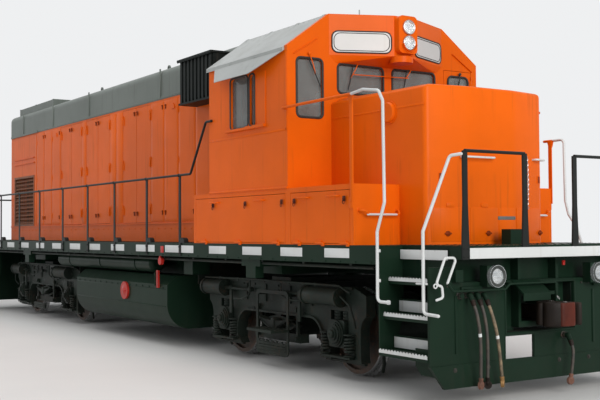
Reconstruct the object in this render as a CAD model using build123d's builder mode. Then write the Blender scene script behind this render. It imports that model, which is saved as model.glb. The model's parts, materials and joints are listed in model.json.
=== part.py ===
from build123d import *
import math
import os

os.makedirs("parts", exist_ok=True)

# Lengths are in millimetres. The nose points along +X, +Y is the left side of the
# machine, and z = 0 is the foot of the wheel flanges, under the middle of the machine.

# Wheels and axles
wheel_radius = 508
flange_depth = 25
flange_width = 34
wheel_width = 140
wheel_gap = 1354
rim_depth = 62
web_thickness = 36
hub_radius = 135
hub_overhang = 12
axle_radius = 92
journal_radius = 76
axle_end = 1000
press_gap = 0.3
truck_spacing = 9068
truck_wheelbase = 2743

axle_height = wheel_radius + flange_depth
flange_radius = wheel_radius + flange_depth
wheel_inner = wheel_gap / 2
wheel_outer = wheel_inner + wheel_width
truck_x = truck_spacing / 2
axle_x = truck_wheelbase / 2
moving_gap = 8
running_gap = 0.6
seat_gap = 0.5

# Trucks, measured from the middle of each truck
side_frame_inner = 935
side_frame_thickness = 130
side_frame_half = 1900
side_frame_top = 1085
frame_end_drop = 90
frame_end_slope = 240
horn_bottom = 760
horn_curve = 210
leg_bottom = 215
journal_window = 360
window_top = 800
arch_half = 1030
arch_top = 675
arch_radius = 260
outer_leg = 1790
foot_flare = 60
foot_height = 75
frame_flange = 28
tie_bar_height = 26
tie_bar_width = 44
transom_half = 300
transom_bottom = 560
bolster_half = 230
bolster_top = 1150
bolster_end = 1020
bowl_radius = 240
journal_box_half = 160
journal_box_outer = 1112
# radius and outer face of each step of the journal cover
journal_rings = ((158, 1134), (136, 1150), (112, 1168), (78, 1184), (46, 1198))
box_spring_radius = 62
box_spring_offset = 88
box_spring_coils = 3
motor_half_width = 500
motor_radius = 330
motor_offset = 590
motor_height = 610
motor_nose_radius = 165
brake_radius = 106
brake_cap_radius = 118
brake_cap_length = 45
brake_height = 962
brake_y = 1128
# ends of the two brake cylinders on each side, along the truck
brake_spans = ((-1875, -1300), (745, 1500))
brake_rod = 150
lever_width = 60
lever_thickness = 24
lever_foot = 620
shoe_thickness = 48
shoe_width = 84
shoe_height = 300
hanger_width = 40
plank_half = 520
plank_bottom = 335
plank_top = 445
leaf_half = 430
leaf_stack = 44
leaf_saddle = 22
leaf_width = 104

# Crew step under the cab, hung from the front truck
step_start = -344
step_end = 445
step_bar = 46
step_ring = 16
step_top = 985
step_bottom = 160
step_corner = 70
step_y = 1184
step_reach = 250
grate_start = -190
grate_end = 415
grate_top = 505
grate_thickness = 34
grate_slots = (3, 7)
low_tread_top = 345

# Deck, sills and ends
deck_top = 1585
deck_plate = 20
sill_height = 200
body_half = 1524
sill_web = 40
well_inner = 1200
well_start = 7270
end_inner = 8060
end_thickness = 30
centre_sill_half = 300
centre_sill_web = 40
centre_sill_bottom = 1200
body_bolster_half = 300
body_bolster_end = 1200
jack_pad_half = 235
jack_pad_y = 1480
jack_pad_top_plate = 85
jack_lug_half = 120
jack_lug_bottom = 1150
sill_bottom = deck_top - sill_height
deck_under = deck_top - deck_plate
end_outer = end_inner + end_thickness
shelf_top = deck_under
valve_x = (2240, 2520)
valve_y = (1010, 1290)
valve_bottom = 1120

# Draft pocket and coupler
coupler_height = 870
pocket_start = 6980
pocket_half = 260
pocket_wall = 36
pocket_bottom = 760
pocket_roof = 1050
coupler_pivot_x = 7200
butt_radius = 110
shank_half = 75
shank_half_height = 85
head_half_height = 122
knuckle_half_height = 130
pull_face = 8370
pin_radius = 55
carrier_length = 160
knuckle_pin_radius = 22
knuckle_pin_back = 52
knuckle_pin_y = -118
knuckle_hub = 56
knuckle_hub_half = 94

# End plates and plough
plate_half = 1530
plate_main_top = 1215
plate_top = 1375
plate_knee = 405
plate_foot = 175
plate_foot_half = 1350
plough_thickness = 12
coupler_hole_half = 500
coupler_hole_bottom = 685
coupler_hole_top = 1183
recess_depth = 110
recess_plate = 20
slot_start = 110
slot_end = 515
slot_bottom = 410
slot_top = 645
shelf_depth = 140
shelf_half = 1240
shelf_bottom = 1450
cover_y = (-420, -30)
cover_reach = 170
cover_drop = 130
cover_lip = 78
cover_plate = 12
wing_x = 7770
wing_y = 1440
wing_bottom = 295
wing_top = 560
wing_corner = 90
wing_plate = 16
stub_place = (1145, 1090)
stub_reach = 50
meter_y = (-1240, -1140)
meter_size = (60, 120)
meter_bottom = 1225
# place across, low and high of the two brackets of the lifting lever
lever_brackets = ((-520, 1178, 1202), (-1100, 1128, 1152))

# Ditch lights on the end plates
ditch_y = 757
ditch_height = 1275
ditch_box_half = 108
ditch_box_depth = 110
ditch_radius = 112
ditch_rim = 42
ditch_lens_radius = 80
ditch_lens_depth = 14

# Hoses that hang from the front end plate
fitting_reach = 70
fitting_radius = 27
fitting_nozzle = 60
hose_aim = (0.5, 0, -math.sqrt(0.75))
hose_radius = 17
hoses = (
    # y of the fitting, its height, how far the free end lies to the left of it
    (-1060, 1095, 95),
    (-965, 1095, 90),
    (-865, 1090, 190),
    (330, 615, 20),
)
grip_radius = 25
grip_length = 55
grip_head_radius = 44
grip_head_width = 36

# Corner steps
tread_thickness = 28
side_plate = 16
side_plate_foot = 475
side_plate_corner = 60
treads = (
    # top, inner edge, outer edge
    (500, 1330, 1524),
    (875, 1260, 1460),
    (1240, 1200, 1390),
)
riser_thickness = 12
riser_height = 150

# Cab
cab_rear = 3500
cab_front = 5500
cab_wall = 60
base_height = 670
base_rear = 3030
cab_side_height = 1678
roof_rise = 492
crown_rise = 45
roof_flat_half = 915
roof_sheet = 50
roof_overhang_rear = 25
roof_overhang_side = 30
side_window_x = (4110, 4750)
side_window_sill = 815
side_window_height = 670
mullion_x = 4590
mullion_half = 16
sash_border = 34
sash_proud = 10
arm_rest_x = (4000, 5000)
shutter_x = (4790, 5000)
arm_rest_reach = 38
window_corner = 60
front_window_sill = 870
front_window_height = 720
front_window_y = (1010, 1385)
centre_window_y = (75, 780)
centre_window_sill = 1200
centre_window_height = 360
door_y = (940, 1430)
door_sill = 20
door_height = 1605
door_window_y = (1010, 1360)
door_window_sill = 870
door_window_height = 675
door_gap = 6
door_thickness = 45
hinge_radius = 11
hinge_length = 110
fixed_hinge_length = 50
hinge_end_gap = 0.3
hinge_shares = (0.1, 0.5, 0.9)
pane = 8
pane_gap = 0.3
shade_reach = 176
shade_drop = 225
shade_sheet = 8
shade_top_x = (3714, 5440)
shade_low_x = (3966, 4860)
antenna_x = 4900
antenna_height = 220
antenna_foot = 24
antenna_foot_radius = 60

cab_floor = deck_top + base_height
eave = cab_floor + cab_side_height
roof_height = eave + roof_rise
roof_crown = roof_height + crown_rise
hinge_lift = hinge_radius + 1

# Cab fittings seen through the glass
seat_x = 4250
seat_y = 1000
seat_width = 480
seat_depth = 460
seat_height = 430
seat_cushion = 90
seat_back_height = 560
seat_back_depth = 80
seat_post_radius = 60
stand_x = (4560, 5020)
stand_y = (-560, -180)
stand_height = 1060
stand_slope = 200

# Equipment boxes under and ahead of the cab
box_wall = 40
cover_frame = 60
cover_foot = 12
cover_thickness = 30
cover_gap = 6
front_box_end = 6830
handle_length = 210
handle_radius = 9
handle_reach = 40
handle_drop = 60
handle_shares = (0.25, 0.75)

# Short nose
nose_half = 885
nose_side_end = 7280
nose_front = 7385
nose_front_half = 350
nose_height = 1810
nose_fall = 60
nose_round = 60
nose_bevel = (190, 70)
cap_x = 6663
cap_height = 1495
cap_radius = 115
cap_reach = 45
jumper_x = (7560, 7700)
jumper_y = (-40, 230)
jumper_height = 165

# Lamp housing over the windscreens
visor_half = 910
visor_depth = 330
visor_nose_half = 150
visor_height = 510
visor_slope = 90
visor_foot = 14
pod_depth = 95
pod_half = 145
pod_height = 470
pod_corner = 60
pod_drop = 240
ledge_radius = 150
ledge_height = 75
lamp_radius = 86
lamp_lens_radius = 72
lamp_drops = (150, 348)
lamp_depth = 24
board_length = 740
board_height = 252
board_corner = 70
board_plate = 8
board_drop = 345
rear_board_y = 520
rear_board_length = 500

# Long hood
hood_rear = -7520
hood_half = 900
hood_wall = 45
hood_height = 2840
hood_band = 510
hood_band_proud = 6
hood_round = 130
hood_leaf_width = 572
leaf_sill = 320
leaf_lintel = 35
leaf_thickness = 30
leaf_gap = 6
leaf_meeting_gap = 12
leaf_knuckle_length = 120
door_pairs = (
    # name, place of the meeting edge
    ("a", -3570),
    ("b", -2150),
    ("c", -370),
)
hood_ledge = 16
hood_ledge_sill = 290
intake_x = (-7250, -5860)
intake_sill = 310
intake_height = 1110
intake_rim = 45
intake_rim_proud = 12
slat_count = 12
slat_thickness = 10
slat_rise = 42
rib_drops = (530, 640)
rib_proud = 22
cornice_x = (-7470, -5600)

hood_top = deck_top + hood_height
hood_side_top = hood_top - hood_band
leaf_bottom = deck_top + leaf_sill
leaf_top = hood_side_top - leaf_lintel

# Filter boxes, radiator house and what stands on the hood roof
filter_x = (1900, 2950)
filter_drop = 80
filter_height = 690
filter_outer = 1170
filter_rib = 25
filter_rib_count = 9
filter_lip = 30
radiator_x = (-7270, -4980)
radiator_half = 780
radiator_rise = 150
radiator_slots = 14
radiator_rim = 60
exhaust_x = (-1900, 250)
exhaust_size = (520, 300)
exhaust_wall = 14
exhaust_rise = 110
eye_x = (-2470, 490)
eye_y = 690
eye_radius = 48
eye_hole = 22
eye_plate = 20
hatch_x = ((-4400, -2700), (-1450, -150), (700, 1700))
hatch_half = 520
hatch_rise = 14

# Engine
engine_x = (-3300, 700)
engine_half = 620
engine_height = 1915

# Fuel tank and air reservoirs
tank_half_length = 1900
tank_half = 1400
tank_bottom = 275
tank_shoulder = 945
tank_top = 1080
tank_top_half = 1240
tank_round = 380
tank_neck_half = 880
tank_neck_length = 1500
filler_x = 335
filler_height = 800
filler_radius = 142
filler_hole = 92
filler_reach = 34
gauge_x = 1600
gauge_bottom = 895
gauge_top = 1160
gauge_width = 60
cutoff_x = 1880
cutoff_y = 1470
cutoff_height = 1310
cutoff_radius = 58
cutoff_reach = 46
reservoir_x = (-3150, 1150)
reservoir_y = 1200
reservoir_radius = 136
reservoir_height = 1245
reservoir_dome = 70
band_width = 60
band_thickness = 8
band_places = (0.15, 0.5, 0.85)

# Handrails
rail_radius = 17
rail_y = 1546
rail_height = 970
stanchion_width = 64
stanchion_thickness = 12
stanchion_foot = 1400
stanchions = (-7150, -6170, -4880, -3600, -2290, -1030, 176, 1452, 2598)
rail_bend = 60
rail_rise_start = 2970
rail_rise_end = 3440
rail_cab_end = 3600
rail_cab_rise = 688
gusset_radius = 75
gusset_thickness = 60
gusset_offset = 72
end_post_y = (370, 1190)
end_rail_height = 940
end_post_width = 58
end_post_foot = 92
end_post_taper = 420
end_post_thickness = 22
end_post_back = 10

# White rails at the corner steps, and the levers that lift the coupler pins
step_rail_radius = 17
step_rail_y = 1553
box_rail_rise = 1640
box_rail_overlap = 80
box_post_x = 6790
box_post_foot = 480
box_post_flat = (52, 16)
step_rail_inset = 22
step_rail_brackets = (1220, 1530)
rail_curl = 1020
rail_curl_reach = 158
corner_rail_x = 8110
corner_rail_top = 2490
corner_rail_run = 110
handle_x = 8200
lever_radius = 13
lever_bend = 24
# places across and heights of the lever, from the coupler out to its handle
lever_route = (
    (110, 1055),
    (110, 1190),
    (-560, 1190),
    (-620, 1140),
    (-1320, 1140),
    (-1397, 1227),
    (-1272, 1468),
    (-1420, 1471),
    (-1537, 1213),
    (-1462, 1195),
    (-1450, 1085),
    (-1530, 1065),
)
grab_radius = 12
grab_reach = 65
grab_y = (915, 1430)
grab_height = 1950
nose_grab = (110, 480)
nose_grab_rise = 570

rail_top = deck_top + rail_height
end_rail_top = deck_top + end_rail_height
box_rail_top = deck_top + box_rail_rise


def block(x, y, z, mode=Mode.ADD):
    """A box between two planes on each axis, given as (low, high)."""
    low = [min(pair) for pair in (x, y, z)]
    high = [max(pair) for pair in (x, y, z)]
    middle = tuple((a + b) / 2 for a, b in zip(low, high))
    with Locations(middle):
        Box(high[0] - low[0], high[1] - low[1], high[2] - low[2], mode=mode)


def bar(x, y, z, radius, mode=Mode.ADD):
    """A round bar along the one axis that is given as (low, high)."""
    spans = [given if isinstance(given, tuple) else (given, given) for given in (x, y, z)]
    turns = ((0, 90, 0), (90, 0, 0), (0, 0, 0))
    lengths = [max(span) - min(span) for span in spans]
    along = lengths.index(max(lengths))
    with Locations(tuple(sum(span) / 2 for span in spans)):
        Cylinder(radius, lengths[along], rotation=turns[along], mode=mode)


def pipe(points, radius, bend):
    """A round bar along straight runs joined by arcs of one radius."""
    with BuildLine() as route:
        if len(points) > 2:
            FilletPolyline(*points, radius=bend)
        else:
            Line(*points)
    with BuildSketch(Plane(origin=route.line @ 0, z_dir=route.line % 0)) as section:
        Circle(radius)
    sweep(sections=section.sketch, path=route.line)


def across(middle, half):
    """A span of twice the half width about its middle."""
    return (middle - half, middle + half)


# Wheelsets: two pressed wheels on one axle
def wheelset(x):
    """Two wheels with their hubs round one axle, at this place along the machine."""
    shaft = Plane(origin=(x, 0, axle_height), x_dir=(1, 0, 0), z_dir=(0, 0, 1))
    turning = Axis((x, 0, axle_height), (0, 1, 0))
    hub_in = wheel_inner - hub_overhang
    hub_out = wheel_outer + hub_overhang
    web_in = (wheel_inner + wheel_outer - web_thickness) / 2
    web_out = web_in + web_thickness
    rim_in = wheel_radius - rim_depth
    with BuildPart() as wheel:
        with BuildSketch(shaft):
            with BuildLine():
                Polyline(
                    (axle_radius + press_gap, hub_in),
                    (hub_radius, hub_in),
                    (hub_radius, web_in - web_thickness / 2),
                    (rim_in, web_in),
                    (rim_in, wheel_inner),
                    (wheel_radius, wheel_inner),
                    (flange_radius, wheel_inner + flange_width / 4),
                    (flange_radius, wheel_inner + flange_width * 3 / 4),
                    (wheel_radius, wheel_inner + flange_width * 5 / 4),
                    (wheel_radius, wheel_outer - hub_overhang),
                    (wheel_radius - hub_overhang, wheel_outer),
                    (rim_in, wheel_outer),
                    (rim_in, web_out),
                    (hub_radius, web_out - web_thickness / 2),
                    (hub_radius, hub_out),
                    (axle_radius + press_gap, hub_out),
                    close=True,
                )
            make_face()
        revolve(axis=turning)
        mirror(about=Plane.XZ)
        with BuildSketch(shaft):
            with BuildLine():
                Polyline(
                    (0, -axle_end),
                    (journal_radius, -axle_end),
                    (journal_radius, -hub_out - hub_overhang),
                    (axle_radius, -hub_out - hub_overhang),
                    (axle_radius, hub_out + hub_overhang),
                    (journal_radius, hub_out + hub_overhang),
                    (journal_radius, axle_end),
                    (0, axle_end),
                    close=True,
                )
            make_face()
        revolve(axis=turning)
    return wheel


for number, centre in enumerate((truck_x, -truck_x)):
    for place, offset in enumerate((axle_x, -axle_x)):
        name = f"wheelset_{2 * number + place + 1}"
        wheels = wheelset(centre + offset)
        wheels.part.label = name
        export_step(wheels.part, f"parts/{name}.step")


def side_view(x, y):
    """A plane that looks at the right side, with its origin at this place and height zero."""
    return Plane(origin=(x, -y, 0), x_dir=(1, 0, 0), z_dir=(0, -1, 0))


def frame_outline():
    """Half of a side frame: the spring arch, both legs of the journal window and the horn."""
    window_in = axle_x - journal_window / 2
    window_out = axle_x + journal_window / 2
    turn = arch_radius * math.sin(math.radians(45))
    with BuildLine() as outline:
        Line((0, arch_top), (arch_half - arch_radius, arch_top))
        ThreePointArc(
            (arch_half - arch_radius, arch_top),
            (arch_half - arch_radius + turn, arch_top - arch_radius + turn),
            (arch_half, arch_top - arch_radius),
        )
        Polyline(
            (arch_half, arch_top - arch_radius),
            (arch_half, leg_bottom + foot_height),
            (arch_half - foot_flare, leg_bottom),
            (window_in, leg_bottom),
            (window_in, window_top),
            (window_out, window_top),
            (window_out, leg_bottom),
            (outer_leg + foot_flare / 4, leg_bottom),
            (outer_leg, leg_bottom + foot_height),
            (outer_leg, horn_bottom - horn_curve),
        )
        ThreePointArc(
            (outer_leg, horn_bottom - horn_curve),
            (outer_leg + horn_curve / 6, horn_bottom - horn_curve / 3),
            (side_frame_half, horn_bottom),
        )
        Polyline(
            (side_frame_half, horn_bottom),
            (side_frame_half, side_frame_top - frame_end_drop),
            (side_frame_half - frame_end_slope, side_frame_top),
            (0, side_frame_top),
            (0, arch_top),
        )
    return make_face(outline.edges())


def arch_lip():
    """Half of the raised lip that follows the spring arch and the inner leg."""
    turn = math.sin(math.radians(45))
    outer_radius = arch_radius + frame_flange
    middle = (arch_half - arch_radius, arch_top - arch_radius)
    foot = leg_bottom + foot_height
    with BuildLine() as outline:
        Line((0, arch_top), (middle[0], arch_top))
        ThreePointArc(
            (middle[0], arch_top),
            (middle[0] + arch_radius * turn, middle[1] + arch_radius * turn),
            (arch_half, middle[1]),
        )
        Polyline(
            (arch_half, middle[1]),
            (arch_half, foot),
            (arch_half + frame_flange, foot),
            (arch_half + frame_flange, middle[1]),
        )
        ThreePointArc(
            (arch_half + frame_flange, middle[1]),
            (middle[0] + outer_radius * turn, middle[1] + outer_radius * turn),
            (middle[0], arch_top + frame_flange),
        )
        Polyline(
            (middle[0], arch_top + frame_flange),
            (0, arch_top + frame_flange),
            (0, arch_top),
        )
    return make_face(outline.edges())


# Truck frames: two side frames, the transoms between them and the bolster
def truck_frame(centre, with_steps):
    """One truck frame with its journal boxes, springs, shoes and brake cylinders."""
    outer = side_frame_inner + side_frame_thickness
    frame_middle = side_frame_inner + side_frame_thickness / 2
    with BuildPart() as frame:
        with BuildSketch(side_view(centre, side_frame_inner)):
            frame_outline()
            mirror(about=Plane.YZ)
        extrude(amount=side_frame_thickness)
        with BuildSketch(side_view(centre, outer)):
            arch_lip()
            mirror(about=Plane.YZ)
        extrude(amount=frame_flange)
        flat_half = side_frame_half - frame_end_slope
        block(
            (centre - flat_half, centre + flat_half),
            (-outer, -outer - frame_flange),
            (side_frame_top - frame_flange, side_frame_top),
        )
        for side in (-1, 1):
            x = centre + side * axle_x
            block(
                (x - journal_window, x + journal_window * 1.2)
                if side > 0
                else (x - journal_window * 1.2, x + journal_window),
                (-frame_middle - tie_bar_width / 2, -frame_middle + tie_bar_width / 2),
                (leg_bottom - tie_bar_height, leg_bottom),
            )
            with BuildSketch(side_view(x, side_frame_inner)):
                with Locations((0, axle_height)):
                    RectangleRounded(
                        2 * journal_box_half, 2 * journal_box_half, journal_box_half / 5
                    )
            extrude(amount=journal_box_outer - side_frame_inner)
            face = journal_box_outer
            for radius, ring_face in journal_rings:
                bar(x, (-face, -ring_face), axle_height, radius)
                face = ring_face
            bar(
                x,
                (-side_frame_inner, -axle_end - running_gap),
                axle_height,
                journal_radius + running_gap,
                mode=Mode.SUBTRACT,
            )
            box_top = axle_height + journal_box_half
            pitch = (window_top - box_top) / box_spring_coils
            for spring in (-1, 1):
                spring_x = x + spring * box_spring_offset
                bar(spring_x, -frame_middle, (box_top, window_top), box_spring_radius * 2 / 3)
                for coil in range(box_spring_coils):
                    middle = box_top + (coil + 0.5) * pitch
                    bar(
                        spring_x,
                        -frame_middle,
                        (middle - pitch / 3, middle + pitch / 3),
                        box_spring_radius,
                    )
            reach = wheel_radius + moving_gap
            with BuildSketch(side_view(x, wheel_outer - shoe_width)):
                with Locations((0, axle_height)):
                    Circle(reach + shoe_thickness)
                    Circle(reach, mode=Mode.SUBTRACT)
                with Locations((-side * reach, axle_height)):
                    Rectangle(2 * reach, shoe_height, mode=Mode.INTERSECT)
            extrude(amount=shoe_width)
            arm = x - side * (reach + shoe_thickness + hanger_width / 2 - moving_gap)
            arm_span = (arm - hanger_width / 2, arm + hanger_width / 2)
            block(
                arm_span,
                (-wheel_outer + shoe_width / 4, -wheel_outer + shoe_width * 3 / 4),
                (axle_height - shoe_height / 4, window_top + hanger_width),
            )
            block(
                arm_span,
                (-wheel_outer + shoe_width * 3 / 4, -side_frame_inner),
                (window_top, window_top + hanger_width),
            )
        for start, end in brake_spans:
            low = centre + start
            high = centre + end
            bar((low, high), -brake_y, brake_height, brake_radius)
            for cap in (low, high - brake_cap_length):
                bar((cap, cap + brake_cap_length), -brake_y, brake_height, brake_cap_radius)
            rod = high if start < 0 else low - brake_rod
            bar((rod, rod + brake_rod), -brake_y, brake_height, brake_cap_length / 2)
            block(
                ((low * 3 + high) / 4, (low + high * 3) / 4),
                (-outer, -brake_y),
                (brake_height - brake_radius / 2, brake_height + brake_radius / 2),
            )
            lever = rod + brake_rod if start < 0 else rod
            block(
                (lever - lever_width / 2, lever + lever_width / 2),
                (-brake_y - lever_thickness / 2, -brake_y + lever_thickness / 2),
                (lever_foot, brake_height + lever_width / 2),
            )
            block(
                (lever - lever_width / 2, lever + lever_width / 2),
                (-outer, -brake_y),
                (brake_height - lever_width / 2, brake_height),
            )
        with BuildSketch(side_view(centre, outer - leaf_width)):
            middle = (arch_top - leaf_saddle + plank_top) / 2
            rise = (arch_top - leaf_saddle - plank_top) / 2
            with BuildLine():
                ThreePointArc((-leaf_half, middle), (0, middle + rise), (leaf_half, middle))
                ThreePointArc((leaf_half, middle), (0, middle - rise), (-leaf_half, middle))
            make_face()
            inner_half = leaf_half - leaf_stack
            inner_rise = rise - leaf_stack
            with BuildLine():
                ThreePointArc((-inner_half, middle), (0, middle + inner_rise), (inner_half, middle))
                ThreePointArc((inner_half, middle), (0, middle - inner_rise), (-inner_half, middle))
            make_face(mode=Mode.SUBTRACT)
            with Locations((0, arch_top - leaf_saddle)):
                Rectangle(leaf_saddle * 5, leaf_saddle * 2)
        extrude(amount=leaf_width)
        block(
            (centre - plank_half, centre + plank_half),
            (-side_frame_inner, -outer),
            (plank_bottom, plank_top),
        )
        for side in (-1, 1):
            hanger = centre + side * (plank_half - hanger_width)
            block(
                (hanger - hanger_width / 2, hanger + hanger_width / 2),
                (-outer, -outer - frame_flange),
                ((plank_bottom + plank_top) / 2, arch_top + 2 * hanger_width),
            )
            for height in ((plank_bottom + plank_top) / 2, arch_top + 2 * hanger_width):
                bar(hanger, (-outer, -outer - 2 * frame_flange), height, hanger_width * 0.8)
        if with_steps:
            crew_step(centre, outer)
        mirror(about=Plane.XZ)
        block(
            (centre - transom_half, centre + transom_half),
            (-side_frame_inner, side_frame_inner),
            (transom_bottom, side_frame_top),
        )
        block(
            (centre - bolster_half, centre + bolster_half),
            (-bolster_end, bolster_end),
            (side_frame_top, bolster_top),
        )
    return frame


def crew_step(centre, outer):
    """The ring, the slotted foot plate and the grated tread hung outside a side frame."""
    middle = centre + (step_start + step_end) / 2
    width = step_end - step_start
    height = step_top - step_bottom
    with BuildSketch(side_view(middle, step_y)) as ring:
        with Locations((0, (step_top + step_bottom) / 2)):
            RectangleRounded(width, height, step_corner)
            RectangleRounded(
                width - 2 * step_bar, height - 2 * step_bar, step_corner - step_bar / 2,
                mode=Mode.SUBTRACT,
            )
        with Locations((0, (low_tread_top + step_bottom + step_bar) / 2)):
            Rectangle(width - step_bar, low_tread_top - step_bottom - step_bar)
            with GridLocations(width / grate_slots[1], step_bar * 1.2, grate_slots[1] - 1, 3):
                Rectangle(width / grate_slots[1] * 0.6, step_bar / 2, mode=Mode.SUBTRACT)
    extrude(ring.sketch, amount=step_ring)
    for edge in (step_start + step_bar, step_end - step_bar):
        block(
            (centre + edge - step_bar / 2, centre + edge + step_bar / 2),
            (-outer, -step_y),
            (step_top - step_bar * 1.5, step_top - step_bar / 2),
        )
    tread_middle = (grate_start + grate_end) / 2
    with BuildSketch(Plane.XY.offset(grate_top - grate_thickness)) as tread:
        with Locations((centre + tread_middle, -step_y - step_reach / 2)):
            Rectangle(grate_end - grate_start, step_reach)
            with GridLocations(
                (grate_end - grate_start) / grate_slots[1],
                step_reach / grate_slots[0],
                grate_slots[1],
                grate_slots[0],
            ):
                Rectangle(
                    (grate_end - grate_start) / grate_slots[1] * 0.7,
                    step_reach / grate_slots[0] * 0.7,
                    mode=Mode.SUBTRACT,
                )
    extrude(tread.sketch, amount=grate_thickness)


truck_frame_front = truck_frame(truck_x, True)
truck_frame_front.part.label = "truck_frame_front"
export_step(truck_frame_front.part, "parts/truck_frame_front.step")
truck_frame_rear = truck_frame(-truck_x, False)
truck_frame_rear.part.label = "truck_frame_rear"
export_step(truck_frame_rear.part, "parts/truck_frame_rear.step")


# Traction motors, hung on each axle and carried by the transom
def traction_motors(centre):
    """The two motors of one truck, bored for their axles."""
    with BuildPart() as motors:
        for side in (-1, 1):
            x = centre + side * axle_x
            body = centre + side * (axle_x - motor_offset)
            nose = centre + side * transom_half
            with BuildSketch(Plane.XZ.offset(-motor_half_width)):
                with BuildLine():
                    CenterArc((body, motor_height), motor_radius, 0, 360)
                    CenterArc((x, axle_height), motor_nose_radius, 0, 360)
                make_hull()
            extrude(amount=2 * motor_half_width)
            bar(
                x,
                (-motor_half_width, motor_half_width),
                axle_height,
                axle_radius + running_gap,
                mode=Mode.SUBTRACT,
            )
            block(
                (nose, body),
                (-motor_half_width / 2, motor_half_width / 2),
                (motor_height, motor_height + motor_radius / 2),
            )
    return motors


traction_motors_front = traction_motors(truck_x)
traction_motors_front.part.label = "traction_motors_front"
export_step(traction_motors_front.part, "parts/traction_motors_front.step")
traction_motors_rear = traction_motors(-truck_x)
traction_motors_rear.part.label = "traction_motors_rear"
export_step(traction_motors_rear.part, "parts/traction_motors_rear.step")

# Underframe: deck plate, side sills, centre sill, body bolsters and draft pockets
with BuildPart() as underframe:
    with BuildSketch(Plane.XY.offset(deck_under)):
        Rectangle(2 * well_start, 2 * body_half)
        Rectangle(2 * end_inner, 2 * well_inner)
        Rectangle(2 * (end_outer + shelf_depth), 2 * shelf_half)
        for end in (-1, 1):
            for side in (-1, 1):
                with Locations(
                    (
                        end * (well_start + end_inner) / 2,
                        side * (well_inner + shelf_half) / 2,
                    )
                ):
                    Rectangle(
                        end_inner - well_start, shelf_half - well_inner, mode=Mode.SUBTRACT
                    )
    extrude(amount=deck_plate)
    under_plate = (sill_bottom, deck_under)
    recess_back = end_inner - recess_depth
    block((-well_start, well_start), (-body_half, -body_half + sill_web), under_plate)
    block(valve_x, (-valve_y[0], -valve_y[1]), (valve_bottom, deck_under))
    for end in (-1, 1):
        block((end * well_start, end * end_inner), (-well_inner, -well_inner + sill_web), under_plate)
        block((end * well_start, end * (well_start - sill_web)), (-body_half, 0), under_plate)
        block(
            (end * recess_back, end * end_inner),
            (-well_inner, -well_inner + sill_web),
            (centre_sill_bottom, deck_under),
        )
        block(
            (end * (recess_back - recess_plate), end * recess_back),
            (-well_inner, 0),
            (centre_sill_bottom, deck_under),
        )
        block(
            (end * (recess_back - recess_plate), end * end_inner),
            (-well_inner, 0),
            (centre_sill_bottom, centre_sill_bottom + recess_plate),
        )
        block(
            (end * (recess_back - recess_plate), end * recess_back),
            (-coupler_hole_half - recess_plate, -pocket_half),
            (pocket_bottom - recess_depth, centre_sill_bottom),
        )
        block(
            (end * recess_back, end * end_inner),
            (-coupler_hole_half - recess_plate, -coupler_hole_half),
            (pocket_bottom - recess_depth, centre_sill_bottom),
        )
        block(
            (end * recess_back, end * end_inner),
            (-coupler_hole_half - recess_plate, -pocket_half - pocket_wall),
            (pocket_bottom - recess_depth, pocket_bottom - recess_depth + recess_plate),
        )
        cross = end * truck_x
        block(
            (cross - body_bolster_half, cross + body_bolster_half),
            (-body_bolster_end, 0),
            (centre_sill_bottom, sill_bottom),
        )
        block(
            (cross - body_bolster_half, cross + body_bolster_half),
            (-body_half, 0),
            under_plate,
        )
        block(
            (cross - jack_pad_half, cross + jack_pad_half),
            (-jack_pad_y, -body_bolster_end),
            (sill_bottom - jack_pad_top_plate, sill_bottom),
        )
        block(
            (cross - jack_lug_half, cross + jack_lug_half),
            (-jack_pad_y, -jack_pad_y + jack_lug_half),
            (jack_lug_bottom, sill_bottom),
        )
        block(
            (end * pocket_start, end * end_inner),
            (-pocket_half - pocket_wall, -pocket_half),
            (pocket_bottom - pocket_wall, centre_sill_bottom),
        )
    web = (-centre_sill_half, -centre_sill_half + centre_sill_web)
    block((-end_inner, end_inner), web, (centre_sill_bottom, deck_under))
    mirror(about=Plane.XZ)
    for end in (-1, 1):
        pocket = (end * pocket_start, end * end_inner)
        pocket_span = across(0, pocket_half + pocket_wall)
        block(pocket, pocket_span, (pocket_bottom - pocket_wall, pocket_bottom))
        block(pocket, pocket_span, (pocket_roof, pocket_roof + pocket_wall))
        block(
            (end * (pocket_start - pocket_wall), end * pocket_start),
            pocket_span,
            (pocket_bottom - pocket_wall, centre_sill_bottom),
        )
        bar(end * truck_x, 0, (bolster_top + seat_gap, centre_sill_bottom), bowl_radius)
        bar(end * coupler_pivot_x, 0, (pocket_bottom, pocket_roof), pin_radius)
        block(
            (end * (end_inner - carrier_length), end * end_inner),
            (-pocket_half, pocket_half),
            (pocket_bottom, coupler_height - shank_half_height - running_gap),
        )
    block(
        (-end_inner, end_inner),
        (-centre_sill_half, centre_sill_half),
        (centre_sill_bottom, centre_sill_bottom + deck_plate),
    )
    block(jumper_x, jumper_y, (deck_top, deck_top + jumper_height))
underframe.part.label = "underframe"
export_step(underframe.part, "parts/underframe.step")


def end_view(end, y):
    """A plane that looks along the machine's side at one end, turned round for the rear."""
    return Plane(origin=(0, end * y, 0), x_dir=(end, 0, 0), z_dir=(0, -end, 0))


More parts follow.
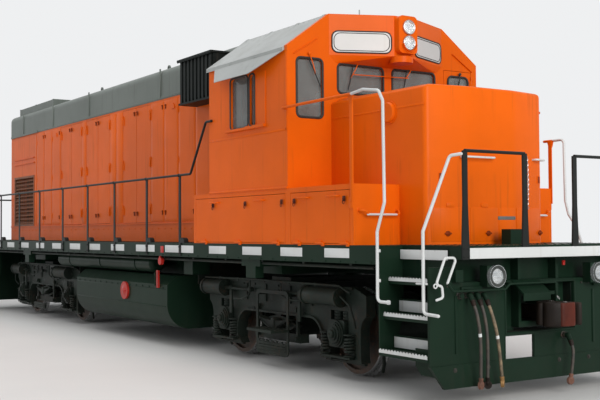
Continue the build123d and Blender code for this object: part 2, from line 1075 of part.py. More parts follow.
# End plates with their plough, the coupler hole, the shelf over it and the lamp boxes
with BuildPart() as end_plates:
    with BuildSketch(Plane.YZ.offset(end_inner)):
        with BuildLine():
            Polyline(
                (-plate_foot_half, plate_foot),
                (-plate_half, plate_knee),
                (-plate_half, plate_top),
                (-well_inner, plate_top),
                (-well_inner, plate_main_top),
                (well_inner, plate_main_top),
                (well_inner, plate_top),
                (plate_half, plate_top),
                (plate_half, plate_knee),
                (plate_foot_half, plate_foot),
                close=True,
            )
        make_face()
        with Locations((0, (coupler_hole_bottom + coupler_hole_top) / 2)):
            Rectangle(
                2 * coupler_hole_half, coupler_hole_top - coupler_hole_bottom, mode=Mode.SUBTRACT
            )
        with Locations((-(slot_start + slot_end) / 2, (slot_bottom + slot_top) / 2)):
            Rectangle(slot_end - slot_start, slot_top - slot_bottom, mode=Mode.SUBTRACT)
    extrude(amount=end_thickness)
    with BuildSketch(Plane.YZ.offset(end_outer)):
        with BuildLine():
            Polyline(
                (-plate_foot_half, plate_foot),
                (-plate_half, plate_knee),
                (plate_half, plate_knee),
                (plate_foot_half, plate_foot),
                close=True,
            )
        make_face()
    extrude(amount=plough_thickness)
    block(
        (end_inner, end_outer + shelf_depth),
        (-shelf_half, shelf_half),
        (shelf_bottom, shelf_top),
    )
    for side in (-1, 1):
        block(
            (end_outer, end_outer + ditch_box_depth),
            across(side * ditch_y, ditch_box_half),
            across(ditch_height, ditch_box_half),
        )
        with BuildSketch(Plane.XZ.offset(side * wing_y - wing_plate / 2)):
            with BuildLine():
                Polyline(
                    (end_inner, wing_bottom),
                    (wing_x + wing_corner, wing_bottom),
                    (wing_x, wing_bottom + wing_corner),
                    (wing_x, wing_top),
                    (end_inner, wing_top),
                    close=True,
                )
            make_face()
        extrude(amount=wing_plate)
    for y, height, swing in hoses:
        elbow = (end_outer + fitting_reach, y, height)
        bar((end_outer, end_outer + fitting_reach), y, height, fitting_radius)
        with Locations(elbow):
            Sphere(fitting_radius)
        with BuildSketch(Plane(origin=elbow, z_dir=hose_aim)):
            Circle(fitting_radius)
        extrude(amount=fitting_nozzle)
    bar((end_outer, end_outer + stub_reach), -stub_place[0], stub_place[1], fitting_radius)
    mirror(about=Plane.YZ)
    for end in (-1, 1):
        with BuildSketch(end_view(end, cover_y[1])):
            with BuildLine():
                top = plate_main_top + cover_plate / 2
                nose = end_outer + cover_reach
                Polyline(
                    (end_outer, top),
                    (nose, top - cover_drop),
                    (nose, top - cover_drop - cover_lip),
                    (nose - cover_plate, top - cover_drop - cover_lip),
                    (nose - cover_plate, top - cover_drop - cover_plate),
                    (end_outer, top - 2 * cover_plate),
                    close=True,
                )
            make_face()
        extrude(amount=cover_y[1] - cover_y[0])
        block(
            (end * end_outer, end * (end_outer + meter_size[0])),
            (end * meter_y[0], end * meter_y[1]),
            (meter_bottom, meter_bottom + meter_size[1]),
        )
        for y, low, high in lever_brackets:
            block(
                (end * end_outer, end * (handle_x - lever_radius)),
                (end * (y - cover_plate / 2), end * (y + cover_plate / 2)),
                (low, high),
            )
end_plates.part.label = "end_plates"
export_step(end_plates.part, "parts/end_plates.step")

# Corner steps: a side plate, three treads with their noses and the risers behind them
with BuildPart() as corner_steps:
    with BuildSketch(Plane.YZ.offset(well_start)):
        with BuildLine():
            FilletPolyline(
                (-body_half, treads[-1][0]),
                (-body_half, side_plate_foot),
                (-treads[0][1], side_plate_foot),
                (-well_inner, treads[1][0]),
                radius=side_plate_corner,
            )
            Polyline(
                (-well_inner, treads[1][0]),
                (-well_inner, deck_top),
                (-body_half, deck_top),
                (-body_half, treads[-1][0]),
            )
        make_face()
    extrude(amount=side_plate)
    step_span = (well_start + side_plate, end_inner)
    for top, inner, outer in treads:
        block(step_span, (-inner, -outer), (top - tread_thickness, top))
        block(
            step_span,
            (-outer, -outer - riser_thickness),
            (top - 2 * tread_thickness, top),
        )
        block(
            step_span,
            (-inner - riser_thickness, -inner),
            (top - tread_thickness, top + riser_height),
        )
    block(
        step_span,
        (-well_inner - riser_thickness, -well_inner),
        (treads[-1][0], deck_top),
    )
    block(
        (wing_x - running_gap, end_inner),
        across(-wing_y, wing_plate / 2 + running_gap),
        (wing_bottom, wing_top),
        mode=Mode.SUBTRACT,
    )
    mirror(about=Plane.XZ)
    mirror(about=Plane.YZ)
corner_steps.part.label = "corner_steps"
export_step(corner_steps.part, "parts/corner_steps.step")


# Couplers: shank and head with its guard arm, and the knuckle shut on its pin
def coupler(end):
    """One coupler, drawn for the nose end and turned round for the other."""
    pin_x = pull_face - knuckle_pin_back
    with BuildPart() as head:
        with BuildSketch(Plane.XY.offset(coupler_height - shank_half_height)):
            with Locations((coupler_pivot_x, 0)):
                Circle(butt_radius)
            with Locations(((coupler_pivot_x + pull_face) / 2 - shank_half, 0)):
                Rectangle(pull_face - coupler_pivot_x - 2 * shank_half, 2 * shank_half)
            with Locations((coupler_pivot_x, 0)):
                Circle(pin_radius + running_gap, mode=Mode.SUBTRACT)
        extrude(amount=2 * shank_half_height)
        with BuildSketch(Plane.XY.offset(coupler_height - head_half_height)):
            with BuildLine():
                Polyline(
                    (pull_face - 230, -shank_half),
                    (pull_face - 170, -190),
                    (pull_face - 40, -200),
                    (pull_face + 20, -175),
                    (pull_face + 24, -80),
                    (pull_face - 40, -30),
                    (pull_face - 70, 20),
                    (pull_face - 60, 75),
                    (pull_face + 10, 128),
                    (pull_face + 110, 160),
                    (pull_face + 114, 200),
                    (pull_face + 60, 216),
                    (pull_face - 150, 190),
                    (pull_face - 230, shank_half),
                    close=True,
                )
            make_face()
        extrude(amount=2 * head_half_height)
        block(
            (pin_x - knuckle_hub - moving_gap, pull_face + 2 * shank_half),
            (-2 * butt_radius, knuckle_pin_y + knuckle_hub * 2),
            across(coupler_height, knuckle_hub_half),
            mode=Mode.SUBTRACT,
        )
        bar(
            pin_x,
            knuckle_pin_y,
            across(coupler_height, head_half_height + knuckle_pin_radius / 2),
            knuckle_pin_radius,
        )
    with BuildPart() as knuckle:
        with BuildSketch(Plane.XY.offset(coupler_height - knuckle_hub_half + running_gap)):
            with Locations((pin_x, knuckle_pin_y)):
                Circle(knuckle_hub)
            with BuildLine():
                Polyline(
                    (pin_x, knuckle_pin_y - knuckle_hub),
                    (pull_face + 60, knuckle_pin_y - knuckle_hub + 6),
                    (pull_face + 96, -112),
                    (pull_face + 104, 0),
                    (pull_face + 96, 96),
                    (pull_face + 62, 112),
                    (pull_face + 16, 100),
                    (pull_face + 6, 30),
                    (pull_face + 4, -50),
                    (pin_x, knuckle_pin_y + knuckle_hub),
                    close=True,
                )
            make_face()
            with Locations((pin_x, knuckle_pin_y)):
                Circle(knuckle_pin_radius + running_gap, mode=Mode.SUBTRACT)
        extrude(amount=2 * (knuckle_hub_half - running_gap))
        with BuildSketch(Plane.XY.offset(coupler_height - knuckle_half_height)):
            with BuildLine():
                Polyline(
                    (pull_face + 34, -150),
                    (pull_face + 66, -148),
                    (pull_face + 96, -112),
                    (pull_face + 104, 0),
                    (pull_face + 96, 96),
                    (pull_face + 62, 112),
                    (pull_face + 34, 104),
                    close=True,
                )
            make_face()
        extrude(amount=2 * knuckle_half_height)
    pair = Compound(children=[head.part, knuckle.part])
    return pair if end > 0 else pair.rotate(Axis.Z, 180)


for end, name in ((1, "coupler_front"), (-1, "coupler_rear")):
    solid = coupler(end)
    solid.label = name
    export_step(solid, f"parts/{name}.step")

# Fuel tank with its neck under the deck
with BuildPart() as fuel_tank:
    with BuildSketch(Plane.YZ.offset(-tank_half_length)):
        with BuildLine():
            Polyline(
                (-tank_half, tank_shoulder),
                (-tank_top_half, tank_top),
                (tank_top_half, tank_top),
                (tank_half, tank_shoulder),
            )
            FilletPolyline(
                (tank_half, tank_shoulder),
                (tank_half, tank_bottom),
                (-tank_half, tank_bottom),
                (-tank_half, tank_shoulder),
                radius=tank_round,
            )
        make_face()
    extrude(amount=2 * tank_half_length)
    for side in (-1, 1):
        block(
            (-tank_neck_length, tank_neck_length),
            (side * tank_neck_half, side * centre_sill_half),
            (tank_top, deck_under),
        )
fuel_tank.part.label = "fuel_tank"
export_step(fuel_tank.part, "parts/fuel_tank.step")

# Tank fittings: the filler ring, the gauge and the cut-off knob on each side
with BuildPart() as tank_fittings:
    bar(filler_x, (-tank_half, -tank_half - filler_reach), filler_height, filler_radius)
    bar(
        filler_x,
        (-tank_half - filler_reach / 3, -tank_half - filler_reach),
        filler_height,
        filler_hole,
        mode=Mode.SUBTRACT,
    )
    block(
        across(gauge_x, gauge_width / 2),
        (-tank_half, -tank_half - gauge_width / 2),
        (gauge_bottom, gauge_top),
    )
    bar(cutoff_x, (-cutoff_y, -cutoff_y - cutoff_reach), cutoff_height, cutoff_radius)
    block(
        across(cutoff_x, cutoff_reach / 3),
        (-cutoff_y - cutoff_reach, -cutoff_y - cutoff_reach / 2),
        (cutoff_height, sill_bottom),
    )
    mirror(about=Plane.XZ)
tank_fittings.part.label = "tank_fittings"
export_step(tank_fittings.part, "parts/tank_fittings.step")

# Air reservoirs, banded to the deck above the tank
with BuildPart() as air_reservoirs:
    bar(reservoir_x, -reservoir_y, reservoir_height, reservoir_radius)
    fillet(air_reservoirs.edges().filter_by(GeomType.CIRCLE), reservoir_dome)
    length = reservoir_x[1] - reservoir_x[0]
    for share in band_places:
        here = across(reservoir_x[0] + share * length, band_width / 2)
        bar(here, -reservoir_y, reservoir_height, reservoir_radius + band_thickness)
        block(here, across(-reservoir_y, band_width), (reservoir_height, deck_under))
    mirror(about=Plane.XZ)
air_reservoirs.part.label = "air_reservoirs"
export_step(air_reservoirs.part, "parts/air_reservoirs.step")

# Equipment boxes: the raised base under the cab and the two boxes ahead of it
cover_span = (base_rear + cover_frame, cab_front - cover_frame)
front_cover_span = (cab_front + cover_frame, front_box_end - cover_frame)
cover_span_z = (deck_top + cover_foot, cab_floor - cover_frame)
with BuildPart() as equipment_boxes:
    block((base_rear, cab_front), (-body_half, body_half), (deck_top, cab_floor))
    for side in (-1, 1):
        block(
            (cab_front, front_box_end),
            (side * nose_half, side * body_half),
            (deck_top, cab_floor),
        )
    block(
        (base_rear + box_wall, cab_front - box_wall),
        (-body_half + box_wall, body_half - box_wall),
        (deck_top + box_wall, cab_floor - box_wall),
        mode=Mode.SUBTRACT,
    )
    block(
        (base_rear - box_wall, cab_rear),
        (-hood_half, hood_half),
        (deck_top, cab_floor),
        mode=Mode.SUBTRACT,
    )
    for side in (-1, 1):
        block(
            (cab_front + box_wall, front_box_end - box_wall),
            (side * (nose_half + box_wall), side * (body_half - box_wall)),
            (deck_top + box_wall, cab_floor - box_wall),
            mode=Mode.SUBTRACT,
        )
        for span in (cover_span, front_cover_span):
            block(
                span,
                (side * (body_half - box_wall), side * body_half),
                cover_span_z,
                mode=Mode.SUBTRACT,
            )
equipment_boxes.part.label = "equipment_boxes"
export_step(equipment_boxes.part, "parts/equipment_boxes.step")


def box_cover(span, side):
    """A cover hinged along its foot, outside the box wall, with its grab handles."""
    pin_y = side * (body_half + hinge_lift)
    low = cover_span_z[0] + cover_gap
    high = cover_span_z[1] - cover_gap
    length = span[1] - span[0]
    with BuildPart() as cover:
        block(
            (span[0] + cover_gap, span[1] - cover_gap),
            (side * (body_half - cover_thickness), side * body_half),
            (low, high),
        )
        for share in hinge_shares:
            here = across(span[0] + share * length, hinge_length / 2)
            bar(here, pin_y, low, hinge_radius)
            block(here, (side * body_half, pin_y), (low, low + 3 * hinge_radius))
        for share in handle_shares:
            x = span[0] + share * length
            face = side * (body_half - handle_radius)
            reach = side * (body_half + handle_reach)
            pipe(
                (
                    (x - handle_length / 2, face, high - handle_drop),
                    (x - handle_length / 2, reach, high - handle_drop),
                    (x + handle_length / 2, reach, high - handle_drop),
                    (x + handle_length / 2, face, high - handle_drop),
                ),
                handle_radius,
                handle_radius * 2,
            )
    return cover


covers = (
    # name, span along the machine, side
    ("base_cover_right", cover_span, -1),
    ("base_cover_left", cover_span, 1),
    ("front_cover_right", front_cover_span, -1),
    ("front_cover_left", front_cover_span, 1),
)
for name, span, side in covers:
    cover = box_cover(span, side)
    cover.part.label = name
    export_step(cover.part, f"parts/{name}.step")


inner_half = body_half - cab_wall
eave_slope = (roof_height - roof_sheet - eave) / (body_half - roof_flat_half)
inner_eave = eave + eave_slope * cab_wall
window_low = cab_floor + side_window_sill
window_middle = window_low + side_window_height / 2
side_panes = (
    # ends of each light of the side window
    (side_window_x[0], mullion_x - mullion_half),
    (mullion_x + mullion_half, side_window_x[1]),
)


def rounded(span, low, height, corner, inset=0, mode=Mode.ADD):
    """A rounded rectangle in the current sketch, smaller all round by the inset."""
    with Locations(((span[0] + span[1]) / 2, low + height / 2)):
        RectangleRounded(
            abs(span[1] - span[0]) - 2 * inset, height - 2 * inset, corner - inset, mode=mode
        )


# Cab sides, each one plate with its window, the arm rest and the shut panel beside it
with BuildPart() as cab_sides:
    with BuildSketch(Plane.YZ.offset(cab_rear)):
        with BuildLine():
            Polyline(
                (-body_half, cab_floor),
                (-body_half, eave),
                (-inner_half, inner_eave),
                (-inner_half, cab_floor),
                close=True,
            )
        make_face()
    extrude(amount=cab_front - cab_wall - cab_rear)
    block(shutter_x, (-body_half - sash_proud, -body_half), across(window_middle, side_window_height / 2))
    with BuildSketch(side_view(0, body_half)):
        rounded(
            side_window_x, window_low, side_window_height, window_corner + sash_border, -sash_border
        )
    extrude(amount=sash_proud)
    block(
        arm_rest_x,
        (-body_half, -body_half - arm_rest_reach),
        (window_low - 3 * sash_proud, window_low + sash_proud),
    )
    block(
        (cab_rear, cab_front - cab_wall),
        (-body_half, -body_half - sash_proud),
        (cab_floor, cab_floor + 2 * sash_proud),
    )
    with BuildSketch(side_view(0, inner_half)):
        for span in side_panes:
            rounded(span, window_low, side_window_height, window_corner)
    extrude(amount=cab_wall + arm_rest_reach, mode=Mode.SUBTRACT)
    mirror(about=Plane.XZ)
cab_sides.part.label = "cab_sides"
export_step(cab_sides.part, "parts/cab_sides.step")

front_panes = (
    # ends, low edge and height of each light of the front wall
    ((-front_window_y[1], -front_window_y[0]), front_window_sill, front_window_height),
    ((-centre_window_y[1], -centre_window_y[0]), centre_window_sill, centre_window_height),
    (centre_window_y, centre_window_sill, centre_window_height),
)


def door_hole(side):
    """The opening of a cab door in the current sketch."""
    with Locations((side * sum(door_y) / 2, cab_floor + door_sill + door_height / 2)):
        Rectangle(door_y[1] - door_y[0], door_height, mode=Mode.SUBTRACT)


# Cab front wall, with the windscreens and the opening of the left door
with BuildPart() as cab_front_wall:
    with BuildSketch(Plane.YZ.offset(cab_front - cab_wall)):
        with BuildLine():
            Polyline(
                (-body_half, cab_floor),
                (-body_half, eave + roof_sheet),
                (-roof_flat_half, roof_height),
                (0, roof_crown),
                (roof_flat_half, roof_height),
                (body_half, eave + roof_sheet),
                (body_half, cab_floor),
                close=True,
            )
        make_face()
        for span, sill, height in front_panes:
            rounded(span, cab_floor + sill, height, window_corner, mode=Mode.SUBTRACT)
        door_hole(1)
    extrude(amount=cab_wall)
cab_front_wall.part.label = "cab_front_wall"
export_step(cab_front_wall.part, "parts/cab_front_wall.step")

# Cab rear wall, with the opening of the right door
with BuildPart() as cab_rear_wall:
    with BuildSketch(Plane.YZ.offset(cab_rear)):
        with BuildLine():
            Polyline(
                (-inner_half, cab_floor),
                (-inner_half, inner_eave),
                (-roof_flat_half, roof_height - roof_sheet),
                (0, roof_crown - roof_sheet),
                (roof_flat_half, roof_height - roof_sheet),
                (inner_half, inner_eave),
                (inner_half, cab_floor),
                close=True,
            )
        make_face()
        rounded(
            door_window_y,
            cab_floor + door_window_sill,
            door_window_height,
            window_corner,
            mode=Mode.SUBTRACT,
        )
        door_hole(-1)
    extrude(amount=cab_wall)
cab_rear_wall.part.label = "cab_rear_wall"
export_step(cab_rear_wall.part, "parts/cab_rear_wall.step")


def cab_door(end, side):
    """A cab door with its window, hinged along its outer edge."""
    wall_face = cab_front if end > 0 else cab_rear
    pin_x = wall_face + end * hinge_lift
    y = (side * (door_y[0] + door_gap), side * (door_y[1] - door_gap))
    low = cab_floor + door_sill + door_gap
    height = door_height - 2 * door_gap
    with BuildPart() as door:
        block((wall_face - end * door_thickness, wall_face), y, (low, low + height))
        with BuildSketch(Plane.YZ.offset(min(wall_face, wall_face - end * door_thickness))):
            rounded(
                (side * door_window_y[0], side * door_window_y[1]),
                cab_floor + door_window_sill,
                door_window_height,
                window_corner,
            )
        extrude(amount=door_thickness, mode=Mode.SUBTRACT)
        for share in hinge_shares:
            length = across(low + share * height, hinge_length / 2)
            bar(pin_x, y[1], length, hinge_radius)
            block((wall_face, pin_x), (y[1], y[1] - side * 3 * hinge_radius), length)
    return door


cab_doors = (("cab_door_front", 1, 1), ("cab_door_rear", -1, -1))
for name, end, side in cab_doors:
    door = cab_door(end, side)
    door.part.label = name
    export_step(door.part, f"parts/{name}.step")

# Cab roof: a bent sheet over the walls, with the sun shades and the aerial
roof_edge = body_half + roof_overhang_side
edge_height = eave - eave_slope * roof_overhang_side
with BuildPart() as cab_roof:
    with BuildSketch(Plane.YZ.offset(cab_rear - roof_overhang_rear)):
        with BuildLine():
            Polyline(
                (-roof_edge, edge_height),
                (-roof_flat_half, roof_height - roof_sheet),
                (0, roof_crown - roof_sheet),
                (roof_flat_half, roof_height - roof_sheet),
                (roof_edge, edge_height),
                (roof_edge, edge_height + roof_sheet),
                (roof_flat_half, roof_height),
                (0, roof_crown),
                (-roof_flat_half, roof_height),
                (-roof_edge, edge_height + roof_sheet),
                close=True,
            )
        make_face()
    extrude(amount=cab_front - cab_wall - cab_rear + roof_overhang_rear)
    shade_fall = (shade_reach - roof_overhang_side, shade_drop - roof_overhang_side / 2)
    shade_width = math.hypot(*shade_fall)
    hung_from = eave - roof_overhang_side / 2
    with BuildSketch(
        Plane(
            origin=(0, -roof_edge, hung_from),
            x_dir=(1, 0, 0),
            z_dir=(0, shade_fall[1], -shade_fall[0]),
        )
    ):
        with BuildLine():
            Polyline(
                (shade_top_x[0], 0),
                (shade_top_x[1], 0),
                (shade_low_x[1], shade_width),
                (shade_low_x[0], shade_width),
                close=True,
            )
        make_face()
    extrude(amount=shade_sheet)
    mirror(about=Plane.XZ)
    bar(antenna_x, 0, (roof_height, roof_crown + antenna_height), handle_radius)
    bar(antenna_x, 0, (roof_height, roof_crown + antenna_foot), antenna_foot_radius)
cab_roof.part.label = "cab_roof"
export_step(cab_roof.part, "parts/cab_roof.step")

# Window glass, a little smaller than each opening
with BuildPart() as window_glass:
    with BuildSketch(side_view(0, inner_half + cab_wall / 2 - pane)):
        for span in side_panes:
            rounded(span, window_low, side_window_height, window_corner, pane_gap)
    extrude(amount=pane)
    mirror(about=Plane.XZ)
    with BuildSketch(Plane.YZ.offset(cab_front - cab_wall / 2 - pane)):
        for span, sill, height in front_panes:
            rounded(span, cab_floor + sill, height, window_corner, pane_gap)
    extrude(amount=pane)
    with BuildSketch(Plane.YZ.offset(cab_rear + cab_wall / 2)):
        rounded(
            door_window_y,
            cab_floor + door_window_sill,
            door_window_height,
            window_corner,
            pane_gap,
        )
    extrude(amount=pane)
window_glass.part.label = "window_glass"
export_step(window_glass.part, "parts/window_glass.step")

# Cab fittings: two seats on posts and the control stand
with BuildPart() as cab_fittings:
    seat_top = cab_floor + seat_height
    for side in (-1, 1):
        bar(seat_x, side * seat_y, (cab_floor, seat_top), seat_post_radius)
        block(
            across(seat_x, seat_depth / 2),
            across(side * seat_y, seat_width / 2),
            (seat_top, seat_top + seat_cushion),
        )
        block(
            (seat_x - seat_depth / 2 - seat_back_depth, seat_x - seat_depth / 2),
            across(side * seat_y, seat_width / 2),
            (seat_top, seat_top + seat_back_height),
        )
    with BuildSketch(Plane.XZ.offset(-stand_y[1])):
        with BuildLine():
            Polyline(
                (stand_x[0], cab_floor),
                (stand_x[0], cab_floor + stand_height - stand_slope),
                (stand_x[1] - stand_slope, cab_floor + stand_height),
                (stand_x[1], cab_floor + stand_height),
                (stand_x[1], cab_floor),
                close=True,
            )
        make_face()
    extrude(amount=stand_y[1] - stand_y[0])
cab_fittings.part.label = "cab_fittings"
export_step(cab_fittings.part, "parts/cab_fittings.step")

# Short nose: a bevelled top that falls to the front, rounded corners and a cap on each side
with BuildPart() as short_nose:
    nose_top = deck_top + nose_height
    with BuildSketch(Plane.XY.offset(deck_top)):
        with BuildLine():
            Polyline(
                (cab_front, -nose_half),
                (nose_side_end, -nose_half),
                (nose_front, -nose_front_half),
                (nose_front, nose_front_half),
                (nose_side_end, nose_half),
                (cab_front, nose_half),
                close=True,
            )
        make_face()
    extrude(amount=nose_height)
    fillet(short_nose.edges().filter_by(Axis.Z).group_by(Axis.X)[-2], nose_round)
    with BuildSketch(Plane.XZ.offset(-nose_half - nose_round)):
        with BuildLine():
            Polyline(
                (cab_front, deck_top),
                (cab_front, nose_top),
                (nose_front + nose_fall, nose_top - nose_fall),
                (nose_front + nose_fall, deck_top),
                close=True,
            )
        make_face()
    extrude(amount=2 * (nose_half + nose_round), mode=Mode.INTERSECT)
    with BuildSketch(Plane.YZ.offset(cab_front)):
        with BuildLine():
            Polyline(
                (-nose_half, deck_top),
                (-nose_half, nose_top - nose_bevel[1]),
                (-nose_half + nose_bevel[0], nose_top),
                (nose_half - nose_bevel[0], nose_top),
                (nose_half, nose_top - nose_bevel[1]),
                (nose_half, deck_top),
                close=True,
            )
        make_face()
    extrude(amount=nose_front - cab_front, mode=Mode.INTERSECT)
    for side in (-1, 1):
        bar(
            cap_x,
            (side * (nose_half - nose_round), side * (nose_half + cap_reach)),
            deck_top + cap_height,
            cap_radius,
        )
        bar(
            cap_x,
            (side * nose_half, side * (nose_half + cap_reach / 4)),
            deck_top + cap_height,
            cap_radius * 1.15,
        )
short_nose.part.label = "short_nose"
export_step(short_nose.part, "parts/short_nose.step")

# Lamp housing over the windscreens with its round-cornered pod, and the pod on the rear end
visor_top = roof_height
visor_low = visor_top - visor_height
visor_face = cab_front + visor_depth
with BuildPart() as lamp_housings:
    visor_outline = (
        (cab_front, -visor_half),
        (visor_face, -visor_nose_half),
        (visor_face, visor_nose_half),
        (cab_front, visor_half),
    )
    with BuildSketch(Plane.XY.offset(visor_low)):
        with BuildLine():
            Polyline(*visor_outline, close=True)
        make_face()
    extrude(amount=visor_height)
    with BuildSketch(Plane.XY.offset(visor_low)):
        with BuildLine():
            Polyline(*visor_outline, close=True)
        make_face()
    with BuildSketch(Plane.XY.offset(visor_low - visor_slope)):
        with BuildLine():
            Polyline(
                (cab_front, -visor_half + visor_slope),
                (cab_front + visor_foot, -visor_half + 2 * visor_slope),
                (cab_front + visor_foot, visor_half - 2 * visor_slope),
                (cab_front, visor_half - visor_slope),
                close=True,
            )
        make_face()
    loft(ruled=True)
    for face, aim in ((visor_face, 1), (hood_rear, -1)):
        with BuildSketch(Plane.YZ.offset(face)):
            with Locations((0, roof_height - pod_drop)):
                RectangleRounded(2 * pod_half, pod_height, pod_corner)
        extrude(amount=aim * pod_depth)
    bar(
        visor_face - ledge_radius / 3,
        0,
        (visor_low - ledge_height, visor_low),
        ledge_radius,
    )
lamp_housings.part.label = "lamp_housings"
export_step(lamp_housings.part, "parts/lamp_housings.step")

# Number boards: blank white panels on the swept faces and on the rear end
with BuildPart() as number_boards:
    for side in (-1, 1):
        middle = (cab_front + visor_depth / 2, side * (visor_half + visor_nose_half) / 2, 0)
        along = Vector(visor_depth, -side * (visor_half - visor_nose_half), 0)
        outward = Vector(visor_half - visor_nose_half, side * visor_depth, 0)
        with BuildSketch(Plane(origin=middle, x_dir=along, z_dir=outward)):
            with Locations((0, -side * (roof_height - board_drop))):
                RectangleRounded(board_length, board_height, board_corner)
        extrude(amount=board_plate)
        with BuildSketch(Plane.YZ.offset(hood_rear)):
            with Locations((side * rear_board_y, roof_height - pod_drop)):
                RectangleRounded(rear_board_length, board_height, board_corner)
        extrude(amount=-board_plate)
number_boards.part.label = "number_boards"
export_step(number_boards.part, "parts/number_boards.step")

# Lamps: two over two at each end and the pair on each end plate, each dished for its lens
with BuildPart() as lamps:
    for face, aim in ((visor_face + pod_depth, 1), (hood_rear - pod_depth, -1)):
        for drop in lamp_drops:
            height = roof_height - drop
            front = face + aim * lamp_depth
            bar((face, front), 0, height, lamp_radius)
            bar(
                (front - aim * ditch_lens_depth, front),
                0,
                height,
                lamp_lens_radius,
                mode=Mode.SUBTRACT,
            )
    seat = end_outer + ditch_box_depth
    for end in (-1, 1):
        for side in (-1, 1):
            front = end * (seat + ditch_rim)
            bar((end * seat, front), side * ditch_y, ditch_height, ditch_radius)
            bar(
                (front - end * ditch_lens_depth, front),
                side * ditch_y,
                ditch_height,
                ditch_lens_radius,
                mode=Mode.SUBTRACT,
            )
lamps.part.label = "lamps"
export_step(lamps.part, "parts/lamps.step")

# Long hood walls, with an opening for each pair of doors and for each air intake
intake_low = deck_top + intake_sill
intake_high = intake_low + intake_height
ledge_low = deck_top + hood_ledge_sill
with BuildPart() as long_hood:
    skin = (-hood_half, -hood_half + hood_wall)
    block((hood_rear, cab_rear), skin, (deck_top, hood_side_top))
    block((hood_rear, base_rear), (-hood_half - hood_ledge, -hood_half), (ledge_low, ledge_low + hood_ledge))
    for name, meeting in door_pairs:
        half = hood_leaf_width + leaf_gap + leaf_meeting_gap / 2
        block(
            across(meeting, half),
            skin,
            (leaf_bottom - leaf_gap, leaf_top + leaf_gap),
            mode=Mode.SUBTRACT,
        )
    block(intake_x, skin, (intake_low, intake_high), mode=Mode.SUBTRACT)
    for drop in rib_drops:
        block(
            intake_x,
            (-hood_half - rib_proud, -hood_half),
            (hood_side_top - drop, hood_side_top - drop + rib_proud),
        )
    mirror(about=Plane.XZ)
    block((hood_rear, hood_rear + hood_wall), (-hood_half, hood_half), (deck_top, hood_side_top))
long_hood.part.label = "long_hood"
export_step(long_hood.part, "parts/long_hood.step")


def hood_door(meeting, side, hand):
    """One leaf of a pair, hinged on the edge away from where the pair meets."""
    pin_x = meeting + hand * (hood_leaf_width + leaf_meeting_gap / 2)
    pin_y = side * (hood_half + hinge_lift)
    with BuildPart() as leaf:
        block(
            (meeting + hand * leaf_meeting_gap / 2, pin_x),
            (side * (hood_half - leaf_thickness), side * hood_half),
            (leaf_bottom, leaf_top),
        )
        for share in hinge_shares:
            middle = leaf_bottom + share * (leaf_top - leaf_bottom)
            length = across(middle, leaf_knuckle_length / 2)
            bar(pin_x, pin_y, length, hinge_radius)
            block((pin_x, pin_x - hand * 4 * hinge_radius), (side * hood_half, pin_y), length)
    return leaf


hood_sides = (("right", -1), ("left", 1))
hood_hands = (("fore", 1), ("aft", -1))
for name, meeting in door_pairs:
    for side_name, side in hood_sides:
        for hand_name, hand in hood_hands:
            label = f"hood_door_{side_name}_{name}_{hand_name}"
            leaf = hood_door(meeting, side, hand)
            leaf.part.label = label
            export_step(leaf.part, f"parts/{label}.step")

# Hinge knuckles fixed to the walls, one beside each barrel of a door or a cover
with BuildPart() as hinge_knuckles:
    for name, span, side in covers:
        pin_y = side * (body_half + hinge_lift)
        low = cover_span_z[0] + cover_gap
        for share in hinge_shares:
            start = span[0] + share * (span[1] - span[0]) + hinge_length / 2 + hinge_end_gap
            here = (start, start + fixed_hinge_length)
            bar(here, pin_y, low, hinge_radius)
            block(here, (side * (body_half + hinge_end_gap), pin_y), (low - 3 * hinge_radius, low))
    for name, meeting in door_pairs:
        for side_name, side in hood_sides:
            for hand_name, hand in hood_hands:
                pin_x = meeting + hand * (hood_leaf_width + leaf_meeting_gap / 2)
                pin_y = side * (hood_half + hinge_lift)
                for share in hinge_shares:
                    middle = leaf_bottom + share * (leaf_top - leaf_bottom)
                    start = middle + leaf_knuckle_length / 2 + hinge_end_gap
                    length = (start, start + fixed_hinge_length)
                    bar(pin_x, pin_y, length, hinge_radius)
                    block(
                        (pin_x, pin_x + hand * 4 * hinge_radius),
                        (side * (hood_half + hinge_end_gap), pin_y),
                        length,
                    )
    for name, end, side in cab_doors:
        pin_x = (cab_front if end > 0 else cab_rear) + end * hinge_lift
        pin_y = side * (door_y[1] - door_gap)
        low = cab_floor + door_sill + door_gap
        height = door_height - 2 * door_gap
        wall_face = (cab_front if end > 0 else cab_rear) + end * hinge_end_gap
        for share in hinge_shares:
            start = low + share * height + hinge_length / 2 + hinge_end_gap
            length = (start, start + fixed_hinge_length)
            bar(pin_x, pin_y, length, hinge_radius)
            block((wall_face, pin_x), (pin_y, pin_y + side * 4 * hinge_radius), length)
hinge_knuckles.part.label = "hinge_knuckles"
export_step(hinge_knuckles.part, "parts/hinge_knuckles.step")

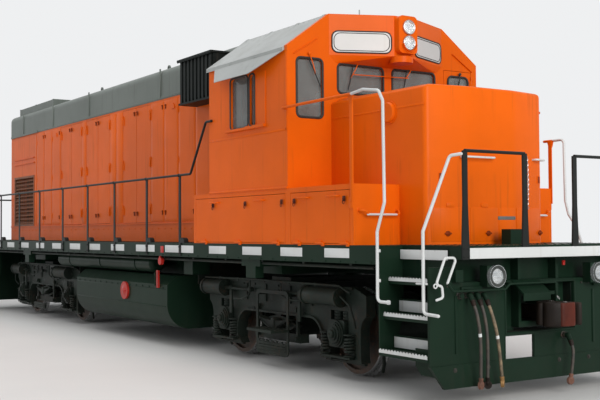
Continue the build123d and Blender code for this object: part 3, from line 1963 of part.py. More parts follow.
# Hood roof: the band above the side walls, rounded along both edges, and what stands on it
band_half = hood_half + hood_band_proud
with BuildPart() as hood_roof:
    with BuildSketch(Plane.YZ.offset(hood_rear)):
        with BuildLine():
            FilletPolyline(
                (-band_half, hood_side_top),
                (-band_half, hood_top),
                (band_half, hood_top),
                (band_half, hood_side_top),
                radius=hood_round,
            )
            Line((-band_half, hood_side_top), (band_half, hood_side_top))
        make_face()
    extrude(amount=cab_rear - roof_overhang_rear - hood_rear)
    for side in (-1, 1):
        block(
            cornice_x,
            (side * band_half, side * (band_half + rib_proud)),
            (hood_side_top, hood_side_top + 2 * rib_proud),
        )
        for x in eye_x:
            block(
                across(x, eye_radius),
                across(side * eye_y, eye_plate / 2),
                (hood_top, hood_top + eye_radius),
            )
            bar(x, across(side * eye_y, eye_plate / 2), hood_top + eye_radius, eye_radius)
            bar(
                x,
                across(side * eye_y, eye_plate),
                hood_top + eye_radius,
                eye_hole,
                mode=Mode.SUBTRACT,
            )
    for span in hatch_x:
        block(span, (-hatch_half, hatch_half), (hood_top, hood_top + hatch_rise))
    for x in exhaust_x:
        length, width = (size / 2 for size in exhaust_size)
        block(
            across(x, length),
            (-width, width),
            (hood_top, hood_top + exhaust_rise),
        )
        block(
            across(x, length - exhaust_wall),
            (-width + exhaust_wall, width - exhaust_wall),
            (hood_top, hood_top + exhaust_rise),
            mode=Mode.SUBTRACT,
        )
hood_roof.part.label = "hood_roof"
export_step(hood_roof.part, "parts/hood_roof.step")

# Filter boxes beside the hood, ribbed, with a lip round the lid and the foot
filter_top = hood_top - filter_drop
filter_low = filter_top - filter_height
with BuildPart() as filter_boxes:
    block(filter_x, (-filter_outer, -hood_half), (filter_low, hood_side_top))
    block(filter_x, (-filter_outer, -band_half), (hood_side_top, filter_top))
    pitch = (filter_x[1] - filter_x[0]) / filter_rib_count
    for count in range(filter_rib_count):
        x = filter_x[0] + (count + 0.5) * pitch
        block(
            across(x, pitch / 4),
            (-filter_outer - filter_rib, -filter_outer),
            (filter_low, filter_top),
        )
    lid = (filter_x[0] - filter_rib, filter_x[1] + filter_rib)
    block(
        lid,
        (-filter_outer - filter_rib - filter_lip, -band_half),
        (filter_top - filter_lip, filter_top),
    )
    block(
        filter_x,
        (-filter_outer - filter_rib - filter_lip / 2, -hood_half),
        (filter_low, filter_low + filter_lip),
    )
    mirror(about=Plane.XZ)
filter_boxes.part.label = "filter_boxes"
export_step(filter_boxes.part, "parts/filter_boxes.step")

# Radiator house on the roof, slotted from side to side
radiator_top = hood_top + radiator_rise
with BuildPart() as radiator_house:
    block(radiator_x, (-radiator_half, radiator_half), (hood_top, radiator_top))
    pitch = (radiator_x[1] - radiator_x[0] - 2 * radiator_rim) / radiator_slots
    for count in range(radiator_slots):
        x = radiator_x[0] + radiator_rim + (count + 0.5) * pitch
        block(
            across(x, pitch / 4),
            (-radiator_half + radiator_rim, radiator_half - radiator_rim),
            (hood_top + radiator_rim, radiator_top),
            mode=Mode.SUBTRACT,
        )
radiator_house.part.label = "radiator_house"
export_step(radiator_house.part, "parts/radiator_house.step")

# Air intake grilles: sloping slats in a raised frame
with BuildPart() as intake_grilles:
    block(intake_x, (-hood_half - intake_rim_proud, -hood_half + hood_wall), (intake_low, intake_high))
    inner = (intake_x[0] + intake_rim, intake_x[1] - intake_rim)
    block(
        inner,
        (-hood_half - intake_rim_proud, -hood_half + hood_wall),
        (intake_low + intake_rim, intake_high - intake_rim),
        mode=Mode.SUBTRACT,
    )
    step = (intake_height - 2 * intake_rim) / slat_count
    with BuildSketch(Plane.YZ.offset(inner[0])):
        for count in range(slat_count):
            low = intake_low + intake_rim + count * step + slat_thickness
            with BuildLine():
                Polyline(
                    (-hood_half, low),
                    (-hood_half + hood_wall, low + slat_rise),
                    (-hood_half + hood_wall, low + slat_rise + slat_thickness),
                    (-hood_half, low + slat_thickness),
                    close=True,
                )
            make_face()
    extrude(amount=inner[1] - inner[0])
    mirror(about=Plane.XZ)
intake_grilles.part.label = "intake_grilles"
export_step(intake_grilles.part, "parts/intake_grilles.step")

# Engine, one plain block
with BuildPart() as engine_block:
    block(engine_x, (-engine_half, engine_half), (deck_top, deck_top + engine_height))
engine_block.part.label = "engine_block"
export_step(engine_block.part, "parts/engine_block.step")

# Black handrails along the hood with their feet, and across each end
post_half = stanchion_width / 2
end_face = end_outer + shelf_depth
with BuildPart() as handrails:
    for x in stanchions:
        block(
            across(x, post_half),
            (-body_half, -body_half - stanchion_thickness),
            (stanchion_foot, rail_top),
        )
        with BuildSketch(side_view(x + gusset_offset, body_half - gusset_thickness)) as gusset:
            with Locations((0, deck_top)):
                Circle(gusset_radius)
            with Locations((0, deck_top - gusset_radius)):
                Rectangle(2 * gusset_radius, 2 * gusset_radius, mode=Mode.SUBTRACT)
        extrude(amount=gusset_thickness + stanchion_thickness)
    cab_rail = rail_top + rail_cab_rise
    pipe(
        (
            (stanchions[0] - post_half, -rail_y, rail_top),
            (rail_rise_start, -rail_y, rail_top),
            (rail_rise_end, -rail_y, cab_rail),
            (rail_cab_end, -rail_y, cab_rail),
        ),
        rail_radius,
        rail_bend,
    )
    bar(rail_cab_end - rail_radius, (-rail_y, -body_half), cab_rail, rail_radius)
    for end in (-1, 1):
        for y in end_post_y:
            with BuildSketch(Plane.YZ.offset(end * end_face)):
                with BuildLine():
                    Polyline(
                        (-y - end_post_foot / 2, shelf_bottom),
                        (-y + end_post_foot / 2, shelf_bottom),
                        (-y + end_post_foot / 2, deck_top),
                        (-y + end_post_width / 2, deck_top + end_post_taper),
                        (-y + end_post_width / 2, end_rail_top),
                        (-y - end_post_width / 2, end_rail_top),
                        (-y - end_post_width / 2, deck_top + end_post_taper),
                        (-y - end_post_foot / 2, deck_top),
                        close=True,
                    )
                make_face()
            extrude(amount=end * end_post_thickness)
        bar(
            end * (end_face + end_post_thickness / 2),
            (-end_post_y[0], -end_post_y[1]),
            end_rail_top,
            rail_radius,
        )
    mirror(about=Plane.XZ)
handrails.part.label = "handrails"
export_step(handrails.part, "parts/handrails.step")

# Orange rails along the front boxes, each on a flat post
box_rail_start = cab_front - box_rail_overlap
with BuildPart() as box_rails:
    bar((box_rail_start, box_post_x + box_post_flat[0]), -step_rail_y, box_rail_top, step_rail_radius)
    bar(
        box_rail_start + step_rail_radius,
        (-body_half, -step_rail_y),
        box_rail_top,
        step_rail_radius,
    )
    block(
        (box_post_x, box_post_x + box_post_flat[0]),
        (-body_half, -body_half - box_post_flat[1]),
        (deck_top + box_post_foot, box_rail_top),
    )
    mirror(about=Plane.XZ)
box_rails.part.label = "box_rails"
export_step(box_rails.part, "parts/box_rails.step")

# White rails at the corner steps, grab irons and the levers that lift the coupler pins
rail_down = well_start + step_rail_inset
corner_rail_start = end_post_y[1] + end_post_width / 2 + step_rail_radius - 1
with BuildPart() as step_rails:
    white_start = box_post_x + box_post_flat[0] + step_rail_radius / 8
    pipe(
        (
            (white_start, -step_rail_y, box_rail_top),
            (white_start + 245, -step_rail_y, box_rail_top + 20),
            (white_start + 488, -step_rail_y, box_rail_top - 25),
            (white_start + 558, -step_rail_y, box_rail_top - 135),
            (white_start + 575, -step_rail_y, deck_top + 446),
            (rail_down, -step_rail_y, deck_top + 144),
            (rail_down, -step_rail_y, rail_curl),
            (rail_down + rail_curl_reach, -step_rail_y, rail_curl - step_rail_radius),
        ),
        step_rail_radius,
        rail_bend * 0.7,
    )
    rear_start = stanchions[0] - post_half - hinge_end_gap
    pipe(
        (
            (rear_start, -step_rail_y, rail_top),
            (rear_start - 150, -step_rail_y, rail_top),
            (rear_start - 236, -step_rail_y, rail_top - 135),
            (rear_start - 236, -step_rail_y, deck_top + 446),
            (-rail_down, -step_rail_y, deck_top + 144),
            (-rail_down, -step_rail_y, rail_curl),
            (-rail_down - rail_curl_reach, -step_rail_y, rail_curl - step_rail_radius),
        ),
        step_rail_radius,
        rail_bend * 0.7,
    )
    for end in (-1, 1):
        for height in step_rail_brackets:
            block(
                across(end * rail_down, step_rail_radius / 2),
                (-body_half, -step_rail_y),
                across(height, step_rail_radius),
            )
        outer_x = end * corner_rail_x
        pipe(
            (
                (end * (end_face + end_post_thickness / 2), -corner_rail_start, corner_rail_top),
                (outer_x, -end_post_y[1] - corner_rail_run, corner_rail_top - step_rail_radius),
                (outer_x, -step_rail_y, deck_top + 144),
                (outer_x, -step_rail_y, rail_curl),
                (end * (end_face + step_rail_radius), -step_rail_y, rail_curl - corner_rail_run),
            ),
            step_rail_radius,
            rail_bend * 0.7,
        )
        block(
            (end * end_inner, end * (corner_rail_x + step_rail_radius / 2)),
            (-plate_half, -step_rail_y),
            across(plate_main_top, step_rail_radius),
        )
    pipe(
        (
            (front_box_end + hinge_end_gap, -grab_y[1], grab_height),
            (front_box_end + grab_reach, -grab_y[1], grab_height),
            (front_box_end + grab_reach, -grab_y[0], grab_height),
            (front_box_end + hinge_end_gap, -grab_y[0], grab_height),
        ),
        grab_radius,
        2 * grab_radius,
    )
    facet = Vector(nose_front - nose_side_end, nose_half - nose_front_half, 0).normalized()
    facet_out = Vector(facet.Y, -facet.X, 0)
    facet_start = Vector(nose_side_end, -nose_half, grab_height + nose_grab_rise)
    low, high = (facet_start + facet * share for share in nose_grab)
    pipe(
        (
            low + facet_out * hinge_end_gap,
            low + facet_out * grab_reach,
            high + facet_out * grab_reach,
            high + facet_out * hinge_end_gap,
        ),
        grab_radius,
        2 * grab_radius,
    )
    mirror(about=Plane.XZ)
    for end in (-1, 1):
        pipe(
            [(end * handle_x, end * y, height) for y, height in lever_route],
            lever_radius,
            lever_bend,
        )
step_rails.part.label = "step_rails"
export_step(step_rails.part, "parts/step_rails.step")


# Hoses: a control hose hangs in a long gentle bend, the brake hose in a shorter one
first_run = 92
first_point = (first_run * hose_aim[0], 0, -first_run * hose_aim[2])
control_bend = (
    # ahead of the nozzle, share of the swing, below the nozzle
    (0, 0, 0),
    first_point,
    (72, 0.15, 208),
    (70, 0.4, 378),
    (48, 0.65, 556),
    (22, 0.87, 712),
    (8, 1, 822),
)
brake_bend = (
    (0, 0, 0),
    first_point,
    (74, 0.2, 198),
    (68, 0.6, 318),
    (46, 1, 396),
)


def hose_points(number):
    """The points of one hose, from its nozzle to its free end."""
    y, height, swing = hoses[number]
    bend = brake_bend if number == len(hoses) - 1 else control_bend
    start_x = end_outer + fitting_reach + fitting_nozzle * hose_aim[0]
    start_z = height + fitting_nozzle * hose_aim[2]
    return [(start_x + ahead, y + share * swing, start_z - below) for ahead, share, below in bend]


def bend_radii(points):
    """The largest arc that each corner's two runs allow."""
    corners = [Vector(*point) for point in points]
    radii = []
    for before, corner, after in zip(corners, corners[1:], corners[2:]):
        turn = math.radians((corner - before).get_angle(after - corner))
        shorter = min((corner - before).length, (after - corner).length)
        radii.append(0.45 * shorter / math.tan(turn / 2))
    return radii


def hose(number):
    """One hose as a solid tube along its route."""
    points = hose_points(number)
    radii = bend_radii(points)
    with BuildLine() as route:
        FilletPolyline(*points, radius=radii)
    with BuildPart() as tube:
        with BuildSketch(Plane(origin=points[0], z_dir=hose_aim)) as section:
            Circle(hose_radius)
        sweep(sections=section.sketch, path=route.line)
    length = route.wire().length
    share = tube.part.volume / (math.pi * hose_radius**2 * length)
    print("hose", number, "length", round(length), "volume share", round(share, 4))
    print("  radii", [round(radius) for radius in radii])
    return tube.part


control_hoses = Compound(children=[hose(number) for number in range(len(hoses) - 1)])
control_hoses.label = "control_hoses"
export_step(control_hoses, "parts/control_hoses.step")
brake_hose = hose(len(hoses) - 1)
brake_hose.label = "brake_hose"
export_step(brake_hose, "parts/brake_hose.step")

# Grips: the coupling heads on the hoses' free ends
with BuildPart() as hose_grips:
    for number in range(len(hoses)):
        points = hose_points(number)
        along = (Vector(*points[-1]) - Vector(*points[-2])).normalized()
        foot = Vector(*points[-1])
        with BuildSketch(Plane(origin=foot, x_dir=(0, 1, 0), z_dir=along)):
            Circle(grip_radius)
        extrude(amount=grip_length)
        tip = foot + along * grip_length
        with BuildSketch(Plane(origin=tip, x_dir=along, z_dir=(0, 1, 0)).offset(-grip_head_width / 2)):
            Circle(grip_head_radius)
        extrude(amount=grip_head_width)
hose_grips.part.label = "hose_grips"
export_step(hose_grips.part, "parts/hose_grips.step")
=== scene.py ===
"""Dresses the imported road-switcher locomotive with its finishes, fittings, hoses and studio.

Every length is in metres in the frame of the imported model: X points ahead, Y to the
left, Z up from the foot of the wheel flanges. New pieces are surfaces worked out with
numpy and ride on the body that carries them.
"""

from __future__ import annotations

import json
import logging
import math
from dataclasses import dataclass
from enum import Enum
from functools import lru_cache
from typing import Any, Iterable, Mapping, Sequence, Union

import bpy
import numpy as np
from mathutils import Matrix, Vector

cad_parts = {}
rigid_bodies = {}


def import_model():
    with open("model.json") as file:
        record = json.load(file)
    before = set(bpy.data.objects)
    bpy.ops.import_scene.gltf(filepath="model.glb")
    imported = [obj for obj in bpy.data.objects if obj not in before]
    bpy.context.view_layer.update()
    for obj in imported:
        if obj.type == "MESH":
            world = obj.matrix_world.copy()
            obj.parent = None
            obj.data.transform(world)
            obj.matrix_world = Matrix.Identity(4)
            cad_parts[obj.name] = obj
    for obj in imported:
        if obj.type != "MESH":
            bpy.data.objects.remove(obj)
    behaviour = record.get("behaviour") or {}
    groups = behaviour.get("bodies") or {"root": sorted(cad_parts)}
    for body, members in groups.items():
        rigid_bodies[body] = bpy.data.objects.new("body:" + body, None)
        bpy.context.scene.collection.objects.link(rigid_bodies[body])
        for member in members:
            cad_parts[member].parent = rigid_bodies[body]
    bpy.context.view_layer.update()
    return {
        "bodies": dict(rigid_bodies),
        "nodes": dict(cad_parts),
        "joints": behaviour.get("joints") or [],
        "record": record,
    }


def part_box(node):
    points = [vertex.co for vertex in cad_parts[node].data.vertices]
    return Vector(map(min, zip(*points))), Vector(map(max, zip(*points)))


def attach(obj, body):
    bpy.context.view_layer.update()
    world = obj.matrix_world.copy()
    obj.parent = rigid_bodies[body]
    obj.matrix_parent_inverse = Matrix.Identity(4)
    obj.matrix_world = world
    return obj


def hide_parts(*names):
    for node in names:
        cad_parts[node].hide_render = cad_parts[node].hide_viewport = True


LOG = logging.getLogger("locomotive")

Colour = tuple[float, float, float]
Point = tuple[float, float, float]
Pair = tuple[float, float]
Number = Union["Wire", float]

AXLE_HEIGHT = 0.533
TRUCK_CENTRE = 4.534
AXLE_OFFSET = 1.3715
DECK_TOP = 1.585
SILL_HALF = 1.524
HOOD_HALF = 0.900
AXLES = (-AXLE_OFFSET, AXLE_OFFSET)
ROOT = "locomotive"
SMOOTH_ANGLE = 32.0
RING_SUNK = 0.004


def tint(colour: Colour, factor: float) -> Colour:
    """The colour made lighter or darker by a factor."""
    return (colour[0] * factor, colour[1] * factor, colour[2] * factor)


class Wire:
    """An output socket that Python's arithmetic works on, by adding Math nodes."""

    def __init__(self, tree: "Tree", socket: bpy.types.NodeSocket | None) -> None:
        """Keeps the socket and the tree that it belongs to."""
        self.tree = tree
        self.socket = socket

    def _math(self, operation: str, first: Number, second: Number) -> "Wire":
        """Adds one Math node of two values."""
        return self.tree.node("ShaderNodeMath", {"operation": operation}, {0: first, 1: second})

    def __add__(self, other: Number) -> "Wire":
        """Sum of two values."""
        return self._math("ADD", self, other)

    def __radd__(self, other: Number) -> "Wire":
        """Sum with a plain number first."""
        return self._math("ADD", other, self)

    def __sub__(self, other: Number) -> "Wire":
        """Difference of two values."""
        return self._math("SUBTRACT", self, other)

    def __rsub__(self, other: Number) -> "Wire":
        """Difference with a plain number first."""
        return self._math("SUBTRACT", other, self)

    def __mul__(self, other: Number) -> "Wire":
        """Product of two values."""
        return self._math("MULTIPLY", self, other)

    def __rmul__(self, other: Number) -> "Wire":
        """Product with a plain number first."""
        return self._math("MULTIPLY", other, self)

    def __truediv__(self, other: Number) -> "Wire":
        """Quotient of two values."""
        return self._math("DIVIDE", self, other)

    def __pow__(self, other: Number) -> "Wire":
        """Power of a value."""
        return self._math("POWER", self, other)

    def __abs__(self) -> "Wire":
        """Size of a value without its sign."""
        return self._math("ABSOLUTE", self, 0.0)

    def wave(self) -> "Wire":
        """Sine of a value."""
        return self._math("SINE", self, 0.0)

    def root(self) -> "Wire":
        """Square root of a value."""
        return self._math("SQRT", self, 0.0)

    def most(self, other: Number) -> "Wire":
        """Larger of two values."""
        return self._math("MAXIMUM", self, other)

    def ramp(self, low: float, high: float) -> "Wire":
        """Smooth step of a value, from 0 at low to 1 at high, clamped.

        Args:
            low: Value that gives 0.
            high: Value that gives 1; it may be below low.

        Returns:
            The stepped value.
        """
        return self.tree.node(
            "ShaderNodeMapRange",
            {"interpolation_type": "SMOOTHSTEP", "clamp": True},
            {0: self, 1: low, 2: high, 3: 0.0, 4: 1.0},
        )


class Tree:
    """The node tree of one material, with one method that adds any node."""

    def __init__(self, name: str) -> None:
        """Makes an empty material of that name."""
        self.material = bpy.data.materials.new(name)
        self.material.use_nodes = True
        self.nodes = self.material.node_tree.nodes
        self.links = self.material.node_tree.links
        self.nodes.clear()
        self._spots: dict[str, Wire] = {}

    def node(
        self,
        kind: str,
        settings: Mapping[str, Any] | None = None,
        sockets: Mapping[int | str, Any] | None = None,
        output: int | str = 0,
    ) -> Wire:
        """Adds a node, sets its settings, then its sockets.

        Args:
            kind: Blender's type name of the node.
            settings: Properties of the node.
            sockets: Values or wires for its inputs, by index or name.
            output: Index or name of the output that is wanted.

        Returns:
            The wanted output.
        """
        made = self.nodes.new(kind)
        for key, value in (settings or {}).items():
            setattr(made, key, value)
        for key, value in (sockets or {}).items():
            target = made.inputs[key]
            if isinstance(value, Wire):
                self.links.new(value.socket, target)
            elif target.type == "RGBA" and len(value) == 3:
                target.default_value = (*value, 1.0)
            else:
                target.default_value = value
        return Wire(self, made.outputs[output] if made.outputs else None)

    def spot(self) -> Wire:
        """Object coordinates of the surface, which are the model's own frame."""
        if "spot" not in self._spots:
            self._spots["spot"] = self.node("ShaderNodeTexCoord", output="Object")
        return self._spots["spot"]

    def part(self, axis: str) -> Wire:
        """One of X, Y and Z of the surface point."""
        if axis not in self._spots:
            self._spots[axis] = self.node("ShaderNodeSeparateXYZ", {}, {0: self.spot()}, axis)
        return self._spots[axis]

    def upward(self) -> Wire:
        """Z of the surface's own direction, 1 where it faces the sky."""
        if "upward" not in self._spots:
            normal = self.node("ShaderNodeNewGeometry", output="Normal")
            self._spots["upward"] = self.node("ShaderNodeSeparateXYZ", {}, {0: normal}, "Z")
        return self._spots["upward"]

    def place(self, scale: Point, location: Point = (0.0, 0.0, 0.0)) -> Wire:
        """Object coordinates, shifted and stretched for a pattern."""
        return self.node(
            "ShaderNodeMapping", {}, {"Vector": self.spot(), "Scale": scale, "Location": location}
        )

    def noise(
        self, scale: float, detail: float = 3.0, rough: float = 0.55, at: Wire | None = None
    ) -> Wire:
        """Cloudy noise from 0 to 1, so many waves a metre.

        Args:
            scale: Waves in a metre.
            detail: Octaves added.
            rough: How strong the fine octaves are.
            at: Coordinates, or none for the plain object ones.

        Returns:
            The noise value.
        """
        return self.node(
            "ShaderNodeTexNoise",
            {"noise_dimensions": "3D"},
            {"Vector": at or self.spot(), "Scale": scale, "Detail": detail, "Roughness": rough},
        )

    def mix(self, factor: Number, first: Any, second: Any) -> Wire:
        """Blends two colours with a Mix node."""
        return self.node(
            "ShaderNodeMix",
            {"data_type": "RGBA", "blend_type": "MIX"},
            {0: factor, 6: first, 7: second},
            2,
        )

    def bump(self, height: Wire, distance: float, over: Wire | None = None) -> Wire:
        """Normal that a height pattern gives, so many metres deep."""
        sockets: dict[int | str, Any] = {"Height": height, "Distance": distance, "Strength": 1.0}
        if over is not None:
            sockets["Normal"] = over
        return self.node("ShaderNodeBump", {}, sockets)

    def finish(self, **sockets: Any) -> bpy.types.Material:
        """Ends the tree in a Principled shader with these sockets.

        Args:
            **sockets: Values or wires, by socket name with spaces as underscores.

        Returns:
            The finished material.
        """
        named = {key.replace("_", " "): value for key, value in sockets.items()}
        shader = self.node("ShaderNodeBsdfPrincipled", {}, named)
        self.node("ShaderNodeOutputMaterial", {}, {"Surface": shader})
        return self.material


@dataclass(frozen=True)
class Finish:
    """A finish by name; each kind shades its own tree."""

    name: str

    def shade(self, tree: Tree) -> bpy.types.Material:
        """Fills the tree and returns its material."""
        raise NotImplementedError

    def material(self) -> bpy.types.Material:
        """The material, made once for each finish."""
        return _made(self)


@lru_cache(maxsize=None)
def _made(finish: Finish) -> bpy.types.Material:
    """Makes a finish's material the first time that it is asked for."""
    return finish.shade(Tree(finish.name))


@dataclass(frozen=True)
class Paint(Finish):
    """Enamel sprayed on steel plate, with sun fade, wash streaks, dust, chips and wavy sheet."""

    colour: Colour = (0.5, 0.5, 0.5)
    roughness: float = 0.34
    coat: float = 0.25
    fade: float = 0.10
    streak: Colour = (0.10, 0.045, 0.02)
    streaks: float = 0.25
    dust: Colour = (0.20, 0.16, 0.12)
    dust_top: float = 1.2
    dusting: float = 0.35
    settled: float = 0.25
    chip: Colour = (0.09, 0.035, 0.018)
    chips: float = 0.5
    wave: float = 0.004
    peel: float = 0.00022
    gloss: float = 0.24

    def shade(self, tree: Tree) -> bpy.types.Material:
        """Layers fade, streaks, dust and chips over the enamel.

        Args:
            tree: Empty tree to fill.

        Returns:
            The material.
        """
        broad = tree.noise(0.45, 3.0)
        cloud = tree.noise(3.4, 5.0, 0.6)
        colour = tree.mix(broad.ramp(0.32, 0.68), tint(self.colour, 1 - self.fade),
                          tint(self.colour, 1 + self.fade))
        colour = tree.mix(cloud.ramp(0.35, 0.85) * (self.fade * 1.2), colour, tint(self.colour, 0.62))
        fine = tree.noise(1.0, 6.0, 0.62, tree.place((15.0, 15.0, 0.55)))
        patch = tree.noise(1.3, 2.0)
        run = fine.ramp(0.52, 0.74) * patch.ramp(0.42, 0.66) * self.streaks
        colour = tree.mix(run, colour, self.streak)
        low = (tree.part("Z") + cloud * 0.5).ramp(self.dust_top + 0.25, self.dust_top - 0.55)
        film = low * self.dusting * tree.noise(9.0, 6.0, 0.7).ramp(0.25, 0.75)
        laid = tree.upward().ramp(0.62, 0.97) * cloud.ramp(0.30, 0.75) * self.settled
        dirt = film.most(laid)
        colour = tree.mix(dirt, colour, self.dust)
        flake = tree.noise(31.0, 9.0, 0.68)
        chipped = flake.ramp(0.665, 0.685) * tree.noise(2.1, 3.0).ramp(0.50, 0.62) * self.chips
        colour = tree.mix(chipped, colour, self.chip)
        rough = cloud * 0.10 + dirt * 0.38 + run * 0.25 + chipped * 0.4 + (self.roughness - 0.05)
        sheet = tree.bump(tree.noise(1.7, 1.0), self.wave)
        skin = tree.bump(tree.noise(160.0, 2.0) - chipped * 0.8, self.peel, sheet)
        return tree.finish(
            Base_Color=colour, Roughness=rough, Normal=skin, Coat_Weight=(1.0 - dirt) * self.coat,
            Coat_Roughness=0.16, IOR=1.45, Specular_IOR_Level=self.gloss,
        )


@dataclass(frozen=True)
class Iron(Finish):
    """Cast or rolled iron under old paint, brown with brake dust, oily dark and rusty in patches."""

    colour: Colour = (0.020, 0.034, 0.027)
    rust: Colour = (0.17, 0.060, 0.024)
    rusting: float = 0.25
    dust: Colour = (0.120, 0.100, 0.078)
    dusting: float = 0.45
    roughness: float = 0.55
    metallic: float = 0.0
    grain: float = 0.0016
    gloss: float = 0.30

    def shade(self, tree: Tree) -> bpy.types.Material:
        """Layers rust, settled dust and oil over a cast skin.

        Args:
            tree: Empty tree to fill.

        Returns:
            The material.
        """
        broad = tree.noise(2.2, 4.0, 0.6)
        fine = tree.noise(24.0, 7.0, 0.65)
        colour = tree.mix(broad.ramp(0.3, 0.7), tint(self.colour, 0.62), tint(self.colour, 1.45))
        rusty = fine.ramp(0.44, 0.66) * tree.noise(3.7, 3.0).ramp(0.45, 0.68) * self.rusting
        colour = tree.mix(rusty, colour, self.rust)
        laid = tree.upward().ramp(0.15, 0.85) * fine.ramp(0.22, 0.62) * self.dusting
        splash = (tree.part("Z") + broad * 0.4).ramp(0.95, 0.25) * fine.ramp(0.35, 0.7) * (self.dusting * 0.8)
        dirt = laid.most(splash)
        colour = tree.mix(dirt, colour, self.dust)
        oil = tree.noise(5.1, 2.0).ramp(0.60, 0.74)
        rough = dirt * 0.25 + rusty * 0.25 - oil * 0.20 + self.roughness
        skin = tree.bump(tree.noise(75.0, 5.0, 0.6) + fine * 0.6 + rusty * 0.5, self.grain)
        return tree.finish(
            Base_Color=colour, Roughness=rough, Normal=skin, Metallic=self.metallic, IOR=1.5,
            Specular_IOR_Level=self.gloss,
        )


@dataclass(frozen=True)
class WheelSteel(Finish):
    """Forged wheel: bright where the rail polishes the tread, scorched brown and oily inside."""

    axle_x: float = 0.0

    def shade(self, tree: Tree) -> bpy.types.Material:
        """Shades by the distance from the axle, root of (x - axle)^2 + (z - axle height)^2.

        Args:
            tree: Empty tree to fill.

        Returns:
            The material.
        """
        ahead = tree.part("X") - self.axle_x
        above = tree.part("Z") - AXLE_HEIGHT
        radius = (ahead * ahead + above * above).root()
        fine = tree.noise(30.0, 6.0, 0.62)
        broad = tree.noise(5.0, 3.0)
        body = tree.mix(broad.ramp(0.3, 0.7), (0.030, 0.026, 0.022), (0.085, 0.055, 0.038))
        rust = tree.mix(fine.ramp(0.45, 0.72) * 0.6, body, (0.16, 0.062, 0.028))
        across = abs(tree.part("Y"))
        tread = radius.ramp(0.492, 0.503) * across.ramp(0.675, 0.70)
        colour = tree.mix(tread, rust, (0.42, 0.42, 0.42))
        turned = (radius * 700.0).wave() * 0.5
        skin = tree.bump(fine + turned * 0.25, 0.0012)
        return tree.finish(
            Base_Color=colour, Roughness=fine * 0.2 + (1.0 - tread) * 0.32 + 0.18, Metallic=tread * 0.9,
            Normal=skin, IOR=1.5,
        )


@dataclass(frozen=True)
class Pane(Finish):
    """Window pane: a grey film of painted reflection, with noise haze and dirt specks; it lets the cab behind
    it show.
    """

    # Grey of the film and its opacity: painted reflection on the glass.
    colour: Colour = (0.175, 0.185, 0.178)
    cover: float = 0.60

    def shade(self, tree: Tree) -> bpy.types.Material:
        """Grey film over clear glass, by alpha: painted reflection of the sky, with noise haze and dirt
        specks.

        Args:
            tree: Empty tree to fill.

        Returns:
            The material.
        """
        haze = tree.noise(6.0, 5.0, 0.6)
        specks = tree.noise(55.0, 5.0, 0.7).ramp(0.62, 0.72)
        # Haze noise lightens the grey of the painted reflection in patches.
        colour = tree.mix(haze.ramp(0.3, 0.8) * 0.6, self.colour, (0.27, 0.29, 0.28))
        skin = tree.bump(tree.noise(2.5, 1.0), 0.0015)
        # Alpha is the opacity of the grey painted reflection, raised by haze and by dirt specks.
        return tree.finish(
            Base_Color=colour, Roughness=haze * 0.06 + specks * 0.2 + 0.02, Normal=skin,
            Alpha=haze * 0.14 + specks * 0.25 + (self.cover - 0.07), IOR=1.52,
        )


@dataclass(frozen=True)
class Lens(Finish):
    """Sealed-beam lamp: a bright bowl behind a fluted, slightly dusty lens."""

    glow: float = 0.0

    def shade(self, tree: Tree) -> bpy.types.Material:
        """Fluting is a sine of Y, the bowl a mirror whose tone drifts with noise.

        Args:
            tree: Empty tree to fill.

        Returns:
            The material.
        """
        haze = tree.noise(20.0, 4.0)
        ribs = (tree.part("Y") * 520.0).wave() * 0.5 + (tree.part("Z") * 160.0).wave() * 0.3
        colour = tree.mix(haze.ramp(0.35, 0.75), (0.50, 0.53, 0.54), (0.78, 0.80, 0.80))
        return tree.finish(
            Base_Color=colour, Roughness=haze * 0.14 + 0.10, Metallic=0.80,
            Normal=tree.bump(ribs, 0.0012), Coat_Weight=1.0, Coat_Roughness=0.03,
            Emission_Color=(0.95, 0.97, 1.0), Emission_Strength=self.glow, IOR=1.5,
        )


@dataclass(frozen=True)
class Rubber(Finish):
    """Air-hose rubber: dull, wrapped ply marks, dust on its bends."""

    colour: Colour = (0.035, 0.030, 0.026)
    tone: Colour = (0.14, 0.105, 0.07)
    toning: float = 0.35

    def shade(self, tree: Tree) -> bpy.types.Material:
        """Ply marks are a sine along Z and dust a noise patch.

        Args:
            tree: Empty tree to fill.

        Returns:
            The material.
        """
        cloud = tree.noise(13.0, 5.0, 0.65)
        fine = tree.noise(140.0, 3.0)
        colour = tree.mix(cloud.ramp(0.38, 0.72) * self.toning, self.colour, self.tone)
        ply = (tree.part("Z") * 900.0 + tree.part("Y") * 260.0).wave() * 0.35
        return tree.finish(
            Base_Color=colour, Roughness=cloud * 0.2 + 0.52, Normal=tree.bump(ply + fine, 0.0009), IOR=1.5,
        )


@dataclass(frozen=True)
class Mesh(Finish):
    """Expanded-metal or slatted screen: painted shade in the gaps between slats, painted or rusty ribs."""

    colour: Colour = (0.15, 0.17, 0.155)
    # Near-black colour of the painted shade in the gaps between slats.
    painted_gap_shade: Colour = (0.006, 0.006, 0.006)
    pitch: float = 0.03
    rust: Colour = (0.20, 0.085, 0.04)
    rusting: float = 0.4

    def shade(self, tree: Tree) -> bpy.types.Material:
        """Slat shade is a sine of Z; rust is noise stretched down the screen.

        Args:
            tree: Empty tree to fill.

        Returns:
            The material.
        """
        cloud = tree.noise(2.6, 5.0, 0.6)
        runs = tree.noise(1.0, 6.0, 0.6, tree.place((13.0, 13.0, 1.4)))
        ribs = (tree.part("X") * (math.tau / self.pitch)).wave()
        colour = tree.mix(runs.ramp(0.45, 0.70) * self.rusting, self.colour, self.rust)
        # Painted shade: the troughs of the sine darken to the gap colour and stand in for the dark openings
        # between the slats.
        colour = tree.mix(ribs.ramp(0.2, -0.6) * 0.55, colour, self.painted_gap_shade)
        colour = tree.mix(cloud.ramp(0.5, 0.8) * 0.35, colour, tint(self.colour, 0.45))
        return tree.finish(
            Base_Color=colour, Roughness=cloud * 0.2 + 0.45, Normal=tree.bump(ribs * 0.6 + runs, 0.003),
            IOR=1.5,
        )


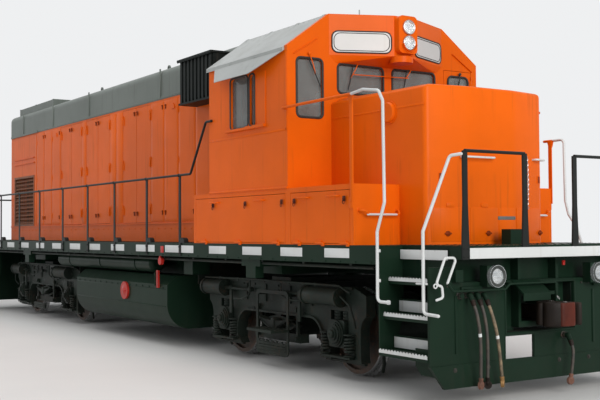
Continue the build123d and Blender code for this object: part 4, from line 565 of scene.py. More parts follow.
@dataclass(frozen=True)
class Ground(Finish):
    """Pale studio floor with a faint mottle."""

    colour: Colour = (0.74, 0.73, 0.71)

    def shade(self, tree: Tree) -> bpy.types.Material:
        """Pale noise over a matt floor."""
        cloud = tree.noise(0.35, 4.0)
        grit = tree.noise(18.0, 3.0)
        colour = tree.mix(cloud.ramp(0.3, 0.7) * 0.5, self.colour, tint(self.colour, 0.93))
        return tree.finish(Base_Color=colour, Roughness=0.85, Normal=tree.bump(grit, 0.002), IOR=1.3)


ORANGE: Colour = (0.76, 0.118, 0.003)
GREEN: Colour = (0.0085, 0.0225, 0.0130)


class Look(Enum):
    """Every finish on the locomotive."""

    BODY = Paint("body_orange", colour=ORANGE, streak=(0.21, 0.050, 0.012), streaks=0.42,
                 dust=(0.26, 0.075, 0.020), dust_top=1.75, dusting=0.22, settled=0.16, chips=0.55, fade=0.10,
                 wave=0.010, coat=0.02, gloss=0.10)
    SILL = Paint("sill_green", colour=GREEN, streak=(0.030, 0.028, 0.022), streaks=0.40,
                 dust=(0.024, 0.024, 0.018), dust_top=0.80, dusting=0.22, settled=0.14, chips=0.25, coat=0.03,
                 fade=0.18, wave=0.006, roughness=0.34, gloss=0.09)
    TRUCK = Iron("truck_green", colour=(0.0105, 0.0165, 0.0125), rust=(0.085, 0.034, 0.016), rusting=0.28,
                 dust=(0.048, 0.041, 0.032), dusting=0.30, roughness=0.50, gloss=0.16)
    COUPLER = Iron("coupler_iron", colour=(0.012, 0.008, 0.006), rust=(0.040, 0.014, 0.007), rusting=0.60,
                   dusting=0.10, dust=(0.050, 0.042, 0.034), roughness=0.50, gloss=0.16)
    KNUCKLE = Iron("knuckle_rust", colour=(0.064, 0.010, 0.004), rust=(0.086, 0.020, 0.008), rusting=0.70,
                   dusting=0.04, roughness=0.55, gloss=0.2)
    LATCH = Paint("latch_brown", colour=(0.235, 0.034, 0.006), streak=(0.09, 0.025, 0.010), streaks=0.5,
                  dust=(0.12, 0.05, 0.02), dust_top=-5.0, chips=0.6, roughness=0.5, coat=0.0, gloss=0.1)
    BOLT = Iron("bolt_iron", colour=(0.022, 0.022, 0.018), rust=(0.10, 0.040, 0.020),
                rusting=0.5, dusting=0.3)
    BRASS = Iron("hose_coupling", colour=(0.34, 0.19, 0.07), rust=(0.24, 0.085, 0.035), rusting=0.6,
                 dusting=0.1, roughness=0.42, metallic=0.45)
    RUSTY = Iron("rusty_coupling", colour=(0.15, 0.070, 0.048), rust=(0.22, 0.090, 0.055),
                 rusting=0.8, dusting=0.15)
    HOOD_TOP = Paint("roof_grey", colour=(0.138, 0.158, 0.140), streak=(0.060, 0.055, 0.045), streaks=0.45,
                     dust=(0.16, 0.15, 0.13), dust_top=-5.0, settled=0.35, chips=0.45,
                     roughness=0.45, coat=0.1)
    CAB_TOP = Paint("cab_roof_grey", colour=(0.365, 0.380, 0.370), streak=(0.13, 0.12, 0.10), streaks=0.35,
                    dust=(0.25, 0.23, 0.20), dust_top=-5.0, settled=0.30, chips=0.25,
                    roughness=0.46, coat=0.1)
    FILTER = Paint("filter_black", colour=(0.009, 0.012, 0.011), streak=(0.07, 0.06, 0.05), streaks=0.35,
                   dust=(0.07, 0.065, 0.055), dust_top=-5.0, settled=0.30, chips=0.3, roughness=0.5,
                   coat=0.0, gloss=0.12)
    RADIATOR = Mesh("radiator_grille", colour=(0.125, 0.150, 0.140), rusting=0.12, pitch=0.045)
    GRILLE = Mesh("grille_brown", colour=(0.290, 0.095, 0.036), rusting=0.45, pitch=0.040)
    GLASS = Pane("window_glass")
    LAMP = Lens("lamp_glass", glow=0.04)
    RAIL = Paint("rail_black", colour=(0.014, 0.016, 0.015), streak=(0.06, 0.04, 0.03), streaks=0.2,
                 dust=(0.07, 0.06, 0.05), dust_top=-5.0, chips=0.5, roughness=0.42, wave=0.0005,
                 gloss=0.15, coat=0.05)
    WHITE = Paint("rail_white", colour=(0.63, 0.645, 0.64), streak=(0.35, 0.30, 0.24), streaks=0.35,
                  dust=(0.46, 0.42, 0.36), dust_top=0.9, dusting=0.35, settled=0.2, chip=(0.12, 0.11, 0.09),
                  chips=0.7, roughness=0.40, wave=0.0005)
    HOSE = Rubber("hose_rubber")
    TAN_HOSE = Rubber("hose_sleeve", colour=(0.10, 0.075, 0.048), tone=(0.30, 0.22, 0.13), toning=0.8)
    ENGINE = Iron("engine_grey", colour=(0.10, 0.10, 0.095), rusting=0.2, dusting=0.3)
    BEZEL = Iron("lamp_bezel", colour=(0.060, 0.066, 0.062), rusting=0.1, dusting=0.15, roughness=0.30,
                 metallic=0.4, grain=0.0004)
    BOARD = Paint("board_white", colour=(0.56, 0.575, 0.565), streak=(0.40, 0.36, 0.30), streaks=0.25,
                  dust_top=-5.0, chips=0.15, roughness=0.30, wave=0.0008)
    RED = Paint("fitting_red", colour=(0.44, 0.018, 0.012), streak=(0.12, 0.03, 0.02), streaks=0.4,
                dust=(0.16, 0.10, 0.07), dust_top=1.2, chips=0.5, roughness=0.38, wave=0.0008)
    GASKET = Rubber("window_gasket", colour=(0.010, 0.010, 0.010), toning=0.12)
    STEEL = Iron("bright_steel", colour=(0.42, 0.42, 0.41), rust=(0.22, 0.11, 0.06), rusting=0.3,
                 dusting=0.12, roughness=0.32, metallic=0.85, grain=0.0004)
    FLOOR = Ground("studio_floor")


SLOT_LOOKS: dict[str, Look] = {
    "sill_green": Look.SILL,
    "truck_green": Look.TRUCK,
    "coupler_iron": Look.COUPLER,
    "body_orange": Look.BODY,
    "roof_grey": Look.HOOD_TOP,
    "cab_roof_grey": Look.CAB_TOP,
    "filter_black": Look.FILTER,
    "grille_brown": Look.GRILLE,
    "window_glass": Look.GLASS,
    "lamp_glass": Look.LAMP,
    "rail_black": Look.RAIL,
    "rail_white": Look.WHITE,
    "hose_rubber": Look.HOSE,
    "engine_grey": Look.ENGINE,
    "board_white": Look.BOARD,
    "fitting_red": Look.RED,
}


@dataclass
class Shape:
    """Points and polygons of a piece, as arrays, ready to be copied, turned and joined."""

    points: np.ndarray
    faces: dict[int, np.ndarray]

    @classmethod
    def grid(cls, points: np.ndarray, wrap: bool = True, closed: bool = False, caps: bool = True) -> "Shape":
        """Closed skin over a grid of points, quads between neighbours.

        Args:
            points: Array of rows, columns and 3; a row is a section of the shape.
            wrap: Whether each row closes on itself.
            closed: Whether the last row joins the first.
            caps: Whether the first and last rows are filled.

        Returns:
            The shape, its faces turned outwards.
        """
        rows, columns = points.shape[:2]
        index = np.arange(rows * columns).reshape(rows, columns)
        if closed:
            index = np.vstack([index, index[:1]])
        if wrap:
            index = np.hstack([index, index[:, :1]])
        quads = np.stack([index[:-1, :-1], index[:-1, 1:], index[1:, 1:], index[1:, :-1]], -1).reshape(-1, 4)
        faces = {4: quads}
        if caps and not closed:
            ends = np.stack([np.arange(columns)[::-1], np.arange(columns) + (rows - 1) * columns])
            faces[columns] = np.vstack([faces[4], ends]) if columns == 4 else ends
        return cls(points.reshape(-1, 3).astype(float), faces).outward()

    def volume(self) -> float:
        """Signed volume, the sum of tetrahedra from the origin to each triangle of a fan."""
        total = 0.0
        centred = self.points - self.points.mean(0)
        for size, rows in self.faces.items():
            corners = centred[rows]
            for step in range(1, size - 1):
                triple = np.einsum("ij,ij->i", corners[:, 0],
                                   np.cross(corners[:, step], corners[:, step + 1]))
                total += float(triple.sum())
        return total / 6.0

    def outward(self) -> "Shape":
        """The same skin with its faces pointing out of what it encloses."""
        if self.volume() >= 0.0:
            return self
        return Shape(self.points, {size: rows[:, ::-1] for size, rows in self.faces.items()})

    def moved(self, offset: Sequence[float]) -> "Shape":
        """The shape shifted by an offset."""
        return Shape(self.points + np.asarray(offset, float), self.faces)

    def turned(self, matrix: np.ndarray) -> "Shape":
        """The shape with each point multiplied by a matrix, kept outward when it mirrors."""
        faces = self.faces
        if np.linalg.det(matrix) < 0:
            faces = {size: rows[:, ::-1] for size, rows in faces.items()}
        return Shape(self.points @ matrix.T, faces)

    def copies(self, offsets: Iterable[Sequence[float]]) -> "Shape":
        """Copies of the shape at each offset, as one shape.

        Args:
            offsets: Rows of three numbers.

        Returns:
            All copies together.
        """
        shifts = np.asarray(list(offsets), float).reshape(-1, 1, 3)
        points = (self.points[None] + shifts).reshape(-1, 3)
        base = np.arange(len(shifts)).reshape(-1, 1, 1) * len(self.points)
        faces = {size: (rows[None] + base).reshape(-1, size) for size, rows in self.faces.items()}
        return Shape(points, faces)

    def mirrored(self) -> "Shape":
        """The shape on the other side of the locomotive, Y turned to minus Y."""
        return self.turned(np.diag([1.0, -1.0, 1.0]))

    def both(self) -> "Shape":
        """The shape together with its mirror image across the centre line."""
        return join([self, self.mirrored()])

    def reversed(self) -> "Shape":
        """The shape at the other end of the locomotive, turned half round."""
        return self.turned(np.diag([-1.0, -1.0, 1.0]))

    def build(self, name: str, body: str, look: Look, node: str | None = None) -> bpy.types.Object:
        """Puts the shape into a mesh object that rides on a body.

        Args:
            name: Piece name.
            body: Body that carries it.
            look: Finish of the piece.
            node: CAD node that the piece replaces, if any.

        Returns:
            The object.
        """
        mesh = bpy.data.meshes.new(name)
        rows = [row for size in sorted(self.faces) for row in self.faces[size].tolist()]
        mesh.from_pydata(self.points.tolist(), [], rows)
        mesh.polygons.foreach_set("use_smooth", [True] * len(mesh.polygons))
        mesh.set_sharp_from_angle(angle=math.radians(SMOOTH_ANGLE))
        mesh.materials.append(look.value.material())
        made = bpy.data.objects.new(name, mesh)
        bpy.context.scene.collection.objects.link(made)
        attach(made, body)
        if node:
            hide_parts(node)
        LOG.info("%s: %d faces on %s", name, len(rows), body)
        return made


def join(shapes: Iterable[Shape]) -> Shape:
    """Several shapes as one, their points stacked and their faces renumbered.

    Args:
        shapes: Shapes to join.

    Returns:
        The joined shape.
    """
    points: list[np.ndarray] = []
    faces: dict[int, list[np.ndarray]] = {}
    base = 0
    for shape in shapes:
        points.append(shape.points)
        for size, rows in shape.faces.items():
            faces.setdefault(size, []).append(rows + base)
        base += len(shape.points)
    return Shape(np.vstack(points), {size: np.vstack(rows) for size, rows in faces.items()})


def track(x: Any, y: Any, z: Any) -> np.ndarray:
    """Rows of x, y and z, where a plain number stands for a whole column."""
    return np.column_stack(np.broadcast_arrays(x, y, z))


def lifted(ring: np.ndarray, level: float | np.ndarray) -> np.ndarray:
    """A plan outline given one height, or a height for each of its points."""
    return np.column_stack([ring, np.broadcast_to(level, len(ring))])


def circle(count: int) -> np.ndarray:
    """Angles of a full turn in equal steps, the last one short of the first."""
    return np.arange(count) * (math.tau / count)


def unit(rows: np.ndarray) -> np.ndarray:
    """Rows scaled to length 1; a row of no length stays as it is."""
    return rows / np.maximum(np.linalg.norm(rows, axis=1, keepdims=True), 1e-9)


def run_length(path: np.ndarray) -> np.ndarray:
    """Distance run along a path up to each of its points."""
    return np.concatenate([[0.0], np.cumsum(np.linalg.norm(np.diff(path, axis=0), axis=1))])


def points_at(path: np.ndarray, marks: np.ndarray) -> np.ndarray:
    """Points of a path at those distances along it, straight between its own points."""
    reach = run_length(path)
    return np.column_stack([np.interp(marks, reach, path[:, axis]) for axis in range(3)])


def rounded_outline(half_width: float, half_height: float, corner: float, steps: int = 4) -> np.ndarray:
    """Points of a rounded rectangle: a corner centre plus radius times (cos, sin) for each quarter turn.

    Args:
        half_width: Half of its width.
        half_height: Half of its height.
        corner: Radius of its corners.
        steps: Points in each corner.

    Returns:
        Array of points, anticlockwise.
    """
    corner = min(corner, half_width, half_height)
    turn = np.linspace(0.0, math.pi / 2, steps)
    angles = turn[None, :] + np.arange(4)[:, None] * (math.pi / 2)
    signs = np.array([[1, 1], [-1, 1], [-1, -1], [1, -1]], float)
    centres = signs * np.array([half_width - corner, half_height - corner])
    ring = centres[:, None, :] + corner * np.stack([np.cos(angles), np.sin(angles)], -1)
    return ring.reshape(-1, 2)


def slab(
    width: float, height: float, depth: float, corner: float = 0.004, edge: float = 0.002, steps: int = 3,
    crown: float = 0.0,
) -> Shape:
    """Raised plate lying on its foot: rounded rectangles stacked up to depth, drawn in at the top edge.

    The section at share t of the edge is the outline less edge times (1 - sin t), at depth
    less edge times (1 - cos t); a crown adds two inner rings that rise to the middle.

    Args:
        width: Size along local x.
        height: Size along local y.
        depth: Rise along local z.
        corner: Corner radius of the outline.
        edge: Radius of the top edge.
        steps: Points in each corner.
        crown: Extra rise of the middle.

    Returns:
        The plate, centred on its foot.
    """
    bends = np.linspace(0.0, math.pi / 2, 3)
    insets = [0.0, *(edge * (1 - np.cos(bends)))]
    heights = [0.0, *(depth - edge + edge * np.sin(bends))]
    if crown:
        reach = min(width, height) * 0.5
        insets += [edge + reach * 0.25, edge + reach * 0.6]
        heights += [depth + crown * 0.7, depth + crown]
    rings = []
    for inset, level in zip(insets, heights):
        ring = rounded_outline(width / 2 - inset, height / 2 - inset, max(corner - inset, 0.0005), steps)
        rings.append(lifted(ring, level))
    return Shape.grid(np.array(rings))


def turned_part(profile: Sequence[Pair], sides: int = 24) -> Shape:
    """Lathe: each (radius, height) of the profile goes once round local z as (r cos a, r sin a, h).

    Args:
        profile: Pairs of radius and height, from foot to top.
        sides: Points in a turn.

    Returns:
        The closed turned part.
    """
    table = np.asarray(profile, float)
    angles = circle(sides)
    ring = np.stack([np.cos(angles), np.sin(angles)], -1)
    points = np.concatenate(
        [table[:, :1, None] * ring[None], np.repeat(table[:, 1:, None], sides, 1)], -1
    )
    return Shape.grid(points)


def bolt(radius: float = 0.012, height: float = 0.009) -> Shape:
    """Hexagon head with a chamfered top."""
    return turned_part([(radius, 0.0), (radius, height * 0.8), (radius * 0.82, height)], 6)


def rivet(radius: float = 0.011) -> Shape:
    """Button head, a quarter circle turned round."""
    bends = np.linspace(0.0, math.pi / 2 * 0.86, 4)
    return turned_part([(radius * math.cos(b), radius * 0.62 * math.sin(b)) for b in bends], 8)


def filleted(points: Sequence[Sequence[float]], radius: float, steps: int = 5) -> np.ndarray:
    """Rigid rail's centre line: straight runs whose corners are true arcs.

    A corner b that turns by an angle h starts its arc at a and ends it at c, both radius times
    tan(h / 2) from b; with w = cos(h / 2) its points are ((1-t)^2 a + 2w t(1-t) b + t^2 c) over
    ((1-t)^2 + 2w t(1-t) + t^2).

    Args:
        points: Corners of the line.
        radius: Radius of the arcs, less where a run is too short for it.
        steps: Points in each bend.

    Returns:
        Array of points along the line.
    """
    path = np.asarray(points, float)
    if len(path) < 3:
        return path
    before, corner, after = path[:-2], path[1:-1], path[2:]
    back, on = before - corner, after - corner
    far_back, far_on = np.linalg.norm(back, axis=1), np.linalg.norm(on, axis=1)
    back, on = back / far_back[:, None], on / far_on[:, None]
    half = (math.pi - np.arccos(np.clip(np.sum(back * on, 1), -1.0, 1.0))) / 2
    reach = np.minimum(radius * np.tan(half), np.minimum(far_back, far_on) * 0.49)[:, None]
    start, end = corner + back * reach, corner + on * reach
    share = np.linspace(0.0, 1.0, steps)[None, :, None]
    weight = 2 * np.cos(half)[:, None, None] * share * (1 - share)
    bends = (1 - share) ** 2 * start[:, None] + weight * corner[:, None] + share**2 * end[:, None]
    bends = bends / ((1 - share) ** 2 + weight + share**2)
    return np.vstack([path[:1], bends.reshape(-1, 3), path[-1:]])


def tube(path: np.ndarray, radius: float | np.ndarray, sides: int = 10, closed: bool = False) -> Shape:
    """Round bar along a path: at each point, centre + radius (cos a side + sin a up).

    Side is the unit cross product of the path's direction and a fixed axis that the path
    seldom follows, and up the cross product of side and direction.

    Args:
        path: Centre line, rows of three.
        radius: One radius, or one for each point.
        sides: Points round the bar.
        closed: Whether the path is a loop.

    Returns:
        The closed bar.
    """
    path = np.asarray(path, float)
    if closed:
        ahead = np.roll(path, -1, 0) - np.roll(path, 1, 0)
    else:
        ahead = np.gradient(path, axis=0)
    ahead = unit(ahead)
    spread = np.abs(ahead).max(0)
    axis = np.zeros(3)
    axis[int(np.argmin(spread))] = 1.0
    side = unit(np.cross(ahead, axis))
    up = np.cross(side, ahead)
    angles = circle(sides)
    size = np.broadcast_to(np.asarray(radius, float), (len(path),))[:, None, None]
    ring = np.cos(angles)[None, :, None] * side[:, None] + np.sin(angles)[None, :, None] * up[:, None]
    return Shape.grid(path[:, None] + size * ring, closed=closed)


def strip(path: np.ndarray, width: float, thick: float, across: Sequence[float]) -> Shape:
    """Flat bar along a path: a rectangle of width along `across` and of thickness square to it and the path.

    Args:
        path: Centre line, rows of three.
        width: Width along the across direction.
        thick: Thickness.
        across: Direction of the width.

    Returns:
        The closed bar.
    """
    path = np.asarray(path, float)
    wide = np.broadcast_to(np.asarray(across, float), path.shape)
    up = unit(np.cross(unit(np.gradient(path, axis=0)), wide))
    signs = np.array([[1, 1], [-1, 1], [-1, -1], [1, -1]], float) / 2
    ring = signs[None, :, :1] * width * wide[:, None] + signs[None, :, 1:] * thick * up[:, None]
    return Shape.grid(path[:, None] + ring)


def helix(radius: float, wire: float, height: float, turns: float, sides: int = 6) -> Shape:
    """Coil spring round local z: centre (R cos a, R sin a, height share), swept with the wire's radius."""
    share = np.linspace(0.0, 1.0, int(turns * 16) + 1)
    angle = share * turns * math.tau
    path = track(radius * np.cos(angle), radius * np.sin(angle), wire + share * (height - 2 * wire))
    radial = track(np.cos(angle), np.sin(angle), 0.0)
    turn = circle(sides)
    lift = np.array([0.0, 0.0, 1.0])
    ring = np.cos(turn)[None, :, None] * radial[:, None] + np.sin(turn)[None, :, None] * lift
    return Shape.grid(path[:, None] + wire * ring)


def chain(path: np.ndarray, wire: float = 0.004, link: float = 0.034) -> Shape:
    """Chain along a path: stadium links a pitch apart, each turned a quarter from the last.

    A link is (a cos t + s sign(cos t), b sin t) swept with the wire's radius.

    Args:
        path: Line that the chain follows.
        wire: Radius of the link's wire.
        link: Outside length of a link.

    Returns:
        All links together.
    """
    pitch = link - 2.6 * wire
    marks = np.arange(0.5 * pitch, run_length(path)[-1], pitch)
    centres = points_at(path, marks)
    ahead = unit(points_at(path, marks + 0.002) - centres)
    side = unit(np.cross(ahead, np.array([0.31, 0.95, 0.05])))
    up = np.cross(side, ahead)
    turn = circle(10)
    straight = link / 2 - 2.6 * wire - wire
    bend = 2.2 * wire
    ends = straight * np.sign(np.round(np.cos(turn), 6))
    loop = track(ends + bend * np.cos(turn), bend * np.sin(turn), 0.0)
    single = tube(loop, wire, 5, closed=True)
    even = np.arange(len(marks)) % 2 == 0
    wide = np.where(even[:, None], side, up)
    high = np.where(even[:, None], up, -side)
    basis = np.stack([ahead, wide, high], 1)
    points = np.einsum("pk,nkj->npj", single.points, basis) + centres[:, None]
    base = np.arange(len(marks)).reshape(-1, 1, 1) * len(single.points)
    faces = {size: (rows[None] + base).reshape(-1, size) for size, rows in single.faces.items()}
    return Shape(points.reshape(-1, 3), faces)


def sheet_of(outline: Sequence[Pair], thick: float) -> Shape:
    """Flat plate cut to an outline: the outline at depth 0 and at its thickness, filled at both."""
    flat = np.asarray(outline, float)
    return Shape.grid(np.array([lifted(flat, level) for level in (0.0, thick)]))


class Side(Enum):
    """Faces of the locomotive, each with the directions of local right, up and out."""

    RIGHT = ((1, 0, 0), (0, 0, 1), (0, -1, 0))
    LEFT = ((-1, 0, 0), (0, 0, 1), (0, 1, 0))
    FRONT = ((0, 1, 0), (0, 0, 1), (1, 0, 0))
    REAR = ((0, -1, 0), (0, 0, 1), (-1, 0, 0))
    TOP = ((1, 0, 0), (0, 1, 0), (0, 0, 1))

    def put(self, shape: Shape, at: Sequence[float]) -> Shape:
        """Turns a shape drawn in local right, up and out, and moves it to a point of the model."""
        return shape.turned(np.array(self.value, float).T).moved(at)

    def wall(self, shape: Shape, spots: Iterable[Pair], out: float) -> Shape:
        """Copies of a shape on this upright face, at pairs of place along it and height.

        Args:
            shape: Shape drawn in local right, up and out.
            spots: Pairs of X (or Y on the ends) and Z.
            out: Distance of the face from the centre of the model.

        Returns:
            The copies.
        """
        right, _, away = self.value
        seen = [
            (along if right[0] else away[0] * out, along if right[1] else away[1] * out, height)
            for along, height in spots
        ]
        return shape.turned(np.array(self.value, float).T).copies(seen)


def spin(angle: float, axis: int = 2) -> np.ndarray:
    """Rotation matrix by an angle in degrees about one axis."""
    return np.array(Matrix.Rotation(math.radians(angle), 3, "XYZ"[axis]))


def frame_ring(width: float, height: float, corner: float, bar: float, rise: float, steps: int = 5) -> Shape:
    """Gasket or sash: an oval bar of that width and rise, carried along a rounded rectangle."""
    ring = rounded_outline(width / 2, height / 2, corner, steps)
    inner = rounded_outline(width / 2 - bar, height / 2 - bar, max(corner - bar, 0.002), steps)
    turn = np.linspace(0.0, math.pi, 5)
    middle, reach = (ring + inner) / 2, (ring - inner) / 2
    rows = [lifted(middle + reach * math.cos(angle), rise * math.sin(angle)) for angle in turn]
    rows += [lifted(inner, -RING_SUNK), lifted(ring, -RING_SUNK)]
    return Shape.grid(np.array(rows), closed=True)


@dataclass
class Studio:
    """Camera at the photograph's angle, soft lamps and a pale floor."""

    camera_at: Point = (15.64, -7.906, 1.733)
    ahead: Point = (-0.8393, 0.5427, 0.0317)
    roll: float = -0.33
    lens: float = 60.19
    floor_half: float = 60.0
    sky: float = 0.44
    sky_tone: Colour = (0.93, 0.96, 1.0)
    background: Colour = (0.86, 0.87, 0.88)

    def camera(self) -> None:
        """Aims the camera along `ahead`, with its right side level but for the roll."""
        ahead = np.array(self.ahead) / np.linalg.norm(self.ahead)
        right = np.cross(ahead, (0.0, 0.0, 1.0))
        right /= np.linalg.norm(right)
        up = np.cross(right, ahead)
        lean = math.radians(self.roll)
        right, up = right * math.cos(lean) + up * math.sin(lean), up * math.cos(lean) - right * math.sin(lean)
        data = bpy.data.cameras.new("camera")
        data.lens = self.lens
        data.sensor_width = 36.0
        data.sensor_fit = "HORIZONTAL"
        data.clip_end = 400.0
        camera = bpy.data.objects.new("camera", data)
        matrix = np.eye(4)
        matrix[:3, 0], matrix[:3, 1], matrix[:3, 2], matrix[:3, 3] = right, up, -ahead, self.camera_at
        camera.matrix_world = Matrix(matrix.tolist())
        bpy.context.scene.collection.objects.link(camera)
        bpy.context.scene.camera = camera
        bpy.context.scene.view_settings.view_transform = "Standard"

    def lamp(
        self, name: str, at: Point, aim: Point, size: float, power: float, colour: Colour = (1, 1, 1)
    ) -> None:
        """Adds a square soft lamp.

        Args:
            name: Lamp name.
            at: Its place.
            aim: Point that it faces.
            size: Edge of the square.
            power: Watts.
            colour: Its colour.
        """
        data = bpy.data.lights.new(name, "AREA")
        data.energy = power
        data.size = size
        data.color = colour
        made = bpy.data.objects.new(name, data)
        made.location = at
        made.rotation_euler = (Vector(aim) - Vector(at)).to_track_quat("-Z", "Y").to_euler()
        bpy.context.scene.collection.objects.link(made)

    def light(self) -> None:
        """Cloudy-day light: a bright even world, a broad lamp ahead, one on the right and one above."""
        world = bpy.data.worlds.new("studio")
        bpy.context.scene.world = world
        world.use_nodes = True
        nodes, links = world.node_tree.nodes, world.node_tree.links
        nodes.clear()
        path = nodes.new("ShaderNodeLightPath")
        seen, shown = nodes.new("ShaderNodeMath"), nodes.new("ShaderNodeMath")
        seen.operation = shown.operation = "MAXIMUM"
        mixed = nodes.new("ShaderNodeMixShader")
        out = nodes.new("ShaderNodeOutputWorld")
        wires = [
            (path.outputs["Is Camera Ray"], seen.inputs[0]),
            (path.outputs["Is Transmission Ray"], seen.inputs[1]),
            (seen.outputs[0], shown.inputs[0]), (path.outputs["Is Glossy Ray"], shown.inputs[1]),
            (shown.outputs[0], mixed.inputs[0]), (mixed.outputs[0], out.inputs["Surface"]),
        ]
        for socket, (colour, strength) in enumerate(((self.sky_tone, self.sky), (self.background, 1.0)), 1):
            ground = nodes.new("ShaderNodeBackground")
            ground.inputs["Color"].default_value = (*colour, 1.0)
            ground.inputs["Strength"].default_value = strength
            wires.append((ground.outputs[0], mixed.inputs[socket]))
        for source, target in wires:
            links.new(source, target)
        self.lamp("lamp_ahead", (27.0, -4.0, 8.5), (4.0, 0.0, 2.0), 12.0, 3350.0, (1.0, 0.985, 0.96))
        self.lamp("lamp_right", (2.0, -22.0, 13.0), (0.0, 0.0, 2.0), 16.0, 340.0)
        self.lamp("lamp_above", (0.0, -3.0, 19.0), (0.0, 0.0, 2.0), 18.0, 1900.0)

    def floor(self) -> None:
        """Lays the pale floor just under the wheel flanges."""
        half = self.floor_half
        across = np.linspace(-half, half, 9)
        grid = np.stack(np.meshgrid(across, across, indexing="ij"), -1)
        points = np.concatenate([grid, np.full((*grid.shape[:2], 1), -0.002)], -1)
        shape = Shape.grid(points, wrap=False, caps=False)
        mesh = bpy.data.meshes.new("studio_floor")
        faces = shape.faces[4]
        mesh.from_pydata(shape.points.tolist(), [], faces.tolist())
        mesh.materials.append(Look.FLOOR.value.material())
        made = bpy.data.objects.new("studio_floor", mesh)
        bpy.context.scene.collection.objects.link(made)

    def build(self) -> None:
        """Sets up camera, lamps and floor."""
        self.camera()
        self.light()
        self.floor()


